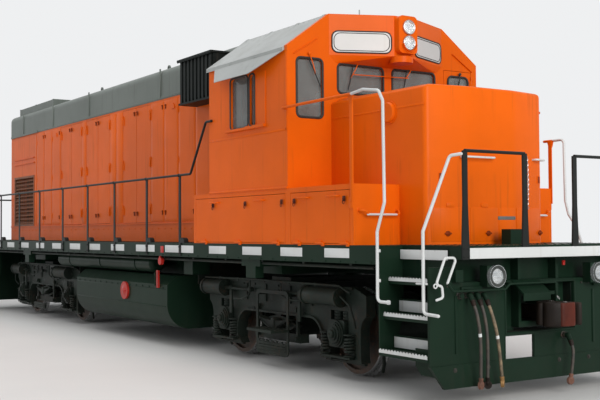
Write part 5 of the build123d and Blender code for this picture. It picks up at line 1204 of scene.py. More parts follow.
@dataclass
class AirHoses:
    """The four air hoses that hang from the front end plate, with their ferrules and couplings."""

    start_x: float = 8.190
    drop: float = 0.05196
    radius: float = 0.017
    control_route: Sequence[Point] = (
        (0.0, 0.0, 0.0), (0.046, 0.0, 0.0797), (0.072, 0.15, 0.208), (0.070, 0.40, 0.378),
        (0.048, 0.65, 0.556), (0.022, 0.87, 0.712), (0.008, 1.0, 0.822),
    )
    brake_route: Sequence[Point] = (
        (0.0, 0.0, 0.0), (0.042, 0.0, 0.0797), (0.044, 0.40, 0.198), (0.034, 0.75, 0.318),
        (0.024, 1.0, 0.398),
    )
    places: Sequence[Point] = (
        (-1.060, 1.095, 0.095), (-0.965, 1.095, 0.090), (-0.865, 1.090, 0.190), (0.330, 0.615, -0.028),
    )
    lengths: Sequence[float] = (0.846, 0.845, 0.864, 0.414)

    def route(self, shape: Sequence[Point], place: Point) -> np.ndarray:
        """Control points: start plus (ahead, share times swing, minus below) of each row."""
        table = np.asarray(shape, float)
        start = np.array([self.start_x, place[0], place[1] - self.drop])
        return start + table * np.array([1.0, place[2], -1.0])

    def spline(self, name: str, points: np.ndarray, look: Look) -> bpy.types.Object:
        """Curve object of one open NURBS line with a round section.

        Args:
            name: Piece name.
            points: Control points.
            look: Finish.

        Returns:
            The curve object.
        """
        data = bpy.data.curves.new(name, "CURVE")
        data.dimensions = "3D"
        data.resolution_u = 10
        data.bevel_depth = self.radius
        data.bevel_resolution = 4
        data.use_fill_caps = True
        line = data.splines.new("NURBS")
        line.points.add(len(points) - 1)
        line.points.foreach_set("co", np.column_stack([points, np.ones(len(points))]).ravel())
        line.order_u = 3
        line.use_endpoint_u = True
        data.materials.append(look.value.material())
        made = bpy.data.objects.new(name, data)
        bpy.context.scene.collection.objects.link(made)
        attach(made, "locomotive")
        return made

    def line(self, curve: bpy.types.Object) -> np.ndarray:
        """Points of the curve's own line, read from it with no section."""
        bare = curve.data.copy()
        bare.bevel_depth = 0.0
        holder = bpy.data.objects.new("hose_line", bare)
        bpy.context.scene.collection.objects.link(holder)
        mesh = bpy.data.meshes.new_from_object(holder.evaluated_get(bpy.context.evaluated_depsgraph_get()))
        points = np.empty(len(mesh.vertices) * 3)
        mesh.vertices.foreach_get("co", points)
        bpy.data.objects.remove(holder)
        bpy.data.meshes.remove(mesh)
        return points.reshape(-1, 3)

    def ferrules(self, path: np.ndarray) -> Shape:
        """Tapered relief at the top, falling to the hose's own radius over 60 mm, with two clamp rings."""
        marks = np.array([0.0, 0.004, 0.018, 0.022, 0.030, 0.034, 0.050, 0.062])
        sizes = np.array([0.022, 0.0265, 0.0265, 0.0235, 0.0235, 0.0245, 0.0225, 0.0172])
        return tube(points_at(path, marks), sizes, 16)

    def band(self, path: np.ndarray, share: float) -> Shape:
        """White marking sleeve, 34 mm long and 1 mm proud, at a share of the hose's length."""
        marks = run_length(path)[-1] * share + np.array([-0.017, -0.016, 0.0, 0.016, 0.017])
        sizes = self.radius + np.array([0.0002, 0.0012, 0.0012, 0.0012, 0.0002])
        return tube(points_at(path, marks), sizes, 16)

    def coupling(self, path: np.ndarray, swung: float) -> Shape:
        """Gladhand at the foot: a nipple, a flared neck and a head disc with its rim and boss.

        Args:
            path: Line of the hose.
            swung: Turn of the head about the hose, in degrees.

        Returns:
            The coupling.
        """
        end = path[-1]
        ahead = path[-1] - path[-3]
        ahead /= np.linalg.norm(ahead)
        marks = np.array([-0.052, -0.048, -0.030, -0.026, -0.010, 0.0, 0.012, 0.030, 0.040])
        sizes = np.array([0.0178, 0.0240, 0.0240, 0.0215, 0.0215, 0.0245, 0.0210, 0.0190, 0.0120])
        neck = tube(end + marks[:, None] * ahead, sizes, 14)
        disc = turned_part(
            [(0.030, -0.017), (0.042, -0.015), (0.0435, -0.006), (0.040, 0.004), (0.043, 0.010),
             (0.040, 0.017), (0.026, 0.0175), (0.022, 0.012), (0.010, 0.012)], 20,
        )
        facing = spin(swung) @ np.array([[0.0, 0.0, 1.0], [1.0, 0.0, 0.0], [0.0, 1.0, 0.0]])
        head = disc.turned(facing).moved(end + ahead * 0.024)
        lug = slab(0.030, 0.050, 0.012, 0.006, 0.002).turned(facing).moved(end + ahead * 0.030)
        return join([neck, head, lug])

    def build(self) -> None:
        rows = [
            ("control_hose_outer", Look.HOSE, Look.RUSTY, 20.0, 0.42),
            ("control_hose_middle", Look.HOSE, Look.COUPLER, -35.0, 0.0),
            ("control_hose_inner", Look.TAN_HOSE, Look.BRASS, 40.0, 0.45),
            ("brake_hose_front", Look.HOSE, Look.RUSTY, 0.0, 0.0),
        ]
        for (name, look, metal, swung, marked), place, length in zip(rows, self.places, self.lengths):
            points = self.route(self.brake_route if name.startswith("brake") else self.control_route, place)
            hose = self.spline(name, points, look)
            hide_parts("brake_hose" if name.startswith("brake") else "control_hoses")
            path = self.line(hose)
            top = self.ferrules(path).build(f"{name}_ferrule", ROOT, Look.COUPLER)
            foot = self.coupling(path, swung).build(f"{name}_coupling", ROOT, metal)
            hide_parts("hose_grips")
            if marked:
                self.band(path, marked).build(f"{name}_band", ROOT, Look.WHITE)
            LOG.info("%s: hose of %.3f m", name, length)


@dataclass
class Castings:
    """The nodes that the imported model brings, given their finishes by slot."""

    frame: Mapping[str, Any]

    def slots(self) -> dict[str, str]:
        """Material slot of each node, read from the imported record."""
        return {part["node"]: part["material_slot"] for part in self.frame["record"]["subparts"]}

    def look_of(self, node: str, slot: str | None) -> Finish:
        """Finish of a node: wheels by their axle, the rest by slot."""
        if node.startswith("wheelset"):
            lo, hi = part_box(node)
            return WheelSteel(f"wheel_steel_{node[-1]}", axle_x=round((lo.x + hi.x) / 2, 4))
        if node.startswith("coupler"):
            return Look.COUPLER.value
        return SLOT_LOOKS[slot or "sill_green"].value

    def build(self) -> None:
        """Gives every node its finish."""
        for node, slot in self.slots().items():
            made = self.frame["nodes"].get(node)
            if made is None:
                continue
            material = self.look_of(node, slot).material()
            made.data.materials.clear()
            made.data.materials.append(material)
            LOG.info("%s: %s", node, material.name)


@dataclass
class Cab:
    """Cab: window gaskets, panes of the doors, wipers, seams, gutters, roof laps and the covers' latches."""

    body: str = ROOT
    half: float = 1.524
    rear: float = 3.50
    front: float = 5.50
    seam_height: float = 2.965
    bead_height: float = 2.265
    lights: Sequence[tuple[float, float, float, float]] = (
        (4.342, 3.405, 0.464, 0.670), (4.678, 3.405, 0.144, 0.670),
    )
    front_lights: Sequence[tuple[float, float, float, float]] = (
        (-1.1975, 3.485, 0.375, 0.720), (-0.4275, 3.635, 0.705, 0.360), (0.4275, 3.635, 0.705, 0.360),
    )
    door_light: tuple[float, float, float, float] = (1.185, 3.4625, 0.350, 0.675)
    cover_latches: Sequence[tuple[str, Sequence[float]]] = (
        ("base_cover", (3.63, 4.50, 5.385)), ("front_cover", (5.667, 6.682)),
    )
    latch_height: float = 2.095
    cover_face: float = 1.5395
    gasket_planes: tuple[float, float] = (5.512, -3.488)
    pane_planes: tuple[float, float] = (5.490, -3.510)
    corner_seam: float = 5.476
    wiper_step: float = 0.022
    roof_section: Sequence[Pair] = (
        (-1.556, 3.931), (-0.918, 4.428), (-0.45, 4.462), (0.0, 4.473), (0.45, 4.462), (0.918, 4.428),
        (1.556, 3.931),
    )

    def gaskets(self) -> None:
        """Rubber round each light, an oval bar carried along the opening's outline."""
        rings = []
        for side in (Side.RIGHT, Side.LEFT):
            for x, z, width, height in self.lights:
                ring = frame_ring(width + 0.024, height + 0.024, 0.066, 0.024, 0.009)
                rings.append(side.wall(ring, [(x, z)], self.half + 0.011))
        for y, z, width, height in self.front_lights:
            ring = frame_ring(width + 0.036, height + 0.036, 0.075, 0.030, 0.012)
            rings.append(Side.FRONT.wall(ring, [(y, z)], self.front + 0.001))
        join(rings).build("window_gaskets", self.body, Look.GASKET)
        y, z, width, height = self.door_light
        ring = frame_ring(width + 0.030, height + 0.030, 0.080, 0.026, 0.010)
        pane = slab(width + 0.008, height + 0.008, 0.006, 0.06, 0.001, 6)
        for shape, piece, look, planes in (
            (ring, "gasket", Look.GASKET, self.gasket_planes), (pane, "pane", Look.GLASS, self.pane_planes),
        ):
            for face, label, across, plane in zip((Side.FRONT, Side.REAR), ("front", "rear"), (y, -y),
                                                  planes):
                placed = face.wall(shape, [(across, z)], plane)
                placed.build(f"{label}_door_{piece}", f"cab_door_{label}", look)

    def wiper(self, pivot: Point, tip: Point, blade: float, lean: float) -> tuple[Shape, Shape]:
        """Wiper in front of a pane: a boss, an arm to the tip and a thin blade across it.

        Args:
            pivot: Where the arm turns.
            tip: Where the arm holds the blade.
            blade: Half length of the blade.
            lean: Turn of the blade from upright, in degrees.

        Returns:
            The arm with its boss, and the blade.
        """
        start, end = np.array(pivot), np.array(tip)
        middle = (start + end) / 2 + np.array([0.014, 0.0, 0.0])
        arm = tube(filleted([start, middle, end], 0.05), 0.0065, 6)
        along = np.array([0.0, math.sin(math.radians(lean)), math.cos(math.radians(lean))])
        share = np.linspace(-1.0, 1.0, 7)[:, None]
        bow = np.array([-0.006, 0.0, 0.0]) * (share**2)
        rubber = strip(end + share * blade * along + bow, 0.016, 0.006, (1.0, 0.0, 0.0))
        boss = turned_part([(0.020, -0.004), (0.020, 0.010), (0.013, 0.018), (0.006, 0.020)], 14)
        return join([arm, Side.FRONT.put(boss, pivot)]), rubber

    def wipers(self) -> None:
        """Wipers on the front lights, and one on the door's pane that swings with it."""
        out = self.front + self.wiper_step
        rows = [
            ((out, -1.215, 3.900), (out, -1.130, 3.660), 0.180, -27.0),
            ((out, -0.470, 3.865), (out, -0.600, 3.645), 0.155, 14.0),
            ((out, 0.390, 3.865), (out, 0.272, 3.700), 0.125, 11.0),
        ]
        join([self.wiper(*row)[1] for row in rows]).build("window_wipers", self.body, Look.GASKET)
        route = [(out + 0.022, -0.585, 3.690), (out + 0.030, -0.10, 3.700), (out + 0.022, 0.310, 3.712)]
        link = tube(filleted(route, 0.2), 0.0060, 8)
        join([*[self.wiper(*row)[0] for row in rows], link]).build("wiper_arms", self.body, Look.BODY)
        door = self.wiper((5.533, 1.20, 3.835), (5.533, 1.15, 3.58), 0.17, 14.0)
        join(door).build("door_wiper", "cab_door_front", Look.GASKET)

    def seams(self) -> None:
        """Lapped seams, the foot bead and its bolts, the gutter over the door and the eave strips."""
        parts = []
        span = np.linspace(self.rear + 0.01, self.front - 0.005, 5)
        low = track(span, -self.half - 0.001, self.bead_height)
        parts.append(tube(low, 0.016, 12))
        seam = slab(self.front - self.rear - 0.03, 0.030, 0.004, 0.003, 0.0015)
        parts.append(Side.RIGHT.wall(seam, [((self.rear + self.front) / 2, self.seam_height)], self.half))
        upright = slab(0.034, 3.915 - self.seam_height, 0.004, 0.003, 0.0015)
        parts.append(Side.RIGHT.wall(upright, [(self.corner_seam, (3.90 + self.seam_height) / 2)], self.half))
        button = rivet(0.0085)
        spots = [(float(x), self.seam_height) for x in np.arange(3.56, 5.46, 0.105)]
        spots += [(self.corner_seam, float(z)) for z in np.arange(2.99, 3.88, 0.105)]
        parts.append(Side.RIGHT.wall(button, spots, self.half + 0.004))
        gutter = filleted([(5.506, 1.085, 4.10), (5.506, 1.435, 3.885)], 0.01)
        join([*parts, strip(gutter, 0.035, 0.006, (1.0, 0.0, 0.0))]).both().build(
            "cab_seams", self.body, Look.BODY
        )

    def roof(self) -> None:
        """Four laps over the crown, and rows of screws at the foot and the head of each slope."""
        parts = []
        section = np.array(self.roof_section)
        for x in (3.505, 4.14, 4.80, 5.405):
            path = np.column_stack([np.full(len(section), x), section])
            parts.append(strip(path, 0.055, 0.007, (1.0, 0.0, 0.0)))
        screw = rivet(0.008)
        slope = math.degrees(math.atan2(0.497, 0.638))
        tilted = screw.turned(spin(-slope, 0))
        rows = np.arange(3.56, 5.40, 0.12)
        for share in (0.06, 0.94):
            y, z = 0.918 + (1.556 - 0.918) * share, 4.428 - 0.497 * share
            parts.append(tilted.copies([(x, y, z + 0.001) for x in rows]))
        right = join(parts[4:])
        join([*parts[:4], right.both()]).build("cab_roof_laps", self.body, Look.CAB_TOP)

    def latches(self) -> None:
        """Quarter-turn latches with their hanging rings on each hinged cover."""
        plate = slab(0.052, 0.060, 0.006, 0.010, 0.002)
        knob = turned_part([(0.017, 0.0), (0.017, 0.012), (0.012, 0.017), (0.004, 0.018)], 12)
        turn = circle(12)
        loop = track(0.017 * np.cos(turn), 0.024 * np.sin(turn) - 0.036, 0.010)
        latch = join([plate, knob, tube(loop, 0.0038, 6, closed=True)])
        for name, places in self.cover_latches:
            for side, label in ((Side.RIGHT, "right"), (Side.LEFT, "left")):
                spots = [(x, self.latch_height) for x in places]
                placed = side.wall(latch, spots, self.cover_face)
                placed.build(f"{name}_{label}_latches", f"{name}_{label}", Look.KNUCKLE)

    def build(self) -> None:
        """Builds every piece of the cab."""
        self.gaskets()
        self.wipers()
        self.seams()
        self.roof()
        self.latches()


@dataclass
class Nose:
    """Low nose: its shell, door leaves, seams, pockets, latches and a blank plate."""

    body: str = ROOT
    face: float = 7.385
    flat_half: float = 0.350
    half: float = 0.885
    back: float = 5.452
    bend: float = 7.28
    corner: float = 0.055
    roll: float = 0.038
    heights: tuple[float, float, float] = (3.395, 3.325, 0.060)
    seam_height: float = 1.995
    sand_cap: Pair = (6.663, 3.080)
    side_seam: float = 3.120
    pockets: Sequence[float] = (-0.700, 0.820)
    pocket_height: float = 2.325
    knob_height: float = 1.705

    def leaf(self, low: float, high: float, foot: float, head: float) -> Shape:
        """Door leaf on the front face, a plate 4 mm proud with a rounded edge."""
        plate = slab(high - low - 0.010, head - foot - 0.010, 0.004, 0.012, 0.0018)
        return Side.FRONT.wall(plate, [((low + high) / 2, (foot + head) / 2)], self.face)

    def on_facet(self, shape: Shape, y: float, z: float, rise: float = 0.0) -> Shape:
        """The shape laid on a swept facet of the nose.

        Args:
            shape: Shape drawn in a plane, its third axis outwards.
            y: Place across, negative on the right facet.
            z: Height.
            rise: How far it stands off the facet.

        Returns:
            The shape in place.
        """
        fall = (self.face - self.bend) / (self.half - self.flat_half)
        angle = math.degrees(math.atan(fall))
        across = abs(y)
        at = (self.face - fall * (across - self.flat_half) + rise * math.cos(math.radians(angle)),
              across + rise * math.sin(math.radians(angle)), z)
        laid = Side.FRONT.put(shape, (0, 0, 0)).turned(spin(angle, 2)).moved(at)
        return laid if y > 0 else laid.mirrored()

    def roof_line(self, x: np.ndarray, y: np.ndarray) -> np.ndarray:
        """Height of the top: it falls evenly to the front, with a bevel of 70 mm over the outer 190 mm."""
        crown, eave, fall = self.heights
        slope = crown - fall * (x - 5.50) / 1.945
        return np.minimum(slope, eave + (self.half - np.abs(y)) * 70.0 / 190.0)

    def shell(self) -> None:
        """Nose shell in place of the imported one, its upper edges rolled over.

        Rings of the plan outline climb the walls, then draw in by roll (1 - cos a) while they rise
        by roll sin a, and at last shrink towards the middle along the height of the roof line.
        """
        right = [(self.back, -self.half), (self.bend, -self.half), (self.face, -self.flat_half)]
        loop = looped([*right, *[(x, -y) for x, y in right[::-1]]], self.corner, 6)
        centre, roll = np.array([6.45, 0.0]), self.roll
        bends = np.linspace(0.0, math.pi / 2, 6)
        half_size = np.abs(loop - centre).max(0)
        rings = [lifted(loop, z) for z in (1.580, 2.20, 2.80)]
        edge = self.roof_line(*loop.T)
        for bend in bends:
            drawn = centre + (loop - centre) * (1.0 - roll * (1.0 - math.cos(bend)) / half_size)
            level = np.minimum(edge, self.roof_line(*drawn.T)) - roll * (1.0 - math.sin(bend))
            rings.append(lifted(drawn, level))
        for share in (0.90, 0.785, 0.60, 0.40, 0.20, 0.03):
            drawn = centre + (loop - centre) * share
            rings.append(lifted(drawn, self.roof_line(*drawn.T)))
        profile = [(0.115, -0.06), (0.132, 0.0), (0.132, 0.010), (0.115, 0.011), (0.115, 0.030),
                   (0.103, 0.044)]
        caps = Side.RIGHT.wall(turned_part(profile, 36), [self.sand_cap], self.half).both()
        join([Shape.grid(np.stack(rings)), caps]).build("nose_shell", self.body, Look.BODY, node="short_nose")

    def build(self) -> None:
        """Builds the shell, the leaves, the seams and the fittings of the nose."""
        self.shell()
        rise = self.seam_height
        parts = [self.leaf(-0.345, 0.080, 1.612, rise), self.leaf(0.085, 0.345, 1.612, rise)]
        lower = slab(0.46, rise - 1.622, 0.004, 0.012, 0.0018)
        parts.append(self.on_facet(lower, 0.595, (1.612 + rise) / 2).both())
        button = rivet(0.0085)
        seam = slab(1.74, 0.026, 0.004, 0.003, 0.0015)
        side_seams = [Side.RIGHT.wall(seam, [(6.40, self.side_seam)], self.half)]
        line = [(x, self.side_seam) for x in np.arange(5.58, 7.24, 0.11)]
        side_seams.append(Side.RIGHT.wall(button, line, self.half + 0.004))
        join([*parts, join(side_seams).both()]).build("nose_leaves", self.body, Look.BODY)
        pocket = frame_ring(0.060, 0.095, 0.014, 0.010, 0.008)
        pad = slab(0.100, 0.046, 0.010, 0.010, 0.004)
        fittings = [self.on_facet(pocket, y, self.pocket_height) for y in self.pockets]
        fittings += [self.on_facet(pad, -0.585, rise + 0.022),
                     Side.FRONT.wall(pad, [(-0.130, rise + 0.022)], self.face)]
        join(fittings).build("nose_fittings", self.body, Look.BODY)
        hub = turned_part([(0.030, 0.0), (0.030, 0.010), (0.022, 0.014), (0.020, 0.006), (0.008, 0.006)], 16)
        wing = slab(0.086, 0.018, 0.010, 0.006, 0.003).moved((0.0, 0.0, 0.006))
        knob = join([hub, wing])
        knobs = [self.on_facet(knob, y, self.knob_height, 0.004) for y in (-0.620, 0.830)]
        knobs.append(Side.FRONT.wall(knob, [(-0.075, self.knob_height)], self.face + 0.004))
        well = slab(0.040, 0.075, 0.003, 0.008, 0.001)
        knobs += [self.on_facet(well, y, self.pocket_height) for y in self.pockets]
        join(knobs).build("nose_latches", self.body, Look.LATCH)
        plate = slab(0.270, 0.040, 0.003, 0.006, 0.001)
        screw = bolt(0.0045, 0.003)
        corners = [(0.210 + dy, 1.875) for dy in (-0.125, 0.125)]
        pieces = [Side.FRONT.wall(plate, [(0.210, 1.875)], self.face + 0.0035)]
        pieces.append(Side.FRONT.wall(screw, corners, self.face + 0.0065))
        join(pieces).build("nose_blank_plate", self.body, Look.ENGINE)


@dataclass
class LongHood:
    """Long hood: leaves between the hinged doors, latches, lifting lugs, top seams, screens and cores."""

    body: str = ROOT
    foot: float = 1.905
    head: float = 3.880
    leaves: Sequence[Pair] = (
        (-5.80, -5.69), (-5.68, -5.20), (-5.19, -4.70), (-4.69, -4.19), (-2.96, -2.76), (-1.54, -1.27),
        (-1.26, -0.98),
        (0.24, 0.74), (0.75, 1.26), (1.28, 1.86), (1.87, 2.42), (2.43, 3.01),
    )
    doors: Sequence[str] = ("a", "b", "c")
    latch_heights: Sequence[float] = (2.060, 3.785)
    knuckle_heights: Sequence[float] = (2.10, 2.89, 3.69)
    door_face: float = 0.9125
    strip_height: float = 3.945

    def latch(self) -> Shape:
        """Paddle latch: a rounded plate, a boss and a lever that hangs a little out."""
        plate = slab(0.044, 0.074, 0.004, 0.010, 0.0015)
        lever = slab(0.020, 0.062, 0.008, 0.006, 0.003).moved((0.0, -0.006, 0.004))
        boss = turned_part([(0.013, 0.0), (0.013, 0.014), (0.008, 0.017)], 10).moved((0.0, 0.022, 0.002))
        return join([plate, lever, boss])

    def side_leaves(self) -> None:
        """Pressed leaves 4 mm proud, each with three hinge knuckles and latches at its free edge."""
        parts, latches = [], []
        profile = [(0.0085, -0.05), (0.0085, -0.018), (0.0100, -0.017), (0.0100, 0.017), (0.0085, 0.018),
                   (0.0085, 0.05)]
        knuckle = turned_part(profile, 8).turned(spin(90, 0))
        for order, (low, high) in enumerate(self.leaves):
            width = high - low
            plate = slab(width - 0.008, self.head - self.foot, 0.004, 0.014, 0.0018, 3,
                         0.0015 if width > 0.3 else 0.0)
            middle = ((low + high) / 2, (self.foot + self.head) / 2)
            parts.append(Side.RIGHT.wall(plate, [middle], HOOD_HALF))
            if width > 0.4:
                swung = low + 0.004 if order % 2 else high - 0.004
                free = high - 0.055 if order % 2 else low + 0.055
                parts.append(Side.RIGHT.wall(knuckle, [(swung, z) for z in self.knuckle_heights],
                                             HOOD_HALF + 0.003))
                latches.append(Side.RIGHT.wall(self.latch(), [(free, z) for z in self.latch_heights],
                                               HOOD_HALF + 0.004))
        join(parts).both().build("hood_leaves", self.body, Look.BODY)
        join(latches).both().build("hood_latches", self.body, Look.LATCH)

    def door_latches(self) -> None:
        """Latches on the hinged doors, which ride on the doors."""
        for side, label in ((Side.RIGHT, "right"), (Side.LEFT, "left")):
            for letter in self.doors:
                for end, sign in (("fore", 1), ("aft", -1)):
                    name = f"hood_door_{label}_{letter}_{end}"
                    lo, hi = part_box(name)
                    free = (lo.x if sign > 0 else hi.x) + sign * 0.055
                    latch = self.latch()
                    spots = [(free, z) for z in self.latch_heights]
                    side.wall(latch, spots, self.door_face).build(f"{name}_latches", name, Look.LATCH)

    def seams(self) -> None:
        """Top angle strip, ledge bolts, lifting lugs and the small vents of the equipment end."""
        band = slab(10.98, 0.042, 0.005, 0.003, 0.002)
        parts = [Side.RIGHT.wall(band, [(-2.03, self.strip_height)], 0.906)]
        parts.append(Side.RIGHT.wall(rivet(0.009),
                                     [(x, self.strip_height) for x in np.arange(-7.45, 3.45, 0.155)], 0.911))
        rib = slab(0.030, 0.46, 0.018, 0.004, 0.003)
        parts.append(Side.RIGHT.wall(rib, [(x, 4.19) for x in (-6.60, -4.62, -2.58, 0.62)], 0.906))
        join(parts).both().build("hood_top_strips", self.body, Look.HOOD_TOP)
        lug = sheet_of([(-0.05, 0.0), (0.05, 0.0), (0.035, 0.06), (0.0, 0.085), (-0.035, 0.06)], 0.016)
        lugs = [Side.RIGHT.wall(lug, [(x, 3.72) for x in (-4.43, 1.10)], 0.904)]
        vent = slab(0.20, 0.034, 0.020, 0.016, 0.010)
        lugs.append(Side.RIGHT.wall(vent, [(2.72, z) for z in np.arange(2.20, 2.62, 0.062)], 0.904))
        rows = [(x, 1.80) for x in np.arange(-7.40, 2.95, 0.24)]
        lugs.append(Side.RIGHT.wall(bolt(0.011, 0.008), rows, HOOD_HALF))
        join(lugs).both().build("hood_lugs", self.body, Look.BODY)

    def screens(self) -> None:
        """Wire screens before the radiator, upright and level bars, with the finned cores behind them."""
        low, high, foot, head = -7.19, -5.92, 1.955, 2.945
        upright = slab(0.004, head - foot, 0.003, 0.001, 0.0005, 2)
        level = slab(high - low, 0.004, 0.003, 0.001, 0.0005, 2)
        rows = [
            Side.RIGHT.wall(upright, [(x, (foot + head) / 2) for x in np.arange(low, high, 0.055)], 0.901),
            Side.RIGHT.wall(level, [((low + high) / 2, z) for z in np.arange(foot, head, 0.055)], 0.898),
        ]
        screws = [(x, z) for z in (1.925, 2.975) for x in np.arange(-7.18, -5.90, 0.158)]
        rows.append(Side.RIGHT.wall(bolt(0.009, 0.006), screws, 0.9115))
        join(rows).both().build("intake_screens", self.body, Look.GRILLE)
        fin = slab(0.010, 1.02, 0.020, 0.002, 0.002, 2)
        core = [Side.RIGHT.wall(slab(1.36, 1.06, 0.020, 0.01, 0.004), [(-6.555, 2.450)], 0.600)]
        core.append(Side.RIGHT.wall(fin, [(x, 2.450) for x in np.arange(-7.20, -5.90, 0.045)], 0.620))
        join(core).both().build("radiator_cores", self.body, Look.FILTER)

    def build(self) -> None:
        """Builds every piece of the long hood's sides."""
        self.side_leaves()
        self.door_latches()
        self.seams()
        self.screens()


@dataclass
class HoodRoof:
    """Roof: grating and fans, exhaust lips, hatch bolts, filter-box ribs, board frames and headlamp rims."""

    body: str = ROOT
    radiator: tuple[float, float, float] = (-7.27, -4.98, 0.78)
    radiator_top: float = 4.575
    roof_top: float = 4.425
    hatches: Sequence[Pair] = ((-4.40, -2.70), (-1.45, -0.15), (0.70, 1.70))
    exhausts: Sequence[float] = (-1.90, 0.25)
    fans: Sequence[float] = (-6.55, -5.70)
    lid_height: float = 4.315
    headlamps: Sequence[float] = (4.275, 4.077)
    bezel_face: float = 5.9465

    def build(self) -> None:
        """Builds the roof's pieces."""
        low, high, half = self.radiator
        bars = slab(high - low - 0.10, 0.010, 0.012, 0.002, 0.002, 2)
        rows = [((low + high) / 2, y, self.radiator_top - 0.010) for y in np.arange(-half + 0.08, half - 0.05,
                                                                                    0.06)]
        parts = [bars.copies(rows)]
        frame = slab(0.05, 2 * half + 0.02, 0.006, 0.004, 0.002)
        spans = (low + 0.025, (low + high) / 2, high - 0.025)
        parts.append(frame.copies([(x, 0.0, self.radiator_top) for x in spans]))
        parts.append(bolt(0.011, 0.007).copies(
            [(x, s * (half - 0.03), self.radiator_top) for x in np.arange(low + 0.05, high,
                                                                          0.183) for s in (-1, 1)]))
        join(parts).build("radiator_grating", self.body, Look.RADIATOR)
        fans = []
        share = np.linspace(0.0, 1.0, 5)
        for x in self.fans:
            hub = turned_part([(0.09, 4.44), (0.09, 4.475), (0.06, 4.49), (0.01, 4.494)], 20)
            fans.append(hub.moved((x, 0.0, 0.0)))
            reach = 0.08 + share * 0.27
            for blade in range(8):
                pitch = np.radians(38 - 16 * share)
                turn = blade * math.tau / 8
                path = track(reach * math.cos(turn) + x, reach * math.sin(turn), 4.468)
                tang = np.array([-math.sin(turn), math.cos(turn), 0.0])
                wide = tang * np.cos(pitch)[:, None] + np.array([0.0, 0.0, 1.0]) * np.sin(pitch)[:,
                                                                                                 None] * 0.25
                fans.append(strip(path, 0.11, 0.006, wide))
        join(fans).build("radiator_fans", self.body, Look.ENGINE)
        lips, bolts = [], []
        for x in self.exhausts:
            ring = frame_ring(0.56, 0.34, 0.05, 0.030, 0.016)
            lips.append(Side.TOP.put(ring, (x, 0.0, self.roof_top + 0.005)))
        join(lips).build("exhaust_flanges", self.body, Look.KNUCKLE)
        for start, end in self.hatches:
            bolts += [(x, s * 0.485, 0.0) for x in np.arange(start + 0.06, end - 0.03, 0.18) for s in (-1, 1)]
        grip = [(-0.09, 0, 0), (-0.09, 0, 0.05), (0.09, 0, 0.05), (0.09, 0, 0)]
        handle = tube(filleted(grip, 0.03), 0.009, 8)
        grips = [(0.5 * (a + b), s * 0.36, 0.0) for a, b in self.hatches for s in (-1, 1)]
        top = self.roof_top + 0.024
        join([bolt(0.012, 0.008).copies(bolts), handle.copies(grips)]).moved((0.0, 0.0, top)).build(
            "hatch_fittings", self.body, Look.HOOD_TOP
        )
        self.filter_ribs()
        self.boards()

    def filter_ribs(self) -> None:
        """Pleated side of the intake filter boxes: upright channels between the lid and the foot."""
        rib = slab(0.016, 0.56, 0.014, 0.004, 0.004)
        spots = [(x, 4.005) for x in np.arange(1.945, 2.93, 0.0385)]
        lid = slab(1.09, 0.030, 0.006, 0.004, 0.002)
        parts = [Side.RIGHT.wall(rib, spots, 1.172), Side.RIGHT.wall(lid, [(2.425, self.lid_height)], 1.215)]
        parts.append(Side.RIGHT.wall(bolt(0.008, 0.006),
                                     [(x, self.lid_height) for x in np.arange(1.92, 2.95, 0.125)], 1.2185))
        join(parts).both().build("filter_pleats", self.body, Look.FILTER)

    def boards(self) -> None:
        """Black frames round the blank boards, front and rear, and the rims and hood of the headlamps."""
        start, end = np.array([5.5, 0.91]), np.array([5.83, 0.15])
        along = (start - end) / np.linalg.norm(start - end)
        out = np.array([along[1], -along[0]])
        out = out if out[0] > 0 else -out
        ring = frame_ring(0.77, 0.282, 0.085, 0.016, 0.007)
        inner = frame_ring(0.715, 0.228, 0.085, 0.010, 0.003)
        middle = (start + end) / 2 + out * 0.0095
        basis = np.array([[-along[0], -along[1], 0.0], [0.0, 0.0, 1.0], [out[0], out[1], 0.0]]).T
        if np.linalg.det(basis) < 0:
            basis[:, 0] *= -1
        front = join([ring, inner]).turned(basis).moved((middle[0], middle[1], 4.08)).both()
        rear = join([frame_ring(0.53, 0.282, 0.085, 0.016, 0.007),
                     frame_ring(0.475, 0.228, 0.085, 0.010, 0.003)])
        back = Side.REAR.wall(rear, [(-0.52, 4.185), (0.52, 4.185)], 7.5295)
        join([front, back]).build("board_frames", self.body, Look.GASKET)
        ring = frame_ring(0.186, 0.186, 0.093, 0.014, 0.010, 8)
        lamps = Side.FRONT.wall(ring, [(0.0, z) for z in self.headlamps], self.bezel_face)
        lamps.build("headlamp_bezels", self.body, Look.STEEL)
        turn = np.radians(np.linspace(188.0, 352.0, 17))
        hood = track(5.962, 0.107 * np.cos(turn), self.headlamps[1] + 0.107 * np.sin(turn))
        strip(hood, 0.026, 0.006, (1.0, 0.0, 0.0)).build("headlamp_shroud", self.body, Look.BODY)


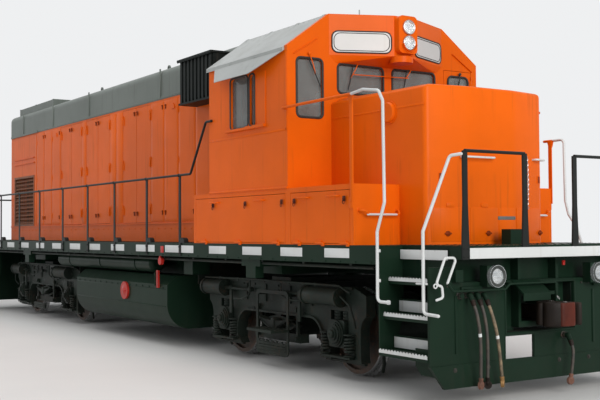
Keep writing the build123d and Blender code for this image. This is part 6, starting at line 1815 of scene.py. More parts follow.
@dataclass
class Running:
    """Sill stripes and bolts, cross webs, walkway tread, air lines and the step nosings."""

    body: str = ROOT
    stripe_low: float = 1.444
    stripe_high: float = 1.548
    stripes: Sequence[Pair] = (
        (6.27, 6.75), (5.33, 5.81), (4.40, 4.88), (3.48, 3.96), (2.09, 3.01), (1.03, 1.72), (0.01, 0.56),
        (-0.95, -0.47), (-1.93, -1.41), (-2.88, -2.40), (-3.83, -3.35), (-4.78, -4.30), (-5.73, -5.25),
        (-6.68, -6.20),
    )
    treads: Sequence[tuple[float, float]] = ((0.500, 1.524), (0.875, 1.460), (1.240, 1.390))
    risers: Sequence[tuple[float, float]] = ((0.500, 1.330), (0.875, 1.260))
    step_low: float = 7.288
    step_high: float = 8.058
    kick_plane: float = 8.230
    web_plane: float = 2.42
    pipes: Sequence[tuple[float, float, float, float, float]] = (
        (-1.44, 1.345, 0.020, -7.1, 7.1), (-1.385, 1.335, 0.014, -7.0, 6.9), (-1.33, 1.350, 0.024, -6.4, 2.6),
    )
    feet: Sequence[float] = (-7.15, -6.17, -4.88, -3.60, -2.29, -1.03, 0.176, 1.452, 2.598)

    def stripes_and_band(self) -> None:
        """White panels on the sill, the kick plate at each end, and the cross webs over the trucks."""
        parts = []
        height, level = self.stripe_high - self.stripe_low, (self.stripe_low + self.stripe_high) / 2
        for low, high in self.stripes:
            panel = slab(high - low, height, 0.0016, 0.004, 0.0005)
            parts.append(Side.RIGHT.wall(panel, [((low + high) / 2, level)], SILL_HALF))
        kick = slab(2.284, 0.106, 0.0245, 0.002, 0.002)
        bands = [face.wall(kick, [(0.0, 1.5095)], self.kick_plane) for face in (Side.FRONT, Side.REAR)]
        join([join(parts).both(), *bands]).build("sill_stripes", self.body, Look.WHITE)
        web = Side.FRONT.wall(slab(2.30, 0.40, 0.012, 0.02, 0.002), [(0.0, 1.170)], self.web_plane)
        join([web, web.reversed()]).build("frame_webs", self.body, Look.TRUCK)

    def nosings(self) -> None:
        """Step nosings with a saw-toothed upper edge, and the white risers between the steps."""
        length, teeth = self.step_high - self.step_low, 16
        x = np.linspace(-length / 2, length / 2, 2 * teeth + 1)
        saw = np.where(np.arange(2 * teeth + 1) % 2 == 0, 0.0, 0.018)
        upper = list(zip(x.tolist(), (0.004 + saw).tolist()))
        outline = [*upper, (length / 2, -0.024), (-length / 2, -0.024)][::-1]
        nose = sheet_of(outline, 0.003)
        panel = slab(length - 0.02, 0.112, 0.002, 0.003, 0.001)
        upper_panel = slab(length - 0.02, 0.100, 0.002, 0.003, 0.001)
        rows = [(nose, top, outer + 0.0125) for top, outer in self.treads]
        rows += [(panel, top + 0.075, inner + 0.0122) for top, inner in self.risers]
        rows.append((upper_panel, 1.49, 1.2525))
        middle = (self.step_low + self.step_high) / 2
        parts = [Side.RIGHT.wall(shape, [(middle, z), (-middle, z)], plane) for shape, z, plane in rows]
        join(parts).both().build("step_nosings", self.body, Look.WHITE)

    def tread_plates(self) -> None:
        """Raised lozenges on the walkway and the step treads: short bars in crossed pairs."""
        bar = slab(0.030, 0.007, 0.0022, 0.0034, 0.001, 2)
        first, second = bar.turned(spin(45)), bar.turned(spin(-45))
        parts = []
        for low, high, inner, outer, level, pitch in (
            (-7.24, 3.0, 0.93, 1.50, DECK_TOP, 0.075), (7.30, 8.22, 0.05, 1.20, DECK_TOP, 0.060),
            (-8.22, -7.56, 0.05, 1.20, DECK_TOP, 0.060),
        ):
            x, y = np.meshgrid(np.arange(low, high, pitch), np.arange(inner, outer, pitch), indexing="ij")
            parity = (np.arange(x.shape[0])[:, None] + np.arange(x.shape[1])[None]) % 2
            points = np.stack([x, y, np.full_like(x, level)], -1)
            parts += [first.copies(points[parity == 0]), second.copies(points[parity == 1])]
        join(parts).both().build("walkway_lozenges", self.body, Look.SILL)

    def air_lines(self) -> None:
        """Pipes and cables under the sill with their couplings and clips, and the sill's bolt row."""
        pipes = []
        for y, z, radius, low, high in self.pipes:
            share = np.linspace(low, high, 29)
            dip = 0.0035 * np.abs(np.sin((share - low) * math.pi))
            pipes.append(tube(track(share, y, z - dip), radius, 8))
        clip = slab(0.045, 0.150, 0.007, 0.004, 0.002)
        hanger = slab(0.045, 0.050, 0.006, 0.004, 0.002)
        marks = np.arange(-6.6, 7.0, 0.95)
        pipes.append(clip.copies([(x, -1.385, 1.372) for x in marks]))
        pipes.append(Side.RIGHT.wall(hanger, [(x, 1.385) for x in marks], 1.463))
        profile = [(0.020, -0.03), (0.028, -0.028), (0.028, 0.028), (0.020, 0.03)]
        coupling = turned_part(profile, 6).turned(spin(90, 1))
        pipes.append(coupling.copies([(x, -1.44, 1.345) for x in (-5.2, -2.1, 1.9, 4.6)]))
        join(pipes).both().build("air_lines", self.body, Look.TRUCK)
        row = [(x, 1.405) for x in np.arange(-7.15, 7.2, 0.286)]
        Side.RIGHT.wall(bolt(0.010, 0.007), row, SILL_HALF).both().build("sill_bolts", self.body, Look.SILL)

    def rail_feet(self) -> None:
        """Bolts and clamps of the handrail stanchions, and the ball joints where rails meet posts."""
        head = bolt(0.012, 0.010)
        spots = [(x + dx, z) for x in self.feet for dx in (-0.016, 0.016) for z in (1.43, 1.53)]
        parts = [Side.RIGHT.wall(head, spots, 1.5355)]
        share = np.linspace(-0.030, 0.030, 5)
        collar = np.array([0.0185, 0.0235, 0.0245, 0.0235, 0.0185])
        clamp = tube(track(share, 0.0, 0.0), collar, 12)
        parts.append(clamp.copies([(x, -1.546, 2.555) for x in self.feet[1:]]))
        right = join(parts).both()
        spots = [(s * 1.19 + d, z) for s in (-1, 1) for d in (-0.026, 0.026) for z in (1.475, 1.555)]
        ends = [face.wall(bolt(0.0085, 0.006), spots, 8.252) for face in (Side.FRONT, Side.REAR)]
        join([right, *ends]).build("rail_bolts", self.body, Look.RAIL)

    def build(self) -> None:
        """Builds every piece of the running board."""
        self.stripes_and_band()
        self.nosings()
        self.tread_plates()
        self.air_lines()
        self.rail_feet()


@dataclass
class EndPlate:
    """Fittings of the end plates: bolts, welds, manifolds, lamp rims, draft pockets and chains."""

    body: str = ROOT
    face: float = 8.090
    plough: float = 8.102
    bolt_places: Sequence[Pair] = (
        (-1.216, 0.355), (-0.77, 0.355), (0.253, 0.355), (0.71, 0.355), (1.18, 0.355),
    )
    lamp_half: float = 0.757
    lamp_height: float = 1.275
    rim_plane: float = 8.2385
    clip_plane: float = 8.2345
    chain_plane: float = 8.236
    nut: Sequence[Pair] = ((0.024, 0.0), (0.024, 0.004), (0.014, 0.006), (0.014, 0.014), (0.009, 0.016))
    collar: Sequence[Pair] = (
        (0.040, 0.0), (0.040, 0.006), (0.032, 0.010), (0.030, 0.026), (0.034, 0.028), (0.034, 0.040),
    )

    def common(self, face: Side, sign: float) -> tuple[list[Shape], list[Shape]]:
        """Pieces that both ends have.

        Args:
            face: End that they are on.
            sign: 1 at the nose end and -1 at the other.

        Returns:
            Painted pieces and bright or rusty ones.
        """
        out = self.face
        places = [(y * sign, z) for y, z in self.bolt_places]
        iron = [face.wall(turned_part(self.nut, 12), places, self.plough)]
        green = [face.wall(slab(2.60, 0.014, 0.006, 0.006, 0.004), [(0.0, 0.405)], out)]
        frame = frame_ring(1.05, 0.545, 0.02, 0.022, 0.010)
        green.append(face.wall(frame, [(0.0, 0.934)], out))
        slot = frame_ring(0.45, 0.280, 0.012, 0.018, 0.006)
        green.append(face.wall(slot, [(sign * -0.3125, 0.5275)], out))
        rib = slab(0.030, 0.58, 0.012, 0.006, 0.005)
        green.append(face.wall(rib, [(sign * y, 0.80) for y in (-1.19, 0.80, 1.19)], out))
        row = [(y, 1.165) for y in np.arange(0.62, 1.18, 0.11)] + [(-y, 1.185) for y in np.arange(1.30, 1.50,
                                                                                                  0.09)]
        iron.append(face.wall(bolt(0.013, 0.010), [(sign * y, z) for y, z in row], out))
        manifold = slab(0.34, 0.050, 0.028, 0.010, 0.006)
        green.append(face.wall(manifold, [(sign * -0.962, 1.150), (sign * 0.962, 1.150)], out))
        hoses = [(-1.060, 1.095), (-0.965, 1.095), (-0.865, 1.090), (0.330, 0.615), (-1.145, 1.090)]
        iron.append(face.wall(turned_part(self.collar, 8), [(sign * y, z) for y, z in hoses], out))
        return green, iron

    def lamp_rims(self, face: Side) -> Shape:
        """Rims round the lower lamps, a ring of oval section, with three clips each."""
        ring = frame_ring(0.222, 0.222, 0.111, 0.034, 0.009, 9)
        clip = slab(0.016, 0.026, 0.006, 0.003, 0.002)
        places = [(s * self.lamp_half, self.lamp_height) for s in (-1, 1)]
        turn = np.radians([90.0, 210.0, 330.0])
        clips = [(y + 0.100 * math.cos(a), z + 0.100 * math.sin(a)) for y, z in places for a in turn]
        return join([face.wall(ring, places, self.rim_plane), face.wall(clip, clips, self.clip_plane)])

    def pocket(self) -> None:
        """Draft pocket behind each coupler's opening: a floor, two cheeks and two plates at its back."""
        floor = slab(0.70, 1.04, 0.010, 0.004, 0.002).moved((7.71, 0.0, 0.674))
        cheek = slab(0.46, 0.46, 0.010, 0.004, 0.002)
        sides = Side.RIGHT.wall(cheek, [(7.83, 0.935)], 0.488).both()
        plate = slab(0.36, 0.46, 0.010, 0.004, 0.002)
        back = Side.FRONT.wall(plate, [(-0.315, 0.935), (0.315, 0.935)], 7.600)
        front = join([floor, sides, back])
        join([front, front.reversed()]).build("draft_pockets", self.body, Look.TRUCK)

    def chains(self) -> None:
        """Safety chain with its hook on the front end post, and the lifting chain of the coupler's pin."""
        share = np.linspace(0.0, 1.0, 14)
        sag = track(self.chain_plane, -0.330 + 0.012 * np.sin(share * 3), 2.50 - 0.52 * share)
        loose = chain(sag, 0.0042, 0.036)
        drop = track(8.212 + 0.05 * share, 0.110 - 0.01 * share, 1.045 - 0.035 * share)
        hook = np.linspace(0.0, math.pi * 1.5, 10)
        bend = track(self.chain_plane, -0.324 + 0.014 * np.sin(hook), 1.965 + 0.014 * np.cos(hook))
        open_hook = tube(bend, 0.004, 6)
        join([loose, open_hook, chain(drop, 0.004, 0.030)]).build("end_chains", self.body, Look.STEEL)

    def build(self) -> None:
        """Builds both ends; the rear has the fittings but no hoses."""
        green, iron, rims = [], [], []
        for face, sign in ((Side.FRONT, 1.0), (Side.REAR, -1.0)):
            painted, rusty = self.common(face, sign)
            green += painted
            iron += rusty
            rims.append(self.lamp_rims(face))
        join(green).build("end_plate_welds", self.body, Look.SILL)
        join(iron).build("end_plate_bolts", self.body, Look.BOLT)
        self.pocket()
        cock = join([slab(0.030, 0.052, 0.020, 0.006, 0.003), bolt(0.010, 0.030).moved((0.0, 0.012, 0.0))])
        Side.FRONT.wall(cock, [(0.337, 1.387)], 8.092).build("angle_cock", self.body, Look.RED)
        join(rims).build("lower_lamp_rims", self.body, Look.BEZEL)
        self.chains()


@dataclass
class Tank:
    """Fuel tank: weld beads, bolts, filler lids, a red plate above each and gauge glasses."""

    body: str = ROOT
    half: float = 1.40
    fill: Pair = (0.335, 0.800)
    gauge: tuple[float, float, float] = (1.60, 1.0275, 0.205)
    lid: Sequence[Pair] = (
        (0.100, 0.0), (0.104, 0.010), (0.100, 0.022), (0.060, 0.026), (0.030, 0.040), (0.012, 0.042),
    )

    def build(self) -> None:
        """Builds the tank's pieces."""
        bead = slab(3.70, 0.016, 0.004, 0.006, 0.003)
        parts = [Side.RIGHT.wall(bead, [(0.0, 0.62), (0.0, 0.88)], self.half)]
        row = [(x, 0.90) for x in np.arange(-1.75, 1.80, 0.25)]
        parts.append(Side.RIGHT.wall(bolt(0.013, 0.009), row, self.half))
        join(parts).both().build("tank_welds", self.body, Look.SILL)
        lid = turned_part(self.lid, 24)
        bar = slab(0.150, 0.018, 0.014, 0.006, 0.004).moved((0.0, 0.0, 0.026))
        lids = [Side.RIGHT.wall(join([lid, bar]), [self.fill], 1.412)]
        x, z, tall = self.gauge
        mark = slab(0.105, 0.098, 0.0016, 0.004, 0.0005)
        lids.append(Side.RIGHT.wall(mark, [(1.985, 1.485)], SILL_HALF + 0.0005))
        join(lids).both().build("tank_lids", self.body, Look.RED)
        glass = tube(track(0.0, np.linspace(-tall / 2, tall / 2, 2), 0.016), 0.010, 10)
        nut = turned_part([(0.016, 0.0), (0.016, 0.024), (0.012, 0.026)], 6)
        ends = [nut.moved((0.0, s * tall * 0.42, 0.004)) for s in (-1, 1)]
        gauge = Side.RIGHT.wall(join([glass, *ends]), [(x, z)], 1.445)
        gauge.both().build("tank_gauges", self.body, Look.SILL)


@dataclass
class Truck:
    """One four-wheel truck: springs, journal bolts, brake gear, pipes, frame bolts and foot plates."""

    body: str
    centre: float
    turned: bool = False
    brake_plane: float = -1.128
    brake_height: float = 0.962
    spring_plane: float = -1.10
    tread_radius: float = 0.536

    def journal_bolts(self) -> Shape:
        """Six bolt heads in a ring on each journal cover, and a hub cap with its dimple."""
        turn = circle(6) + 0.26
        ring = [(0.112 * math.cos(a), 0.112 * math.sin(a)) for a in turn]
        heads, caps = [], []
        cap = turned_part([(0.052, 0.0), (0.050, 0.012), (0.040, 0.020), (0.016, 0.022), (0.012, 0.014)], 20)
        for axle in AXLES:
            spots = [(axle + dx, AXLE_HEIGHT + dz) for dx, dz in ring]
            heads.append(Side.RIGHT.wall(bolt(0.014, 0.012), spots, 1.150))
            caps.append(Side.RIGHT.wall(cap, [(axle, AXLE_HEIGHT)], 1.194))
        return join([*heads, *caps])

    def springs(self) -> Shape:
        """Nested coil springs each side of a journal, seated on cups."""
        coil = join([helix(0.062, 0.0135, 0.225, 5.5, 7), helix(0.034, 0.009, 0.225, 7.5, 6)])
        cup = turned_part([(0.080, 0.0), (0.084, 0.012), (0.060, 0.016)], 16)
        parts = []
        for axle in AXLES:
            for ahead in (-0.245, 0.245):
                at = (axle + ahead, -1.085, 0.300)
                parts += [coil.moved(at), cup.moved((at[0], at[1], 0.284)),
                          cup.turned(np.diag([1.0, 1.0, -1.0])).moved((at[0], at[1], 0.541))]
        return join(parts)

    def leaf_spring(self) -> Shape:
        """Leaf pack in the middle window: strips whose length shrinks and whose ends curl up."""
        parts = []
        for layer in range(7):
            reach = 0.40 - 0.045 * layer
            share = np.linspace(-1.0, 1.0, 11)
            lift = 0.040 * share**2 - 0.016 * layer
            path = track(share * reach, self.spring_plane, 0.585 + lift)
            parts.append(strip(path, 0.110, 0.013, (0.0, 1.0, 0.0)))
        clamp = slab(0.075, 0.150, 0.130, 0.008, 0.004).turned(spin(90, 0)).moved((0.0, -1.035, 0.555))
        return join([*parts, clamp])

    def brakes(self) -> Shape:
        """Shoes against the treads, hangers, push rods with clevises and the cylinder's bolts."""
        parts = []
        bend = np.radians(np.linspace(-24, 24, 9))
        for axle in AXLES:
            for sign in (-1, 1):
                ring = track(axle + sign * self.tread_radius * np.cos(bend), -0.747,
                             AXLE_HEIGHT - 0.02 + self.tread_radius * np.sin(bend))
                parts.append(strip(ring, 0.085, 0.045, (0.0, 1.0, 0.0)))
                hanger = filleted([(axle + sign * 0.585, -0.86, 0.96), (axle + sign * 0.600, -0.86, 0.52),
                                   (axle + sign * 0.555, -0.80, 0.47)], 0.05)
                parts.append(tube(hanger, 0.018, 8))
        y, z = self.brake_plane, self.brake_height
        clevis = slab(0.09, 0.060, 0.050, 0.02, 0.006)
        for start, end in ((-1.30, -0.62), (0.745, 0.10)):
            parts.append(tube(track(np.linspace(start, end, 4), y, z), 0.019, 10))
            parts.append(Side.RIGHT.wall(clevis, [(end, z)], 1.100))
        turn = circle(8)
        for x, face in ((-1.875, -1), (-1.30, 1), (0.745, -1), (1.50, 1)):
            ring = track(x, y + 0.088 * np.cos(turn), z + 0.088 * np.sin(turn))
            head = bolt(0.011, 0.012).turned(spin(90 * face, 1))
            parts.append(head.copies(ring))
        for axle in AXLES:
            tie = track(np.linspace(axle - 0.30, axle + 0.30, 4), self.spring_plane, 0.262)
            parts.append(strip(tie, 0.085, 0.026, (0.0, 1.0, 0.0)))
            spots = [(axle + d, self.spring_plane, 0.275) for d in (-0.26, -0.20, 0.20, 0.26)]
            parts.append(bolt(0.014, 0.014).copies(spots))
        return join(parts)

    def pipes(self) -> Shape:
        """Brake pipes along the frame, flexible drops to the cylinders and sand spouts at each wheel."""
        lines = [
            [(-1.85, -1.16, 1.09), (-0.60, -1.16, 1.105), (0.0, -1.17, 1.105), (1.50, -1.16, 1.10),
             (1.72, -1.16, 1.02)],
            [(-0.52, -1.19, 1.09), (-0.52, -1.20, 0.90), (-0.70, -1.20, 0.84), (-0.98, -1.18, 0.82)],
            [(1.55, -1.18, 0.98), (1.74, -1.18, 0.88), (1.80, -1.16, 0.70), (1.74, -1.10, 0.62)],
            [(0.22, -1.17, 1.08), (0.24, -1.18, 0.93), (0.42, -1.18, 0.88), (0.70, -1.17, 0.88)],
        ]
        parts = [tube(filleted(line, 0.06), 0.0125, 8) for line in lines]
        for axle, sign in ((-AXLE_OFFSET, -1), (AXLE_OFFSET, 1)):
            spout = filleted([(axle + sign * 0.46, -0.90, 0.98), (axle + sign * 0.56, -0.86, 0.62),
                              (axle + sign * 0.50, -0.79, 0.20), (axle + sign * 0.42, -0.75, 0.10)], 0.08)
            parts.append(tube(spout, 0.020, 8))
        clip = slab(0.030, 0.045, 0.012, 0.005, 0.003)
        parts.append(Side.RIGHT.wall(clip, [(x, 1.095) for x in (-1.4, -0.9, -0.2, 0.4, 1.0)], 1.155))
        return join(parts)

    def frame_bolts(self) -> Shape:
        """Bolt rows on the side frame and the cast ribs round its windows."""
        spots = [(x, 1.035) for x in np.arange(-1.80, 1.85, 0.30)] + [(x, 0.72) for x in (-0.62, -0.50, 0.50,
                                                                                          0.62)]
        rows = [Side.RIGHT.wall(bolt(0.015, 0.011), spots, 1.065)]
        rib = slab(0.022, 0.22, 0.020, 0.006, 0.006)
        rows.append(Side.RIGHT.wall(rib, [(x, 0.93) for x in (-0.80, -0.30, 0.30, 0.80)], 1.064))
        return join(rows)

    def foot_plate(self) -> Shape:
        """Ribs across the slotted foot plate of the crew step, and the plate behind its lower slots."""
        rib = slab(0.690, 0.030, 0.007, 0.006, 0.003)
        parts = [Side.RIGHT.wall(rib, [(0.0505, z) for z in (0.226, 0.262, 0.298)], 1.1995)]
        sheet = slab(0.700, 0.118, 0.005, 0.004, 0.001)
        parts.append(Side.RIGHT.wall(sheet, [(0.0505, 0.262)], 1.1785))
        return join(parts)

    def build(self) -> None:
        """Builds the truck's pieces on both sides and moves them to the truck's centre."""
        pieces = {
            "journals": self.journal_bolts(), "springs": self.springs(), "leaf_springs": self.leaf_spring(),
            "brakes": self.brakes(), "pipes": self.pipes(), "bolts": self.frame_bolts(),
            "foot_plates": self.foot_plate(),
        }
        for name, shape in pieces.items():
            whole = shape.both().reversed() if self.turned else shape.both()
            whole.moved((self.centre, 0.0, 0.0)).build(f"{self.body}_{name}", self.body, Look.TRUCK)


def looped(points: Sequence[Pair], radius: float, steps: int = 4) -> np.ndarray:
    """Closed outline with its corners eased: each corner is the parabola between points a radius from it."""
    loop = np.asarray(points, float)
    back, on = np.roll(loop, 1, 0) - loop, np.roll(loop, -1, 0) - loop
    far_back, far_on = np.linalg.norm(back, axis=1), np.linalg.norm(on, axis=1)
    start = loop + back / far_back[:, None] * np.minimum(radius, far_back * 0.45)[:, None]
    end = loop + on / far_on[:, None] * np.minimum(radius, far_on * 0.45)[:, None]
    share = np.linspace(0.0, 1.0, steps)[None, :, None]
    rest = 1 - share
    bend = rest**2 * start[:, None] + 2 * share * rest * loop[:, None] + share**2 * end[:, None]
    return bend.reshape(-1, 2)


def casting(
    outline: Sequence[Pair], low: float, high: float, edge: float, ease: float = 0.02, belly: float = 0.0
) -> Shape:
    """Cast block over a plan outline, drawn in at its upper and lower edges.

    The section at height z is the eased outline moved along its own normals by minus edge
    times (1 - cos a) near the ends, plus belly times sin(pi share) between them.

    Args:
        outline: Corners of the plan.
        low: Height of the foot.
        high: Height of the top.
        edge: Radius of the upper and lower edges.
        ease: Distance over which plan corners are eased.
        belly: Bulge at mid height.

    Returns:
        The block.
    """
    loop = looped(outline, ease)
    ahead = unit(np.roll(loop, -1, 0) - np.roll(loop, 1, 0))
    area = 0.5 * float(np.sum(loop[:, 0] * np.roll(loop[:, 1], -1) - np.roll(loop[:, 0], -1) * loop[:, 1]))
    normal = np.column_stack([ahead[:, 1], -ahead[:, 0]]) * (1.0 if area > 0 else -1.0)
    bends = np.linspace(0.0, math.pi / 2, 4)
    heights = np.concatenate([low + edge * (1 - np.cos(bends)), np.linspace(low + edge, high - edge, 5)[1:-1],
                              high - edge * (1 - np.cos(bends[::-1]))])
    draws = np.concatenate([edge * (1 - np.sin(bends)), np.zeros(3), edge * (1 - np.sin(bends[::-1]))])
    share = (heights - low) / (high - low)
    offset = -draws + belly * np.sin(math.pi * share)
    rings = loop[None] + normal[None] * offset[:, None, None]
    levels = np.broadcast_to(heights[:, None, None], (*rings.shape[:2], 1))
    return Shape.grid(np.concatenate([rings, levels], -1))


@dataclass
class Coupler:
    """Coupler at one end: shank, head with guard arm and lock face, rusty knuckle, pin and wear plate."""

    body: str
    turned: bool = False
    height: float = 0.870
    pin: Pair = (8.318, -0.125)
    head: Sequence[Pair] = (
        (8.130, -0.062), (8.185, -0.180), (8.255, -0.196), (8.285, -0.150), (8.300, -0.060), (8.296, 0.020),
        (8.312, 0.078), (8.380, 0.130), (8.470, 0.160), (8.480, 0.196), (8.425, 0.212), (8.215, 0.188),
        (8.130, 0.062),
    )
    knuckle: Sequence[Pair] = (
        (8.286, -0.178), (8.330, -0.186), (8.390, -0.160), (8.436, -0.108), (8.462, -0.052), (8.470, -0.010),
        (8.468, 0.075), (8.450, 0.108), (8.412, 0.108), (8.384, 0.060), (8.376, -0.020), (8.345, -0.062),
        (8.305, -0.090),
    )
    worn: Sequence[Pair] = (
        (8.410, -0.092), (8.4660, -0.086), (8.4785, -0.030), (8.4790, 0.084), (8.456, 0.120), (8.420, 0.114),
        (8.410, 0.020),
    )
    horn: Sequence[Pair] = ((8.120, -0.115), (8.165, -0.130), (8.165, 0.130), (8.120, 0.115))
    rib: Sequence[Pair] = ((8.200, 0.165), (8.400, 0.205), (8.410, 0.2145), (8.200, 0.200))
    lock: Sequence[Pair] = ((8.20, -0.060), (8.27, -0.060), (8.27, 0.030), (8.20, 0.030))
    butt: Sequence[Pair] = ((0.085, -0.062), (0.095, -0.045), (0.095, 0.045), (0.085, 0.062))
    lug: Sequence[Pair] = ((0.052, -0.128), (0.058, -0.115), (0.058, 0.115), (0.052, 0.128))
    pin_profile: Sequence[Pair] = ((0.0185, -0.1325), (0.0185, 0.1285), (0.024, 0.129), (0.024, 0.1325))

    def build(self) -> None:
        """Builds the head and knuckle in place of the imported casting."""
        z = self.height
        shank = track(np.array([7.12, 7.16, 7.95, 8.08, 8.16]), 0.0, z)
        half = np.array([0.055, 0.068, 0.068, 0.075, 0.100])
        ring = rounded_outline(1.0, 1.15, 0.28, 5)
        body = np.stack([shank[:, None, 0] + 0 * ring[None, :, 0], half[:, None] * ring[None, :, 0],
                         z + half[:, None] * ring[None, :, 1]], -1)
        butt, lug, pin = (
            turned_part([(radius, z + rise) for radius, rise in profile], sides)
            for profile, sides in ((self.butt, 28), (self.lug, 24), (self.pin_profile, 16))
        )
        parts = [Shape.grid(body), butt.moved((7.20, 0.0, 0.0))]
        parts.append(casting(self.head, z - 0.118, z + 0.118, 0.016, 0.030, 0.004))
        horn = casting(self.horn, z - 0.128, z + 0.128, 0.012, 0.02)
        rib = casting(self.rib, z - 0.060, z + 0.060, 0.008, 0.01)
        lock = casting(self.lock, z + 0.100, z + 0.128, 0.008, 0.02)
        parts += [horn, rib, lug.moved((self.pin[0], self.pin[1], 0.0)), lock]
        carrier = slab(0.24, 0.20, 0.008, 0.02, 0.003)
        parts.append(carrier.moved((8.03, 0.0, z - 0.0865)))
        head = join(parts)
        turn = circle(12)
        loop = track(8.235 + 0.016 * np.cos(turn), -0.012, z + 0.124 + 0.008 * np.sin(turn))
        eye = tube(loop, 0.0035, 6, closed=True)
        jaw = casting(self.knuckle, z - 0.126, z + 0.126, 0.018, 0.030, 0.003)
        boss = turned_part([(0.022, 0.0), (0.020, 0.0035), (0.011, 0.0040)], 16)
        mark = Side.FRONT.put(boss, (8.4755, 0.010, z - 0.010))
        arm = join([jaw, pin.moved((self.pin[0], self.pin[1], 0.0))])
        knuckle = join([casting(self.worn, z - 0.122, z + 0.122, 0.014, 0.020, 0.001), mark])
        bent = [(8.438, 0.020, z + 0.118), (8.446, 0.004, z + 0.128), (8.452, -0.030, z + 0.128)]
        split = filleted(bent, 0.01)
        bright = join([eye, tube(split, 0.004, 6), tube(split + np.array([-0.030, 0.012, 0.0]), 0.004, 6)])
        if self.turned:
            head, arm, knuckle, bright = (piece.reversed() for piece in (head, arm, knuckle, bright))
        arm.build(f"{self.body}_knuckle_arm", self.body, Look.COUPLER)
        head.build(f"{self.body}_head", self.body, Look.COUPLER, node=self.body)
        knuckle.build(f"{self.body}_knuckle", self.body, Look.KNUCKLE)
        bright.build(f"{self.body}_eye", self.body, Look.STEEL)


def rod(corners: Sequence[Sequence[float]], radius: float, bend: float, sides: int = 14) -> Shape:
    """Bent rod with rounded ends: past each end, rings at radius sin a along it and radius cos a wide.

    Args:
        corners: Corners of its centre line.
        radius: Radius of the rod.
        bend: Radius of its arcs.
        sides: Points round it.

    Returns:
        The rod.
    """
    path = filleted(corners, bend, 9)
    first, last = path[0] - path[1], path[-1] - path[-2]
    first, last = first / np.linalg.norm(first), last / np.linalg.norm(last)
    turn = np.radians([30.0, 58.0, 82.0])
    head = path[0] + first * (radius * np.sin(turn[::-1]))[:, None]
    tail = path[-1] + last * (radius * np.sin(turn))[:, None]
    sizes = np.concatenate([radius * np.cos(turn[::-1]), np.full(len(path), radius), radius * np.cos(turn)])
    return tube(np.vstack([head, path, tail]), sizes, sides)


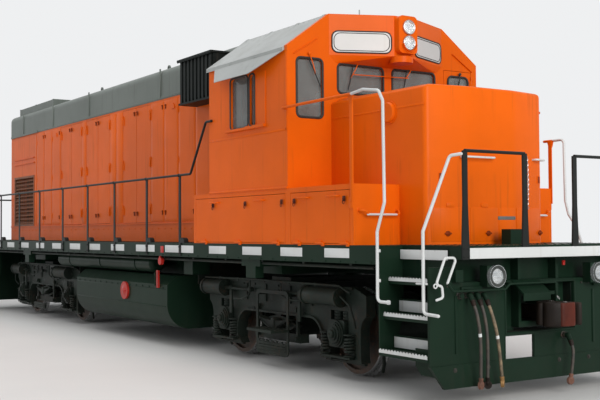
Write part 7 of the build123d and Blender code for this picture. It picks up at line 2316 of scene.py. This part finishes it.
@dataclass
class StepRails:
    """White rails at the steps, grab irons, orange box rails and the uncoupling levers."""

    body: str = ROOT
    plane: float = -1.553
    radius: float = 0.017
    main: Sequence[Pair] = (
        (6.844, 3.225), (7.060, 3.248), (7.332, 3.205), (7.404, 3.090), (7.419, 2.031), (7.292, 1.729),
        (7.292, 1.004), (7.450, 1.003),
    )
    rear: Sequence[Pair] = (
        (-7.178, 2.555), (-7.328, 2.555), (-7.414, 2.420), (-7.414, 2.031), (-7.292, 1.729), (-7.292, 1.004),
        (-7.450, 1.003),
    )
    corner: Sequence[Point] = (
        (8.241, -1.235, 2.490), (8.130, -1.285, 2.478), (8.030, -1.553, 1.729), (8.030, -1.553, 0.925),
        (8.247, -1.553, 0.915),
    )
    run: Sequence[Pair] = (
        (0.110, 1.055), (0.110, 1.190), (-0.560, 1.190), (-0.620, 1.140), (-1.320, 1.140), (-1.392, 1.222),
    )
    handle: Sequence[Pair] = (
        (-1.392, 1.222), (-1.272, 1.468), (-1.420, 1.471), (-1.537, 1.213), (-1.462, 1.195), (-1.450, 1.085),
        (-1.530, 1.065),
    )
    lever_x: float = 8.200
    grab_height: float = 1.918
    facet_height: float = 2.555
    far: Sequence[Pair] = (
        (6.844, 2.852), (7.024, 2.857), (7.036, 2.10), (7.085, 1.930), (7.205, 1.780), (7.292, 1.560),
        (7.292, 1.004), (7.450, 1.003),
    )
    box_top: Pair = (3.225, 2.852)

    def rails(self, front: Sequence[Pair]) -> Shape:
        """Hand rails of one side, with their brackets, flattened feet and bolts.

        Args:
            front: Route of the rail beside the nose.

        Returns:
            The rails, drawn on the right side.
        """
        parts = [rod([(x, self.plane, z) for x, z in route], self.radius, 0.055) for route in (front,
                                                                                               self.rear)]
        foot = slab(0.060, 0.046, 0.012, 0.014, 0.003)
        head = bolt(0.010, 0.008)
        for sign in (1, -1):
            parts.append(rod([(sign * x, y, z) for x, y, z in self.corner], self.radius, 0.045))
            parts.append(rod([(sign * 8.075, -1.546, 1.215), (sign * 7.925, -1.553, 1.215)], 0.010, 0.01, 10))
            stay = slab(0.034, 0.034, 0.028, 0.006, 0.002)
            parts.append(Side.RIGHT.wall(stay, [(sign * 7.292, z) for z in (1.22, 1.53)], 1.5235))
            parts.append(Side.RIGHT.wall(foot, [(sign * 7.462, 1.003)], 1.540))
            parts.append(Side.RIGHT.wall(head, [(sign * 7.470, 1.003)], 1.552))
        return join(parts)

    def grabs(self) -> tuple[Shape, Shape, Shape]:
        """Grab irons on the front box and on the nose.

        Returns:
            The box iron's white grip, its orange legs with their flanges, and the irons of the nose front.
        """
        z = self.grab_height
        white = rod([(6.895, -1.375, z), (6.895, -0.975, z)], 0.012, 0.026, 10)
        legs = [
            rod([(6.830, -1.455, z + 0.040), (6.872, -1.455, z + 0.046), (6.892, -1.410, z + 0.042),
                 (6.895, -1.365, z)],
                0.0115, 0.020, 10),
            rod([(6.830, -0.935, z + 0.040), (6.872, -0.935, z + 0.046), (6.892, -0.930, z + 0.010),
                 (6.895, -0.985, z)],
                0.0115, 0.016, 10),
        ]
        flange = slab(0.034, 0.070, 0.005, 0.012, 0.002)
        head = bolt(0.0065, 0.005)
        ends = [(-1.455, z + 0.040), (-0.935, z + 0.040)]
        legs.append(Side.FRONT.wall(flange, ends, 6.830))
        legs.append(Side.FRONT.wall(head, [(y, h + d) for y, h in ends for d in (-0.024, 0.024)], 6.835))
        start, along = np.array([7.280, -0.885, self.facet_height]), np.array([0.1926, 0.9813, 0.0])
        out = np.array([0.9813, -0.1926, 0.0])
        low, high = (start + along * reach for reach in (0.020, 0.185))
        far = rod([low, low + out * 0.062, high + out * 0.062, high], 0.012, 0.026, 10).mirrored()
        flat = [(7.385, -0.460, 2.545), (7.448, -0.460, 2.545), (7.448, -0.010, 2.545),
                (7.385, -0.010, 2.545)]
        return white, join(legs), join([far, rod(flat, 0.012, 0.026, 10)])

    def box_rails(self) -> None:
        """Orange rails of the front boxes on their flat posts; the left one is short and lower."""
        parts = []
        for top, side in zip(self.box_top, (Side.RIGHT, Side.LEFT)):
            y = self.plane if side is Side.RIGHT else -self.plane
            if side is Side.RIGHT:
                rail = [(5.437, -1.524, top), (5.437, y, top), (6.850, y, top)]
            else:
                rail = [(6.700, y, top), (6.850, y, top)]
            parts.append(rod(rail, self.radius, 0.014))
            post = slab(0.052, top - 2.065, 0.016, 0.003, 0.002)
            parts.append(side.wall(post, [(6.816, (top + 2.065) / 2)], 1.524))
            gusset = sheet_of([(-0.026, 0.0), (0.026, 0.0), (0.052, 0.085), (-0.052, 0.085)], 0.012)
            parts.append(side.wall(gusset, [(6.816, top - 0.085)], 1.533))
            foot = slab(0.070, 0.120, 0.008, 0.010, 0.002)
            parts.append(side.wall(foot, [(6.795, 2.045)], 1.524))
        join(parts).build("box_rails_orange", self.body, Look.BODY, node="box_rails")

    def build(self) -> None:
        """Builds the rails on both sides, and at each end the lever with its white handle."""
        white, legs, nose = self.grabs()
        right, left = self.rails(self.main), self.rails(self.far).mirrored()
        join([right, left, white.both(), nose]).build("step_rails_white", self.body, Look.WHITE,
                                                      node="step_rails")
        legs.both().build("grab_iron_legs", self.body, Look.BODY)
        self.box_rails()
        handle = rod([(self.lever_x, y, z) for y, z in self.handle], 0.013, 0.030, 12)
        turn = circle(14)
        loop = track(self.lever_x, -1.545 + 0.020 * np.cos(turn), 1.200 + 0.020 * np.sin(turn))
        grip = join([handle, tube(loop, 0.0070, 8, closed=True)])
        join([grip, grip.reversed()]).build("lever_handles", self.body, Look.WHITE)
        run = rod([(self.lever_x, y, z) for y, z in self.run], 0.0128, 0.024, 12)
        join([run, run.reversed()]).build("lever_runs", self.body, Look.SILL)


def main() -> None:
    """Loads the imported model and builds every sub-assembly in order."""
    logging.basicConfig(level=logging.INFO, format="%(name)s %(message)s")
    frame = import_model()
    Studio().build()
    AirHoses().build()
    Castings(frame).build()
    for assembly in (
        Cab(), Nose(), LongHood(), HoodRoof(), Running(), EndPlate(), StepRails(), Tank(),
        Truck("truck_front", TRUCK_CENTRE), Truck("truck_rear", -TRUCK_CENTRE, True),
        Coupler("coupler_front"), Coupler("coupler_rear", True),
    ):
        LOG.info("building %s", type(assembly).__name__)
        assembly.build()
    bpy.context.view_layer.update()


if __name__ == "__main__":
    main()
